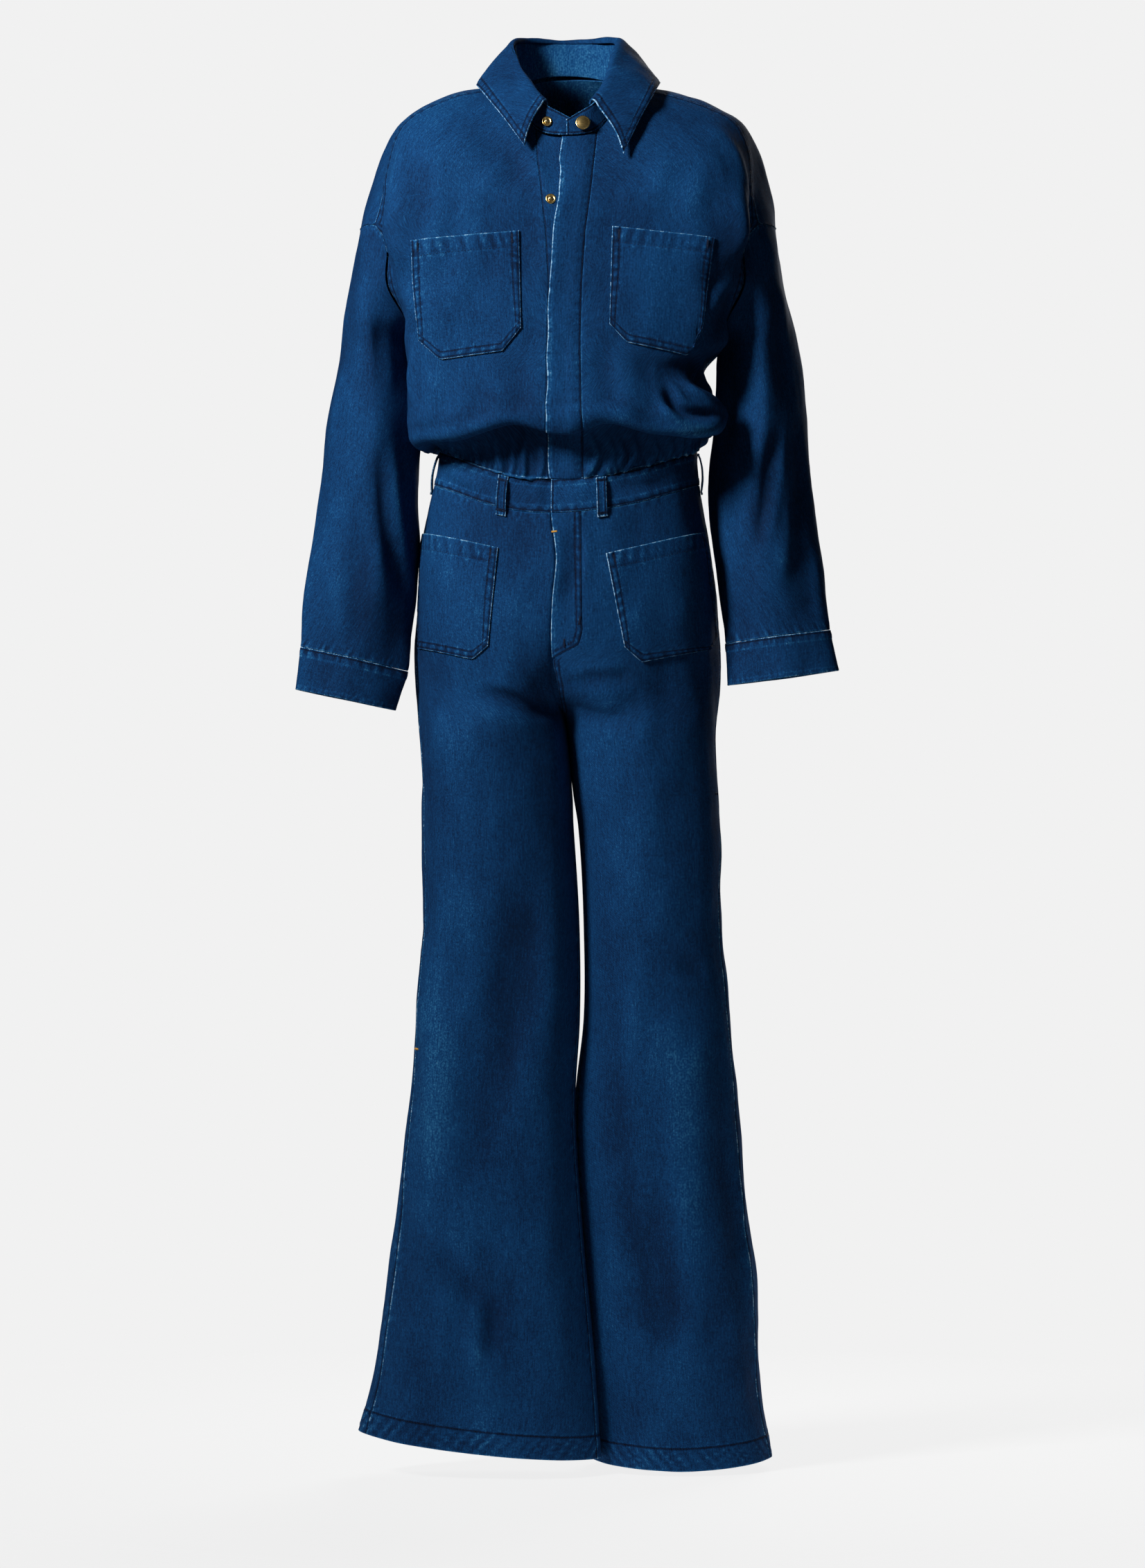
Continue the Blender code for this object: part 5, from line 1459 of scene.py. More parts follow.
class Paint:
    """A material that is being built."""

    def __init__(self, name: str) -> None:
        """Start with a plain Principled shader."""
        self.material = bpy.data.materials.new(name)
        self.material.use_nodes = True
        self.tree = self.material.node_tree
        self.shader = self.tree.nodes["Principled BSDF"]

    def node(self, kind: str, settings: dict | None = None,
             values: dict | None = None) -> bpy.types.Node:
        """Add a node.

        Args:
            kind: the node's type.
            settings: its properties, and the stops of a ramp as "stops".
            values: numbers, colours or wires for its inputs, by name or index.

        Returns:
            The node.
        """
        node = self.tree.nodes.new(kind)
        for key, value in (settings or {}).items():
            if key == "stops":
                self.set_stops(node, value)
            else:
                setattr(node, key, value)
        for key, value in (values or {}).items():
            self.feed(node.inputs[key], value)
        return node

    @staticmethod
    def set_stops(node: bpy.types.Node, stops: Sequence) -> None:
        """Give a ramp its stops, as (position, colour)."""
        elements = node.color_ramp.elements
        while len(elements) < len(stops):
            elements.new(.5)
        for element, (position, colour) in zip(elements, stops):
            element.position, element.color = position, (*colour, 1)

    def feed(self, socket: bpy.types.NodeSocket, value: object) -> None:
        """Link a wire to a socket, or set its value."""
        if isinstance(value, Wire):
            self.tree.links.new(value.socket, socket)
        else:
            socket.default_value = value

    def wire(self, kind: str, settings: dict | None = None, values: dict | None = None,
             output: int | str = 0) -> Wire:
        """Add a node and take one of its outputs."""
        return Wire(self, self.node(kind, settings, values).outputs[output])

    def attribute(self, name: str) -> Wire:
        """A number stored on the mesh."""
        return self.wire("ShaderNodeAttribute", {"attribute_name": name}, output="Fac")

    def noise(self, place: Wire, scale: tuple, detail: float = 2, rough: float = .5) -> Wire:
        """Noise with its own scale along each axis of a place.

        Args:
            place: where to read it.
            scale: the scales.
            detail: the noise's detail.
            rough: how rough the detail is.

        Returns:
            The noise.
        """
        stretched = self.wire("ShaderNodeMapping", {}, {"Vector": place, "Scale": scale})
        return self.wire("ShaderNodeTexNoise", {}, {"Vector": stretched, "Scale": 1.0,
                                                    "Detail": detail, "Roughness": rough})

    def solid(self) -> Wire:
        """The place in the object."""
        return self.wire("ShaderNodeTexCoord", {}, {}, "Object")

    def ramp(self, stops: Sequence, place: Wire) -> Wire:
        """A colour between stops, as (position, colour)."""
        return self.wire("ShaderNodeValToRGB", {"stops": stops}, {"Fac": place})

    def bump(self, height: Wire, strength: float, distance: float) -> Wire:
        """A fine relief."""
        return self.wire("ShaderNodeBump", {}, {"Height": height, "Strength": strength,
                                                "Distance": distance})

    def finish(self, **values: object) -> bpy.types.Material:
        """Set the shader's inputs, by their names with _ for spaces."""
        for key, value in values.items():
            self.feed(self.shader.inputs[key.replace("_", " ")], value)
        return self.material


@dataclass(frozen=True)
class Denim:
    """Washed indigo denim: slubby warp, fine twill, pale wear on folded edges, painted highlight on
    crests, painted shade in creases, puckers and stitch grooves.
    """

    name: str = "denim"
    base: float = .44
    slub: float = .46
    speck: float = .52
    cloudy: float = .2
    grain: float = .34
    twill: float = .035
    roughness: float = .86
    stops: tuple = ((0, (.0006, .004, .015)), (.32, (.0012, .0185, .066)),
                    (.58, (.0034, .048, .152)), (.8, (.022, .135, .28)),
                    (1, (.26, .43, .59)))

    def make(self) -> bpy.types.Material:
        """Build the material."""
        paint = Paint(self.name)
        flat = paint.wire("ShaderNodeUVMap", {"uv_map": "weave"})
        solid = paint.solid()
        parts = paint.node("ShaderNodeSeparateXYZ", {}, {"Vector": flat})
        across, down = Wire(paint, parts.outputs[0]), Wire(paint, parts.outputs[1])
        slub = paint.noise(flat, (760, 62, 1), 3, .62)
        speck = paint.noise(flat, (620, 460, 1), 2, .6)
        cloud = paint.noise(solid, (15, 15, 15), 3, .5)
        grain = paint.noise(flat, (330, 170, 1), 2, .65)
        long_cloud = paint.noise(flat, (70, 9, 1), 2, .5)
        twill = ((across + down) * (math.tau / .0019)).sine()
        # Pale edge wear with painted highlight, and painted shade, as the panels stored them.
        wear, deep = paint.attribute("wear"), paint.attribute("deep")
        inside = paint.attribute("inside")
        painted_highlight_and_wear = wear * (speck * 1.5 + .25)
        tone_and_shading = ((slub - .5) * self.slub + (speck - .5) * self.speck + (cloud - .5) * self.cloudy
                + (long_cloud - .5) * .16 + (grain - .5) * self.grain + twill * self.twill
                + self.base)
        # Lightened by edge wear and painted highlight, darkened by painted shade; the inner skin is
        # a touch paler.
        tone_and_shading = tone_and_shading + painted_highlight_and_wear * .78 - deep * .42 + inside * .05
        ramp = paint.ramp(self.stops, tone_and_shading)
        bump = paint.bump(slub * .6 + speck * .6 + twill * .18, .55, .00045)
        return paint.finish(Base_Color=ramp, Roughness=self.roughness, Normal=bump,
                            Specular_IOR_Level=.1)


@dataclass(frozen=True)
class Cotton:
    """Sewing thread: two colours twisted together."""

    name: str
    dark: tuple
    light: tuple
    roughness: float = .6

    def make(self) -> bpy.types.Material:
        """Build the material."""
        paint = Paint(self.name)
        solid = paint.solid()
        twist = paint.noise(solid, (900, 900, 900), 1)
        tint = paint.ramp(((.35, self.dark), (.65, self.light)), twist)
        return paint.finish(Base_Color=tint, Roughness=self.roughness,
                            Normal=paint.bump(twist, .4, .0001), Specular_IOR_Level=.15)


@dataclass(frozen=True)
class Brass:
    """Gilt brass, with a fine brushed grain and duller specks."""

    name: str = "brass"
    bright: tuple = (.83, .6, .24)
    dull: tuple = (.52, .35, .13)
    roughness: float = .24

    def make(self) -> bpy.types.Material:
        """Build the material."""
        paint = Paint(self.name)
        solid = paint.solid()
        grain = paint.noise(solid, (300, 300, 2600), 2)
        stain = paint.noise(solid, (260, 260, 260), 3)
        tint = paint.ramp(((.3, self.bright), (.75, self.dull)), stain)
        rough = grain * .16 + (stain * .14 + (self.roughness - .12))
        return paint.finish(Base_Color=tint, Roughness=rough, Metallic=1.0,
                            Normal=paint.bump(grain, .25, .00008))


@dataclass(frozen=True)
class PaleFloor:
    """A plain pale floor that fades out at its rim."""

    name: str = "pale_floor"
    colour: tuple = (.12, .12, .12)
    glow: float = .825
    fade_from: float = .55
    fade_to: float = 1.3

    def make(self) -> bpy.types.Material:
        """Build the material."""
        paint = Paint(self.name)
        solid = paint.solid()
        level = paint.wire("ShaderNodeVectorMath", {"operation": "MULTIPLY"},
                           {0: solid, 1: (1, 1, 0)})
        reach = paint.wire("ShaderNodeVectorMath", {"operation": "LENGTH"}, {0: level}, "Value")
        clear = paint.wire("ShaderNodeBsdfTransparent")
        paint.finish(Base_Color=(*self.colour, 1), Roughness=.9, Specular_IOR_Level=0,
                     Emission_Color=(1, 1, 1, 1), Emission_Strength=self.glow)
        blend = paint.node("ShaderNodeMixShader", {}, {0: reach.between(self.fade_from,
                                                                        self.fade_to)})
        paint.tree.links.new(paint.shader.outputs[0], blend.inputs[1])
        paint.tree.links.new(clear.socket, blend.inputs[2])
        paint.tree.links.new(blend.outputs[0], paint.tree.nodes["Material Output"].inputs[0])
        return paint.material


# ---- stitching


@dataclass
class StitchTree:
    """Geometry Nodes that sew a row of stitches along every line of a mesh."""

    name: str = "stitch_row"

    def build(self) -> bpy.types.NodeTree:
        """Build the tree with its named inputs."""
        tree = bpy.data.node_groups.new(self.name, "GeometryNodeTree")
        make = tree.interface.new_socket
        make("Geometry", in_out="INPUT", socket_type="NodeSocketGeometry")
        for label, value in (("Pitch", .0032), ("Length", .0027), ("Width", .0006),
                             ("Height", .0004)):
            make(label, in_out="INPUT", socket_type="NodeSocketFloat").default_value = value
        make("Seed", in_out="INPUT", socket_type="NodeSocketInt").default_value = 7
        make("Material", in_out="INPUT", socket_type="NodeSocketMaterial")
        make("Geometry", in_out="OUTPUT", socket_type="NodeSocketGeometry")
        add = tree.nodes.new
        given, out, curve, evened, ball, tangent, outward, lie, stand, jitter, size, scaled, rows, \
            real, dressed = (add(kind) for kind in (
                "NodeGroupInput", "NodeGroupOutput", "GeometryNodeMeshToCurve",
                "GeometryNodeResampleCurve", "GeometryNodeMeshUVSphere",
                "GeometryNodeInputTangent", "GeometryNodeInputNamedAttribute",
                "FunctionNodeAlignRotationToVector", "FunctionNodeAlignRotationToVector",
                "FunctionNodeRandomValue", "ShaderNodeCombineXYZ", "ShaderNodeVectorMath",
                "GeometryNodeInstanceOnPoints", "GeometryNodeRealizeInstances",
                "GeometryNodeSetMaterial"))
        evened.mode, outward.data_type, jitter.data_type = "LENGTH", "FLOAT_VECTOR", "FLOAT"
        lie.axis, stand.axis, stand.pivot_axis, scaled.operation = "X", "Z", "X", "SCALE"
        low, high = (s for s in jitter.inputs if s.name in ("Min", "Max") and s.type == "VALUE"
                     and s.enabled)
        drawn = next(s for s in jitter.outputs if s.type == "VALUE" and s.enabled)
        for socket, value in ((ball.inputs["Segments"], 6), (ball.inputs["Rings"], 3),
                              (ball.inputs["Radius"], .5), (outward.inputs["Name"], "outward"),
                              (low, .86), (high, 1.1)):
            socket.default_value = value
        for source, node, name in (
                (given.outputs["Geometry"], curve, 0), (curve.outputs[0], evened, "Curve"),
                (given.outputs["Pitch"], evened, "Length"), (tangent.outputs[0], lie, "Vector"),
                (lie.outputs[0], stand, "Rotation"),
                (outward.outputs["Attribute"], stand, "Vector"),
                (given.outputs["Seed"], jitter, "Seed"), (given.outputs["Length"], size, "X"),
                (given.outputs["Width"], size, "Y"), (given.outputs["Height"], size, "Z"),
                (size.outputs[0], scaled, 0), (drawn, scaled, "Scale"),
                (evened.outputs[0], rows, "Points"), (ball.outputs["Mesh"], rows, "Instance"),
                (stand.outputs[0], rows, "Rotation"), (scaled.outputs[0], rows, "Scale"),
                (rows.outputs[0], real, 0), (real.outputs[0], dressed, "Geometry"),
                (given.outputs["Material"], dressed, "Material"), (dressed.outputs[0], out, 0)):
            tree.links.new(source, node.inputs[name])
        return tree


class Stitcher:
    """Sews threads: each piece's stitching becomes one plain mesh."""

    def __init__(self) -> None:
        """Build the tree once."""
        self.tree = StitchTree().build()

    def sew(self, name: str, threads: Sequence[Thread], material: bpy.types.Material,
            sizes: tuple = (.0033, .0027, .00062, .00044), seed: int = 7) -> bpy.types.Object:
        """Sew rows of stitches.

        Args:
            name: the new piece's name.
            threads: the lines to sew along.
            material: the thread's finish.
            sizes: pitch, then length, width and height of a stitch.
            seed: the seed of the stitches' unevenness.

        Returns:
            The piece.
        """
        points = np.concatenate([thread.points for thread in threads])
        outward = np.concatenate([thread.outward for thread in threads])
        pairs, count = [], 0
        for thread in threads:
            pairs += [(count + i, count + i + 1) for i in range(len(thread.points) - 1)]
            count += len(thread.points)
        mesh = bpy.data.meshes.new(name)
        mesh.from_pydata(points.tolist(), pairs, [])
        mesh.attributes.new("outward", "FLOAT_VECTOR", "POINT").data.foreach_set(
            "vector", outward.reshape(-1))
        row = put(name, mesh)
        nodes = row.modifiers.new("stitches", "NODES")
        nodes.node_group = self.tree
        sockets = {item.name: item.identifier for item in self.tree.interface.items_tree
                   if item.in_out == "INPUT"}
        for label, value in zip(("Pitch", "Length", "Width", "Height"), sizes):
            nodes[sockets[label]] = value
        nodes[sockets["Seed"]] = seed
        nodes[sockets["Material"]] = material
        evaluated = row.evaluated_get(bpy.context.evaluated_depsgraph_get())
        sewn = bpy.data.meshes.new_from_object(evaluated)
        row.modifiers.clear()
        row.data = sewn
        bpy.data.meshes.remove(mesh)
        sewn.name = name
        sewn.shade_smooth()
        for attribute in [a.name for a in sewn.attributes if a.name == "outward"]:
            sewn.attributes.remove(sewn.attributes[attribute])
        return row


# ---- making pieces


@dataclass
class Workshop:
    """The finishes and the stitcher that every sub-assembly shares."""

    denim: bpy.types.Material
    cotton: bpy.types.Material
    ochre: bpy.types.Material
    brass: bpy.types.Material
    stitcher: Stitcher

    def cloth(self, panel: Panel, node: str, held: str, rests_on: Sequence[str]) -> None:
        """Args:
            panel: the cloth.
            node: the solid that it stands for.
            held: how the cloth is held; not used.
            rests_on: the nodes that it hangs from or lies on; not used.
        """
        mesh = panel.mesh()
        mesh.materials.append(self.denim)
        piece = put(panel.name, mesh)
        sewn = []
        if panel.threads:
            sewn.append(self.stitcher.sew(f"thread_{node}", panel.threads, self.cotton))
        for item in (piece, *sewn):
            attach(item, "root")
        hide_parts(node)
        width, length = panel.flat
        area = min(panel.area, width * length)
        LOG.info("%s: %d faces, cut %.0f x %.0f mm, %d rows of stitches", piece.name,
                 len(mesh.polygons), width * 1000, length * 1000, len(panel.threads))

    def trim(self, name: str, node: str, threads: Sequence[Thread], sizes: tuple,
             finish: bpy.types.Material | None = None) -> None:
        """Sew a bar tack or another trim on a piece.

        Args:
            name: the new piece's name.
            node: the piece that carries it.
            threads: the rows.
            sizes: pitch, then length, width and height of a stitch.
            finish: the thread's finish, where it isn't tonal.
        """
        row = self.stitcher.sew(name, threads, finish or self.cotton, sizes)
        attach(row, "root")
        LOG.info("%s on %s: %d faces", name, node, len(row.data.polygons))


TACK = (.00062, .0026, .00062, .0005)


def bar_tack(centre: Array, along_way: Array, outward: Array, length: float,
             width: float = .0024) -> list[Thread]:
    """Rows that cross and recross a place, as a bar tack does.

    Args:
        centre: the middle of the tack.
        along_way: the way it runs.
        outward: the cloth's normal.
        length: the tack's length.
        width: its width.

    Returns:
        The rows.
    """
    along_way = unit(np.asarray(along_way, float))
    across = unit(np.cross(outward, along_way))
    rows = []
    for off in np.linspace(-.5, .5, 4) * width:
        ends = np.linspace(-.5, .5, 4)[:, None] * length * along_way + centre + across * off
        rows.append(Thread(ends + outward * .0003, np.broadcast_to(outward, ends.shape)))
    return rows


# ---- the bodice

# Above these levels a panel's edge reads the arm's stations, and below them its own
FRONT_ARM_ABOVE, BACK_ARM_ABOVE = 4.39, 4.49
SHOULDER_END = {"front": 3.9 / 14, "back": 3.75 / 14}
DOUBLE = (.002, .0086)


@dataclass
class BodicePanels:
    """Fronts and back."""

    shop: Workshop
    lap: float = .0102
    rise: float = .0007

    def build(self) -> None:
        """Build the three panels."""
        for side in Side:
            self.shop.cloth(self.front(side), f"front_{side.word}", "hung",
                            ["collar_stand", "back"])
        self.shop.cloth(self.back(), "back", "hung", ["collar_stand", "front_right", "front_left"])

    def front(self, side: Side) -> Panel:
        """A front, from its placket to the shoulder, armhole and side seams."""
        half = BODICE[side]
        centres = np.linspace(0, WAIST_LEVEL, 400)
        line = column_at(OPENING, "under" if side == RIGHT else "stitch", centres)
        starts = station_at(half.at, side, line, centres)

        def place(u: Array, v: Array) -> tuple[Array, Array]:
            """Points and normals at shares across and down."""
            centre = v * WAIST_LEVEL
            start = np.interp(centre, centres, starts)
            station = column_at(FRONT_ROWS, "station", centre)
            level = column_at(FRONT_ROWS, "level", centre)
            stations, levels = mix(start, station, u), mix(centre, level, u)
            high = np.where(levels < FRONT_ARM_ABOVE, 9.0, 3.0)
            return on_sheet(half.at, side, (stations, levels), 0, high)

        end = SHOULDER_END["front"]
        seams = (
            Seam(Edge.RIGHT, 0, end, DOUBLE, self.lap, self.rise, .00026, .8, seed=3),
            Seam(Edge.RIGHT, end, .5, DOUBLE, self.lap, self.rise, .0003, .75, seed=5),
            Seam(Edge.RIGHT, .5, .97, (), 0, 0, .00015, .35, seed=6),
            Seam(Edge.LEFT, 0, .76, (), 0, 0, .00008, .25, seed=7),
            Seam(Edge.BOTTOM, 0, 1, (), 0, 0, .0003, .7, seed=8),
        )
        return Panel(f"denim_front_{side.word}", place, Zone.BODICE, seams, across=.0032,
                     down=.004)

    def back(self) -> Panel:
        """The back, from the right seams across to the left ones."""

        def place(u: Array, v: Array) -> tuple[Array, Array]:
            """Points and normals at shares across and down."""
            centre = v * WAIST_LEVEL
            station = column_at(BACK_ROWS, "station", centre)
            level = column_at(BACK_ROWS, "level", centre)
            share = 1 - np.abs(2 * u - 1)
            stations, levels = mix(station, 9.0, share), mix(level, centre, share)
            low = np.where(levels < BACK_ARM_ABOVE, 3.0, 7.0)
            on_right = (u < .5)[..., None]
            halves = (on_sheet(BODICE[side].at, side, (stations, levels), low, 9)
                      for side in (RIGHT, LEFT))
            return tuple(np.where(on_right, right, left) for right, left in zip(*halves))

        end = SHOULDER_END["back"]
        seams = tuple(seam for edge, seed in ((Edge.LEFT, 11), (Edge.RIGHT, 21)) for seam in (
            Seam(edge, 0, end, wear=.45, pucker=.00012, seed=seed),
            Seam(edge, end, .5, DOUBLE, self.lap, self.rise, .0003, .75, seed=seed + 1),
            Seam(edge, .5, .97, DOUBLE, self.lap, self.rise, .00022, .5, seed=seed + 2)))
        seams += (Seam(Edge.BOTTOM, 0, 1, (), 0, 0, .0003, .7, seed=28),)
        return Panel("denim_back", place, Zone.BODICE, seams, across=.0040, down=.0050)


@dataclass
class Plackets:
    """The over placket and the under placket of the snap front."""

    shop: Workshop
    flush_from: float = .7
    wander: float = .0007

    def build(self) -> None:
        """Build both."""
        self.shop.cloth(self.over(), "placket", "stretched", ["front_left"])
        self.shop.cloth(self.under(), "placket_under", "stretched", ["front_right"])

    def lines(self) -> tuple[Array, Array, Array, Array]:
        """Fine levels, and x of the over edge, its stitching and the under edge there."""
        levels = np.linspace(0, WAIST_LEVEL, 300)
        wave = SeamNoise(77, 1.9).at(levels) * self.wander * smooth_step(0, 1.5, levels)
        return (levels, column_at(OPENING, "edge", levels) + wave,
                column_at(OPENING, "stitch", levels), column_at(OPENING, "under", levels))

    def over(self) -> Panel:
        """The over placket: its left edge is folded and worn, its right lies flush."""
        levels, edge, stitch, _ = self.lines()

        def place(u: Array, v: Array) -> tuple[Array, Array]:
            """Points and normals at shares across and down."""
            level = v * WAIST_LEVEL
            return front_strip(mix(np.interp(level, levels, edge),
                                   np.interp(level, levels, stitch), u), level)

        def lift(u: Array, v: Array) -> Array:
            """The placket lies on the under one, and sinks to the front's level at its seam."""
            return BAND / 2 * (1 - smooth_step(self.flush_from, 1, u)) + 0 * v

        def wall(u: Array, v: Array) -> Array:
            """Doubled cloth that thins to one layer at the seam."""
            return mix(BAND, CLOTH, smooth_step(self.flush_from, 1, u)) + 0 * v

        seams = (Seam(Edge.LEFT, 0, 1, (), .004, .0001, .00022, .95, seed=41),
                 Seam(Edge.RIGHT, 0, 1, (.0012,), 0, 0, .00014, .1, seed=42))
        return Panel("denim_placket", place, Zone.BODICE, seams, BAND, across=.0028, down=.0030,
                     lift=lift, wall=wall)

    def under(self) -> Panel:
        """The under placket: it runs on behind the over one."""
        levels, edge, stitch, under = self.lines()

        def place(u: Array, v: Array) -> tuple[Array, Array]:
            """Points and normals at shares across and down."""
            level = v * WAIST_LEVEL
            end = np.interp(level, levels, (edge + 2 * stitch) / 3)
            return front_strip(mix(np.interp(level, levels, under), end, u), level)

        def lift(u: Array, v: Array) -> Array:
            """Flush with the front at its seam, and clear below the over placket."""
            return -(GAP + CLOTH / 2) * smooth_step(.02, .3, u) + 0 * v

        seams = (Seam(Edge.LEFT, 0, .7, (.0012,), 0, 0, .00014, .3, seed=43),)
        return Panel("denim_placket_under", place, Zone.BODICE, seams, CLOTH, across=.0030,
                     down=.0034, lift=lift)


# ---- the pockets


class FrontFinder:
    """Finds the places of a front sheet that lie at given x and z, seen from the front."""

    def __init__(self, surface: Callable, side: Side, high: float, levels: tuple) -> None:
        """Look over the sheet coarsely.

        Args:
            surface: gives points at stations and levels.
            side: the wearer's side.
            high: the last station of the front.
            levels: the first and the last level.
        """
        self.surface, self.side, self.high = surface, side, high
        self.station, self.level = np.meshgrid(np.linspace(0, high, 50), np.linspace(*levels, 110))
        self.seen = surface(self.station, self.level)[..., (0, 2)].reshape(-1, 2)

    def find(self, x: Array, z: Array) -> Array:
        """The stations and levels at x and z, as pairs.

        Args:
            x: places across.
            z: heights.

        Returns:
            The pairs.
        """
        wanted = np.stack((x, z), 1)
        nearest = [int(np.argmin(np.sum((self.seen - one) ** 2, axis=1))) for one in wanted]
        place = np.stack((self.station.reshape(-1)[nearest], self.level.reshape(-1)[nearest]), 1)
        step = 1e-3
        for _ in range(8):
            here = self.seen_at(place)
            slope = np.stack([(self.seen_at(place + way) - here) / step
                              for way in ((step, 0), (0, step))], axis=2)
            square = np.einsum("nki,nkj->nij", slope, slope) + np.eye(2) * 3e-6
            pull = np.einsum("nki,nk->ni", slope, wanted - here)
            place = place + np.clip(np.linalg.solve(square, pull[..., None])[..., 0], -.3, .3)
            place[:, 0] = np.clip(place[:, 0], 0, self.high)
        return place

    def seen_at(self, place: Array) -> Array:
        """x and z of the sheet at places, each a station and a level."""
        return self.surface(place[:, 0], place[:, 1])[:, (0, 2)]


@dataclass
class PatchPocket:
    """A patch pocket with clipped corners, double stitching and a stitched hem along its top."""

    shop: Workshop
    node: str
    side: Side
    outline: tuple
    zone: Zone
    finder: FrontFinder
    hem: float = .0172
    puff: float = .0008
    held: str = ""
    borders: dict = field(default_factory=dict)

    def corners(self) -> dict[Edge, Array]:
        """The outline as four borders, each an array of (x, z)."""
        points = np.array(self.outline)
        last = len(points) - 1
        foot = 4 if len(points) == 6 else 3
        return {Edge.TOP: points[[0, last]], Edge.LEFT: points[[0, 1]],
                Edge.RIGHT: points[[last, *range(last - 1, foot - 1, -1)]],
                Edge.BOTTOM: points[1:foot + 1]}

    def net_place(self, u: Array, v: Array) -> Array:
        """The station and level, as pairs, of a patch that fills the outline.

        Args:
            u: shares across.
            v: shares down.

        Returns:
            The pairs.
        """
        top, bottom, left, right = (self.borders[edge] for edge in
                                    (Edge.TOP, Edge.BOTTOM, Edge.LEFT, Edge.RIGHT))
        a, b = u[..., None], v[..., None]
        corner = (top(0 * u) * (1 - a) * (1 - b) + top(0 * u + 1) * a * (1 - b)
                  + bottom(0 * u) * (1 - a) * b + bottom(0 * u + 1) * a * b)
        return (top(u) * (1 - b) + bottom(u) * b + left(v) * (1 - a) + right(v) * a) - corner

    def along_border(self, line: Array) -> Callable[[Array], Array]:
        """A border, found on the sheet, as a function of a share of its length."""
        steps = np.linalg.norm(np.diff(line, axis=0), axis=1)
        place = np.concatenate(([0], np.cumsum(steps))) / steps.sum()
        fine = np.linspace(0, 1, 33)
        found = self.finder.find(*(np.interp(fine, place, column) for column in line.T))
        return lambda share: np.stack([np.interp(share, fine, column) for column in found.T], -1)

    def build(self) -> None:
        """Build the pocket."""
        finder, side = self.finder, self.side
        self.borders = {edge: self.along_border(line) for edge, line in self.corners().items()}

        def place(u: Array, v: Array) -> tuple[Array, Array]:
            """Points and normals at shares across and down."""
            spot = np.moveaxis(self.net_place(u, v), -1, 0)
            return on_sheet(finder.surface, side, spot, 0, finder.high)

        def lift(u: Array, v: Array) -> Array:
            """The pocket lies on the front, a little full in its middle and open at its mouth."""
            full = np.sin(np.pi * u) * (np.sin(np.pi * np.clip(v, 0, 1)) + .75 * (1 - v) ** 3)
            slack = np.sin(5.1 * u + 2.0 * v + self.side) * .25 + 1
            return CLOTH / 2 + 2 * GAP + PATCH / 2 + self.puff * full * slack

        double = (.0019, .0084)
        seams = (Seam(Edge.LEFT, 0, 1, double, .0096, .0004, .00034, .85, seed=51 + side),
                 Seam(Edge.RIGHT, 0, 1, double, .0096, .0004, .00034, .85, seed=54 + side),
                 Seam(Edge.BOTTOM, 0, 1, double, .0096, .0004, .00034, .85, seed=57 + side),
                 Seam(Edge.TOP, 0, 1, (self.hem,), .0185, .0005, .0003, .7, seed=61 + side))
        panel = Panel(f"denim_{self.node}", place, self.zone, seams, PATCH, across=.0040,
                      down=.004, lift=lift)
        self.shop.cloth(panel, self.node, "stretched", [self.held])
        tacks = []
        for column in (0, -1):
            step = 8 if column == 0 else -9
            centre = panel.outer[6, step]
            tacks += bar_tack(centre, panel.outer[12, step] - centre, panel.outward[6, step], .0085,
                              .0016)
        self.shop.trim(f"tack_{self.node}", self.node, tacks, TACK)


# ---- the sleeves


@dataclass
class Sleeves:
    """Both sleeves with their cuffs."""

    shop: Workshop
    settle: float = 1.5

    def build(self) -> None:
        """Build both arms."""
        for side in Side:
            self.shop.cloth(self.sleeve(side), f"sleeve_{side.word}", "hung",
                            [f"front_{side.word}", "back"])
            self.shop.cloth(self.cuff(side), f"cuff_{side.word}", "stretched",
                            [f"sleeve_{side.word}"])

    def sleeve(self, side: Side) -> Panel:
        """A sleeve, closed round the arm, from the armhole to the cuff."""
        form, table = BODICE[side].arm, np.array(ARMHOLE)
        last = len(ARMHOLE) - 1

        def place(u: Array, v: Array) -> tuple[Array, Array]:
            """Points and normals at shares round and down."""
            top_station, top_level, below = (np.interp(u * last, np.arange(last + 1), column)
                                             for column in table.T)
            levels = top_level + (CUFF_LEVEL - top_level) * v
            settled = smooth_step(0, 1, (levels - top_level)
                                  / (UNDERARM + self.settle - top_level))
            stations = top_station + (below - top_station) * settled
            return on_sheet(form.at, side, (stations, levels), 3, 7)

        seams = (Seam(Edge.TOP, 0, 1, (), .004, 0, .00035, .45, seed=71 + side),
                 Seam(Edge.BOTTOM, 0, 1, (), 0, 0, .0003, .55, seed=74 + side))
        return Panel(f"denim_sleeve_{side.word}", place, Zone.SLEEVE, seams, across=.0040,
                     down=.0044, closed=True, fit=.0003)

    def cuff(self, side: Side) -> Panel:
        """A cuff: doubled cloth, seamed to the sleeve."""
        form = BODICE[side].arm
        below = np.array([row.below for row in ARMHOLE])

        def place(u: Array, v: Array) -> tuple[Array, Array]:
            """Points and normals at shares round and down."""
            stations = np.interp(u * (len(below) - 1), np.arange(len(below)), below)
            return on_sheet(form.at, side, (stations, CUFF_LEVEL + v), 3, 7)

        seams = (Seam(Edge.TOP, 0, 1, (.0022,), .0095, .0004, .00042, .95, seed=81 + side),
                 Seam(Edge.BOTTOM, 0, 1, (), .005, .0001, .0002, .55, seed=84 + side))
        return Panel(f"denim_cuff_{side.word}", place, Zone.SLEEVE, seams, BAND, across=.0030,
                     down=.003, closed=True)


# ---- the collar


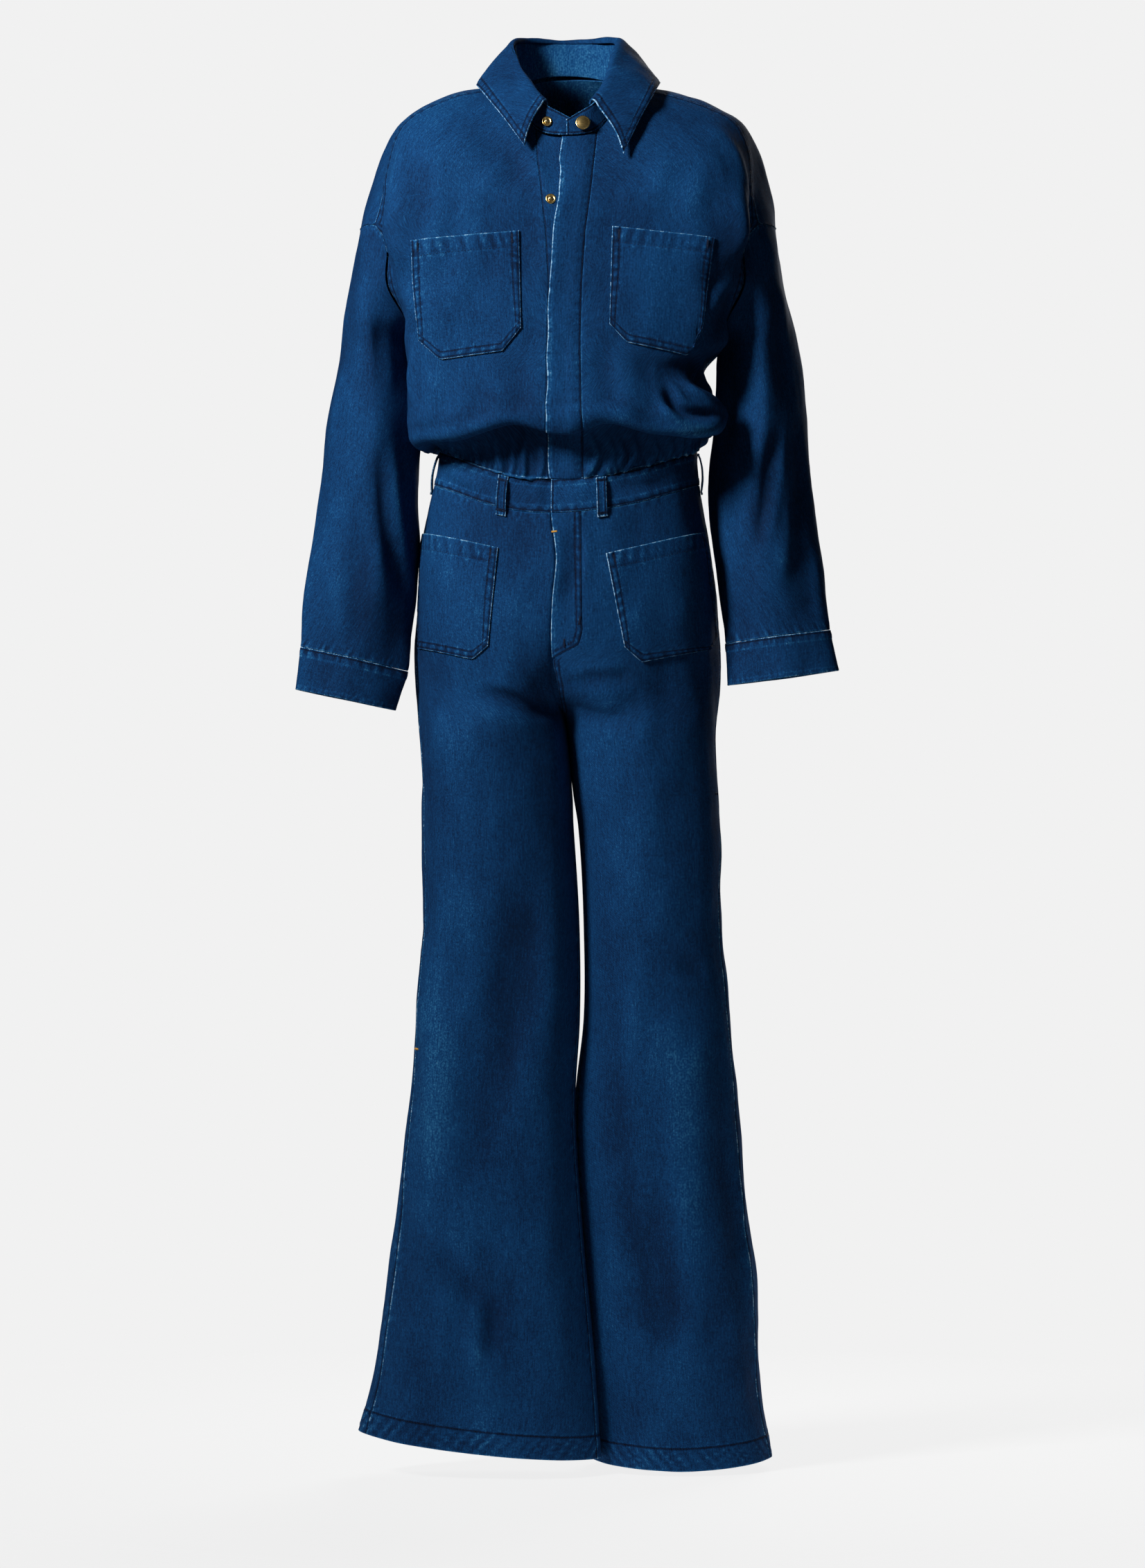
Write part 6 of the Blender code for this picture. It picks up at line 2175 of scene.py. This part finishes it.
@dataclass
class CollarAndStand:
    """The falling collar and the stand that carries it."""

    shop: Workshop
    count: int = 25
    roll: float = .0075
    lift: float = .0022
    stand_drop: float = .0016
    stand_rise: float = .0018
    stand_layer: float = .0015

    def build(self) -> None:
        """Build both."""
        self.shop.cloth(self.collar(), "collar", "laid", ["collar_stand"])
        self.shop.cloth(self.stand(), "collar_stand", "stretched",
                        ["front_right", "front_left", "back"])

    def lines(self, share: Array) -> tuple[Array, Array]:
        """The collar's fold and its outer edge at shares of the way round.

        Args:
            share: the shares, from right to left.

        Returns:
            Both lines.
        """
        sections = (*COLLAR[RIGHT], COLLAR_BACK, *COLLAR[LEFT][::-1])
        place = share * (len(sections) - 1)
        return (through(np.array([row.fold for row in sections]), place),
                through(np.array([row.edge for row in sections]), place))

    @staticmethod
    def level_unit(vectors: Array) -> Array:
        """The level part of vectors, at length one."""
        return unit(vectors * (1, 1, 0))

    def collar(self) -> Panel:
        """The falling collar: it rolls over the stand's top and falls to its edge."""

        def position(u: Array, v: Array) -> Array:
            """Points at shares round and down."""
            fold, edge = self.lines(u)
            out = self.level_unit(edge - fold)
            up = np.array((0, 0, 1.0))
            crest = fold + up * self.lift + out * .0009
            fall = edge - crest
            controls = np.stack((crest - out * .0043 - up * .004, crest - out * .0042 - up * .0008,
                                 crest - out * .0022 + up * .0012,
                                 crest + out * .0002 + up * .0008,
                                 crest + fall * .12 + out * self.roll * .42,
                                 crest + fall * .35 + out * self.roll * .8,
                                 crest + fall * .7 + out * self.roll * .7, edge))
            rows = np.array((0, .04, .08, .12, .22, .42, .73, 1))
            return through(controls, np.interp(v, rows, np.arange(len(rows))))

        double = (.0024, .0098)
        seams = (Seam(Edge.BOTTOM, 0, 1, double, .0112, .0004, .0003, .9, seed=91),
                 Seam(Edge.LEFT, .1, 1, double, .0112, .0004, .00022, .9, seed=92),
                 Seam(Edge.RIGHT, .1, 1, double, .0112, .0004, .00022, .9, seed=93))
        return Panel("denim_collar", faced(position), Zone.BODICE, seams, BAND, across=.0032,
                     down=.0028)

    def stand(self) -> Panel:
        """The stand: its ends run past the collar to the snap, the left one over the right."""
        base, top = self.stand_lines()

        def position(u: Array, v: Array) -> Array:
            """Points at shares round and down from the top."""
            place = u * (len(base) - 1)
            low, high = through(base, place), through(top, place)
            return mix(high, low, v[..., None])

        seams = (Seam(Edge.TOP, 0, 1, (.0022,), .004, .0001, .00012, .6, seed=95),
                 Seam(Edge.BOTTOM, 0, 1, (.0022,), .004, .0002, .0002, .6, seed=96),
                 Seam(Edge.LEFT, 0, 1, (.0022,), .004, .0001, .0001, .7, seed=97),
                 Seam(Edge.RIGHT, 0, 1, (.0022,), .004, .0001, .0001, .7, seed=98))
        return Panel("denim_collar_stand", faced(position), Zone.BODICE, seams, BAND, across=.0036,
                     down=.004)

    def stand_lines(self) -> tuple[Array, Array]:
        """The stand's lower and upper lines, as the solid has them."""
        lines = {}
        half = self.count // 2 + 1
        for side, end in STAND_END.items():
            stations = [row.station for row in COLLAR[side]] + [9]
            place = np.interp(np.linspace(0, len(stations) - 1, half), range(len(stations)),
                              stations)
            line = BODICE[side].at(place, np.zeros_like(place))
            overlap = front_strip(np.array((end[0], (end[0] + line[0, 0]) / 2)),
                                  np.zeros(2))[0]
            lines[side] = [*overlap, *line]
        base = np.array([*lines[RIGHT], *lines[LEFT][-2::-1]])
        fold, edge = self.lines(np.linspace(0, 1, 2 * half - 1))
        top = fold - self.level_unit(edge - fold) * .0009 - (0, 0, self.stand_drop)
        starts = {side: np.array(end) for side, end in STAND_END.items()}
        top = np.array([starts[RIGHT], (starts[RIGHT] + top[0]) / 2, *top,
                        (starts[LEFT] + top[-1]) / 2, starts[LEFT]])
        index = np.arange(len(base))
        layer = np.interp(index, (0, 2, 5, len(base) - 6, len(base) - 3, len(base) - 1),
                          (1, 1, 0, 0, -1, -1)) * self.stand_layer
        shift = layer[:, None] * (0, 1, 0)
        return base + shift + (0, 0, self.stand_rise), top + shift


# ---- the waist

LOOPS = {
    "belt_loop_front_right": (RIGHT, 1.52), "belt_loop_front_left": (LEFT, 1.22),
    "belt_loop_side_right": (RIGHT, 4.05), "belt_loop_side_left": (LEFT, 4.05),
    "belt_loop_back": (LEFT, 8.0),
}


@dataclass
class Waist:
    """The waistband and its belt loops."""

    shop: Workshop
    lap: float = .026
    loop_width: float = .0115
    loop_bow: float = .0038
    loop_top: float = .07
    loop_foot: float = 1.18

    def build(self) -> None:
        """Build the band and the loops."""
        self.shop.cloth(self.band(), "waistband", "stretched",
                        ["trouser_front_right", "trouser_front_left", "fly"])
        for name, (side, station) in LOOPS.items():
            self.loop(name, side, station)

    def band(self) -> Panel:
        """The waistband: the left end closes over the right one."""
        reach = station_at(LEG[LEFT].at, LEFT, np.array([HIPS[0].centre + self.lap]),
                           np.zeros(1))[0]
        total = 16 + reach

        def place(u: Array, v: Array) -> tuple[Array, Array]:
            """Points and normals at shares round and down."""
            turn = u * total
            left = LEG[LEFT].cloth(np.clip(np.where(turn > 16, turn - 16, turn), 0, 8), v)
            right = LEG[RIGHT].cloth(np.clip(16 - turn, 0, 8), v)
            on_right = ((turn > 8) & (turn <= 16))[..., None]
            points, outward = (np.where(on_right, r, f) for r, f in zip(right, left))
            behind = smooth_step(15.55, 15.97, turn)[..., None] * (BAND + GAP)
            return points - outward * behind, outward

        seams = (Seam(Edge.TOP, 0, 1, (.0019,), .008, .0003, .0004, .85, seed=101),
                 Seam(Edge.BOTTOM, 0, 1, (.0019,), .008, .0003, .00034, .7, seed=102),
                 Seam(Edge.LEFT, 0, 1, (.002,), .004, .0002, .0001, .95, seed=103))
        return Panel("denim_waistband", place, Zone.LEG, seams, BAND, across=.0040, down=.0036)

    def loop(self, name: str, side: Side, station: float) -> None:
        """A belt loop: a narrow strip sewn down at both ends and bowed off the waistband.

        Args:
            name: the loop's node.
            side: the wearer's side.
            station: its station on the waist.
        """
        half = LEG[side]
        own = min(station, 7.95)

        def position(u: Array, v: Array) -> Array:
            """Points at shares across and down."""
            levels = mix(self.loop_top, self.loop_foot, v)
            centre, out = half.cloth(np.full_like(levels, station - 1e-6), levels)
            across = unit(half.at(np.full_like(levels, own + .05), levels)
                          - half.at(np.full_like(levels, own - .05), levels))
            bow = self.loop_bow * np.sin(np.pi * np.clip((v - .07) / .86, 0, 1)) ** .6
            stand = BAND / 2 + GAP + LOOP_WALL / 2 + bow
            return (centre + out * stand[..., None]
                    + across * ((u - .5) * self.loop_width)[..., None])

        def place(u: Array, v: Array) -> tuple[Array, Array]:
            """Points and normals at shares across and down."""
            flat = facing(position, u, v)
            out = half.cloth(np.full_like(v, own), mix(self.loop_top, self.loop_foot, v))[1]
            return position(u, v), flat * np.sign(np.sum(flat * out, axis=-1, keepdims=True))

        def ridge(u: Array, v: Array, points: Array) -> Array:
            """The folded edges under the loop's face leave two soft ridges."""
            return .00035 * (np.exp(-((u - .2) / .11) ** 2) + np.exp(-((u - .8) / .11) ** 2))

        seams = (Seam(Edge.LEFT, 0, 1, (.0021,), .0036, .0003, .0001, .8, seed=111),
                 Seam(Edge.RIGHT, 0, 1, (.0021,), .0036, .0003, .0001, .8, seed=112),
                 Seam(Edge.TOP, 0, 1, (), .003, .0002, .00008, .6, seed=113),
                 Seam(Edge.BOTTOM, 0, 1, (), .003, .0002, .00008, .8, seed=114))
        panel = Panel(f"denim_{name}", place, Zone.LEG, seams, LOOP_WALL, across=.0014,
                      down=.0024, extra=ridge)
        self.shop.cloth(panel, name, "stretched", ["waistband"])
        tacks = []
        for row in (6, -7):
            centre = panel.outer[row, panel.outer.shape[1] // 2]
            tacks += bar_tack(centre, panel.outer[row, -1] - panel.outer[row, 0],
                              panel.outward[row, panel.outer.shape[1] // 2], .0095)
        self.shop.trim(f"tack_{name}", name, tacks, TACK)


# ---- the trousers


@dataclass
class Trousers:
    """Fronts, backs and fly, with the turned hems of the legs."""

    shop: Workshop
    hem: float = .027
    hem_rise: float = .0007
    tuck: float = .16
    sink: float = .0024

    def build(self) -> None:
        """Build the five pieces."""
        for side in Side:
            self.shop.cloth(self.panel(side, True), f"trouser_front_{side.word}", "hung",
                            ["waistband"])
            self.shop.cloth(self.panel(side, False), f"trouser_back_{side.word}", "hung",
                            ["waistband"])
        self.shop.cloth(self.fly(), "fly", "stretched", ["trouser_front_left", "waistband"])
        self.tacks()

    @staticmethod
    def fly_line() -> tuple[Array, Array]:
        """Fine levels, and the station of the fly's outer line there (0 below its foot)."""
        levels = np.linspace(1, 6, 400)
        z = LEG[LEFT].at(np.full_like(levels, .3), levels)[:, 2]
        found = station_at(LEG[LEFT].at, LEFT, column_at(FLY[::-1], "x", z), levels)
        return levels, np.where(z < FLY_FOOT, 0, found)

    def tucked(self, station: Array, level: Array) -> tuple[Array, Array]:
        """The right leg's cloth: past the centre it runs on below the left leg's, as sewn.

        Args:
            station: stations of the right leg, below 0 or above 8 past the centre.
            level: the levels there.

        Returns:
            Points and normals.
        """
        station, level = np.broadcast_arrays(station, level)
        past = np.where(station < 4, -station, station - 8)
        crossed = (past > 0) & (level < CROTCH)
        own = LEG[RIGHT].cloth(np.where(crossed, np.clip(station, 0, 8), station), level)
        other = LEG[LEFT].cloth(np.where(station < 4, np.clip(past, 0, 1),
                                         8 - np.clip(past, 0, 1)), level)
        point, out = (np.where(crossed[..., None], b, a) for a, b in zip(own, other))
        sink = smooth_step(-.07, .03, past) * (1 - smooth_step(CROTCH - .5, CROTCH, level))
        return point - out * (sink * self.sink)[..., None], out

    def panel(self, side: Side, front: bool) -> Panel:
        """A trouser front or back; the left front begins at the fly's outer line.

        Args:
            side: the wearer's side.
            front: whether it is a front.

        Returns:
            The panel.
        """
        levels, line = self.fly_line()

        def place(u: Array, v: Array) -> tuple[Array, Array]:
            """Points and normals at shares across and down."""
            level = 1 + v * (HEM_LEVEL - 1)
            inseam = column_at(LEG_SEAMS, "inseam", level)
            outseam = column_at(LEG_SEAMS, "outseam", level)
            start, end = (inseam, outseam) if front else (outseam, 8 + inseam)
            if side == LEFT:
                start = np.maximum(start, np.interp(level, levels, line) if front else 0)
                return LEG[side].cloth(mix(start, end, u), level)
            tuck = self.tuck * (1 - smooth_step(CROTCH - .5, CROTCH - .1, level))
            start, end = (start - tuck, end) if front else (start, end + tuck)
            return self.tucked(mix(start, end, u), level)

        top = (Seam(Edge.TOP, 0, 1, (), 0, 0, .00024, .35, seed=121 + side),)
        foot = (Seam(Edge.BOTTOM, 0, 1, (self.hem - .0018,), self.hem, self.hem_rise, .0003, .5,
                     slant=.9, seed=124 + side),)
        rise_end, over = 5 / 14, side == LEFT
        if front:
            seams = top + foot + (
                Seam(Edge.LEFT, .235 if over else 0, rise_end, (.0018, .0078) if over else (),
                     .0092 if over else 0, .0004 if over else 0, .00026, .6, seed=131 + side),
                Seam(Edge.LEFT, rise_end, 1, (.0022,), .0, .0, .00026, .6, seed=133 + side),
                Seam(Edge.RIGHT, 0, 1, (), .0, .0, .00014, .35, seed=135 + side))
        else:
            seams = top + foot + (
                Seam(Edge.LEFT, 0, 1, (.002,), .0086, .0005, .00028, .6, seed=141 + side),
                Seam(Edge.RIGHT, 0, rise_end, DOUBLE if over else (), .01 if over else 0,
                     .0006 if over else 0, .00024, .5, seed=143 + side),
                Seam(Edge.RIGHT, rise_end, 1, (), 0, 0, .00014, .3, seed=145 + side))
        part = "front" if front else "back"
        return Panel(f"denim_trouser_{part}_{side.word}", place, Zone.LEG, seams,
                     across=.0056 if front else .0072, down=.0056 if front else .0068)

    def fly(self) -> Panel:
        """The fly, between the centre front and its outer line."""
        levels, line = self.fly_line()
        foot = levels[np.nonzero(line > .02)[0][-1]]

        def place(u: Array, v: Array) -> tuple[Array, Array]:
            """Points and normals at shares across and down."""
            level = 1 + v * (foot - 1)
            return LEG[LEFT].cloth(np.interp(level, levels, line) * u, level)

        seams = (Seam(Edge.LEFT, 0, 1, (), .004, .0002, .00014, .85, seed=151),
                 Seam(Edge.RIGHT, 0, 1, (.0014, .007), .0082, .0002, .00026, .22, seed=152))
        return Panel("denim_fly", place, Zone.LEG, seams, BAND, across=.0026, down=.0030)

    def tacks(self) -> None:
        """The bar tacks: ochre at the top of the fly, and tonal ones at its foot and sides."""
        shop, half = self.shop, LEG[LEFT]
        for name, form, station, level, way, length, finish in (
                ("tack_fly_top", half, .03, 1.42, (1, 0, .15), .0042, shop.ochre),
                ("tack_fly_foot", half, .30, 3.95, (0, 0, 1), .0080, None),
                ("tack_fly_side", half, .62, 3.45, (.15, 0, 1), .0080, None),
                ("tack_outseam_right", LEG[RIGHT], 3.5, 10.36, (-.5, .86, 0), .0060, shop.ochre),
                ("tack_outseam_left", half, 3.5, 7.35, (.5, .86, 0), .0050, None)):
            point, out = form.cloth(np.array([station]), np.array([level]))
            lift = RELIEF.at(point, out, Zone.LEG)[:, None]
            point = point + out * (lift + BAND / 2 + .0002)
            shop.trim(name, "fly", bar_tack(point[0], way, out[0], length, .0014), TACK, finish)


# ---- the snaps


@dataclass
class Snaps:
    """The cap on the stand's over end, and the studs on its under end and on the placket."""

    shop: Workshop
    cap: float = .008
    stud: float = .0056
    steps: int = 64
    facing: tuple = (0, -.97, .24)
    cap_place: tuple = (.0173, -.0921, -.0394)
    stud_place: tuple = (-.0216, -.087, -.0373)
    placket_spot: tuple = (-.0174, 2.97)      # x, and the level on the bodice

    def build(self) -> None:
        """Build the three snaps."""
        cap, stud = self.cap, self.stud
        cap_profile = ((0, 0), (cap * .86, 0), (cap * .97, .0002), (cap, .0007),
                       (cap * .985, .0012),
                       (cap * .93, .0016), (cap * .86, .00175), (cap * .8, .00168),
                       (cap * .74, .00175), (cap * .45, .0022), (cap * .2, .00235), (0, .0024))
        stud_profile = ((0, 0), (stud * .94, 0), (stud, .0004), (stud * .985, .0009),
                        (stud * .88, .0012), (stud * .72, .0011), (stud * .6, .0007),
                        (stud * .44, .0006), (stud * .36, .0009), (stud * .33, .0019),
                        (stud * .37, .0024), (stud * .34, .0029), (stud * .2, .0032), (0, .0033))
        self.turned("snap_cap", cap_profile, self.cap_place, self.facing)
        self.turned("snap_stud_collar", stud_profile, self.stud_place, self.facing)
        place, outward = front_strip(*(np.array([one]) for one in self.placket_spot))
        lift = RELIEF.at(place, outward, Zone.BODICE)[:, None]
        self.turned("snap_stud_placket", stud_profile, (place + outward * lift)[0], outward[0])

    def turned(self, node: str, profile: tuple, place: Sequence, facing_way: Sequence) -> None:
        """A turned piece: a profile of (radius, height) spun about an axis through a place.

        Args:
            node: the solid that it stands for.
            profile: its outline from foot to top.
            place: the foot's middle.
            facing_way: the way that it faces.
        """
        rings = np.array(profile[1:-1])
        angle = np.arange(self.steps) * math.tau / self.steps
        circle = np.stack((np.cos(angle), np.sin(angle)), 1)
        verts = [(0, 0, profile[0][1])]
        for radius, height in rings:
            verts += [(x * radius, y * radius, height) for x, y in circle]
        verts.append((0, 0, profile[-1][1]))
        faces, n = [], self.steps
        for i in range(n):
            j = (i + 1) % n
            faces.append((0, 1 + j, 1 + i))
            for ring in range(len(rings) - 1):
                low, high = 1 + ring * n, 1 + (ring + 1) * n
                faces.append((low + i, low + j, high + j, high + i))
            last = 1 + (len(rings) - 1) * n
            faces.append((last + i, last + j, len(verts) - 1))
        turn = Vector((0, 0, 1)).rotation_difference(Vector(facing_way)).to_matrix()
        centre = Vector(place)
        mesh = bpy.data.meshes.new(f"gilt_{node}")
        mesh.from_pydata([tuple(turn @ Vector(v) + centre) for v in verts], [], faces)
        mesh.materials.append(self.shop.brass)
        mesh.shade_smooth()
        mesh.update()
        piece = put(mesh.name, mesh)
        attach(piece, "root")
        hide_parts(node)
        LOG.info("%s: %d faces", piece.name, len(faces))


# ---- the studio


@dataclass
class Studio:
    """The camera, the pale floor and soft light from the upper left."""

    camera_place: tuple = (.006, -6, -.7535)
    lens: float = 125.6
    sensor: float = 36.0
    floor_z: float = -1.506
    backdrop: float = .88
    ambient: float = .025

    def build(self) -> None:
        """Build the studio."""
        self.camera()
        self.floor()
        self.world()
        self.lamp("key", (-2.2, -2.15, 1.30), (0, 0, -.12), .8, 18.3, 55)
        self.lamp("fill", (1.6, -4.2, -.4), (0, 0, -.8), 1.6, 6)
        self.lamp("rear", (1.2, 3.6, 1.0), (0, 0, -.7), 2.2, 100)

    def camera(self) -> None:
        """The camera, level and square to the front."""
        data = bpy.data.cameras.new("camera")
        data.lens, data.sensor_width = self.lens, self.sensor
        data.clip_end = 60
        camera = put("camera", data)
        camera.location, camera.rotation_euler = self.camera_place, (math.radians(90), 0, 0)
        bpy.context.scene.camera = camera

    def floor(self) -> None:
        """A round floor."""
        count, radius = 96, 1.5
        mesh = bpy.data.meshes.new("floor")
        angle = np.arange(count) * math.tau / count
        mesh.from_pydata([(math.cos(a) * radius, math.sin(a) * radius, self.floor_z)
                          for a in angle], [], [tuple(range(count))])
        mesh.materials.append(PaleFloor().make())
        put("floor", mesh)

    def world(self) -> None:
        """A pale surround, which lights the cloth more weakly than it shows."""
        world = bpy.data.worlds.new("studio")
        bpy.context.scene.world = world
        world.use_nodes = True
        nodes, link = world.node_tree.nodes, world.node_tree.links.new
        shown, lit = nodes["Background"], nodes.new("ShaderNodeBackground")
        for node, colour, strength in ((shown, (1, 1, 1, 1), self.backdrop),
                                       (lit, (.92, .96, 1, 1), self.ambient)):
            node.inputs[0].default_value, node.inputs[1].default_value = colour, strength
        path, blend = nodes.new("ShaderNodeLightPath"), nodes.new("ShaderNodeMixShader")
        link(path.outputs["Is Camera Ray"], blend.inputs[0])
        link(lit.outputs[0], blend.inputs[1])
        link(shown.outputs[0], blend.inputs[2])
        link(blend.outputs[0], nodes["World Output"].inputs[0])

    @staticmethod
    def lamp(name: str, place: tuple, target: tuple, size: float, power: float,
             spread: float = 180) -> None:
        """A square soft lamp that looks at a target.

        Args:
            name: the lamp's name.
            place: where it stands.
            target: where it looks.
            size: its side.
            power: its power in watts.
            spread: how wide it throws, in degrees.
        """
        data = bpy.data.lights.new(name, "AREA")
        data.shape, data.size, data.energy = "SQUARE", size, power
        data.spread = math.radians(spread)
        lamp = put(name, data)
        lamp.location = place
        lamp.rotation_euler = (Vector(target) - lamp.location).to_track_quat("-Z", "Y").to_euler()


# ---- the jumpsuit


def main() -> None:
    """Build the studio and every piece of the jumpsuit."""
    logging.basicConfig(level=logging.INFO, format="%(name)s: %(message)s")
    bpy.context.scene.view_settings.view_transform = "Standard"
    thread = Cotton("thread", (.0012, .0035, .013), (.005, .014, .045))
    ochre = Cotton("ochre_thread", (.42, .20, .03), (.70, .38, .08))
    shop = Workshop(Denim().make(), thread.make(), ochre.make(), Brass().make(), Stitcher())
    Studio().build()
    BodicePanels(shop).build()
    Plackets(shop).build()
    for side in Side:
        PatchPocket(shop, f"chest_pocket_{side.word}", side, CHEST_POCKET[side], Zone.BODICE,
                    FrontFinder(BODICE[side].at, side, 2.9, (1.5, 10)),
                    held=f"front_{side.word}").build()
    Sleeves(shop).build()
    CollarAndStand(shop).build()
    Waist(shop).build()
    Trousers(shop).build()
    for side in Side:
        PatchPocket(shop, f"hip_pocket_{side.word}", side, HIP_POCKET[side], Zone.LEG,
                    FrontFinder(LEG[side].at, side, 3.85, (.8, 5.5)),
                    held=f"trouser_front_{side.word}").build()
    Snaps(shop).build()


if __name__ == "__main__":
    main()
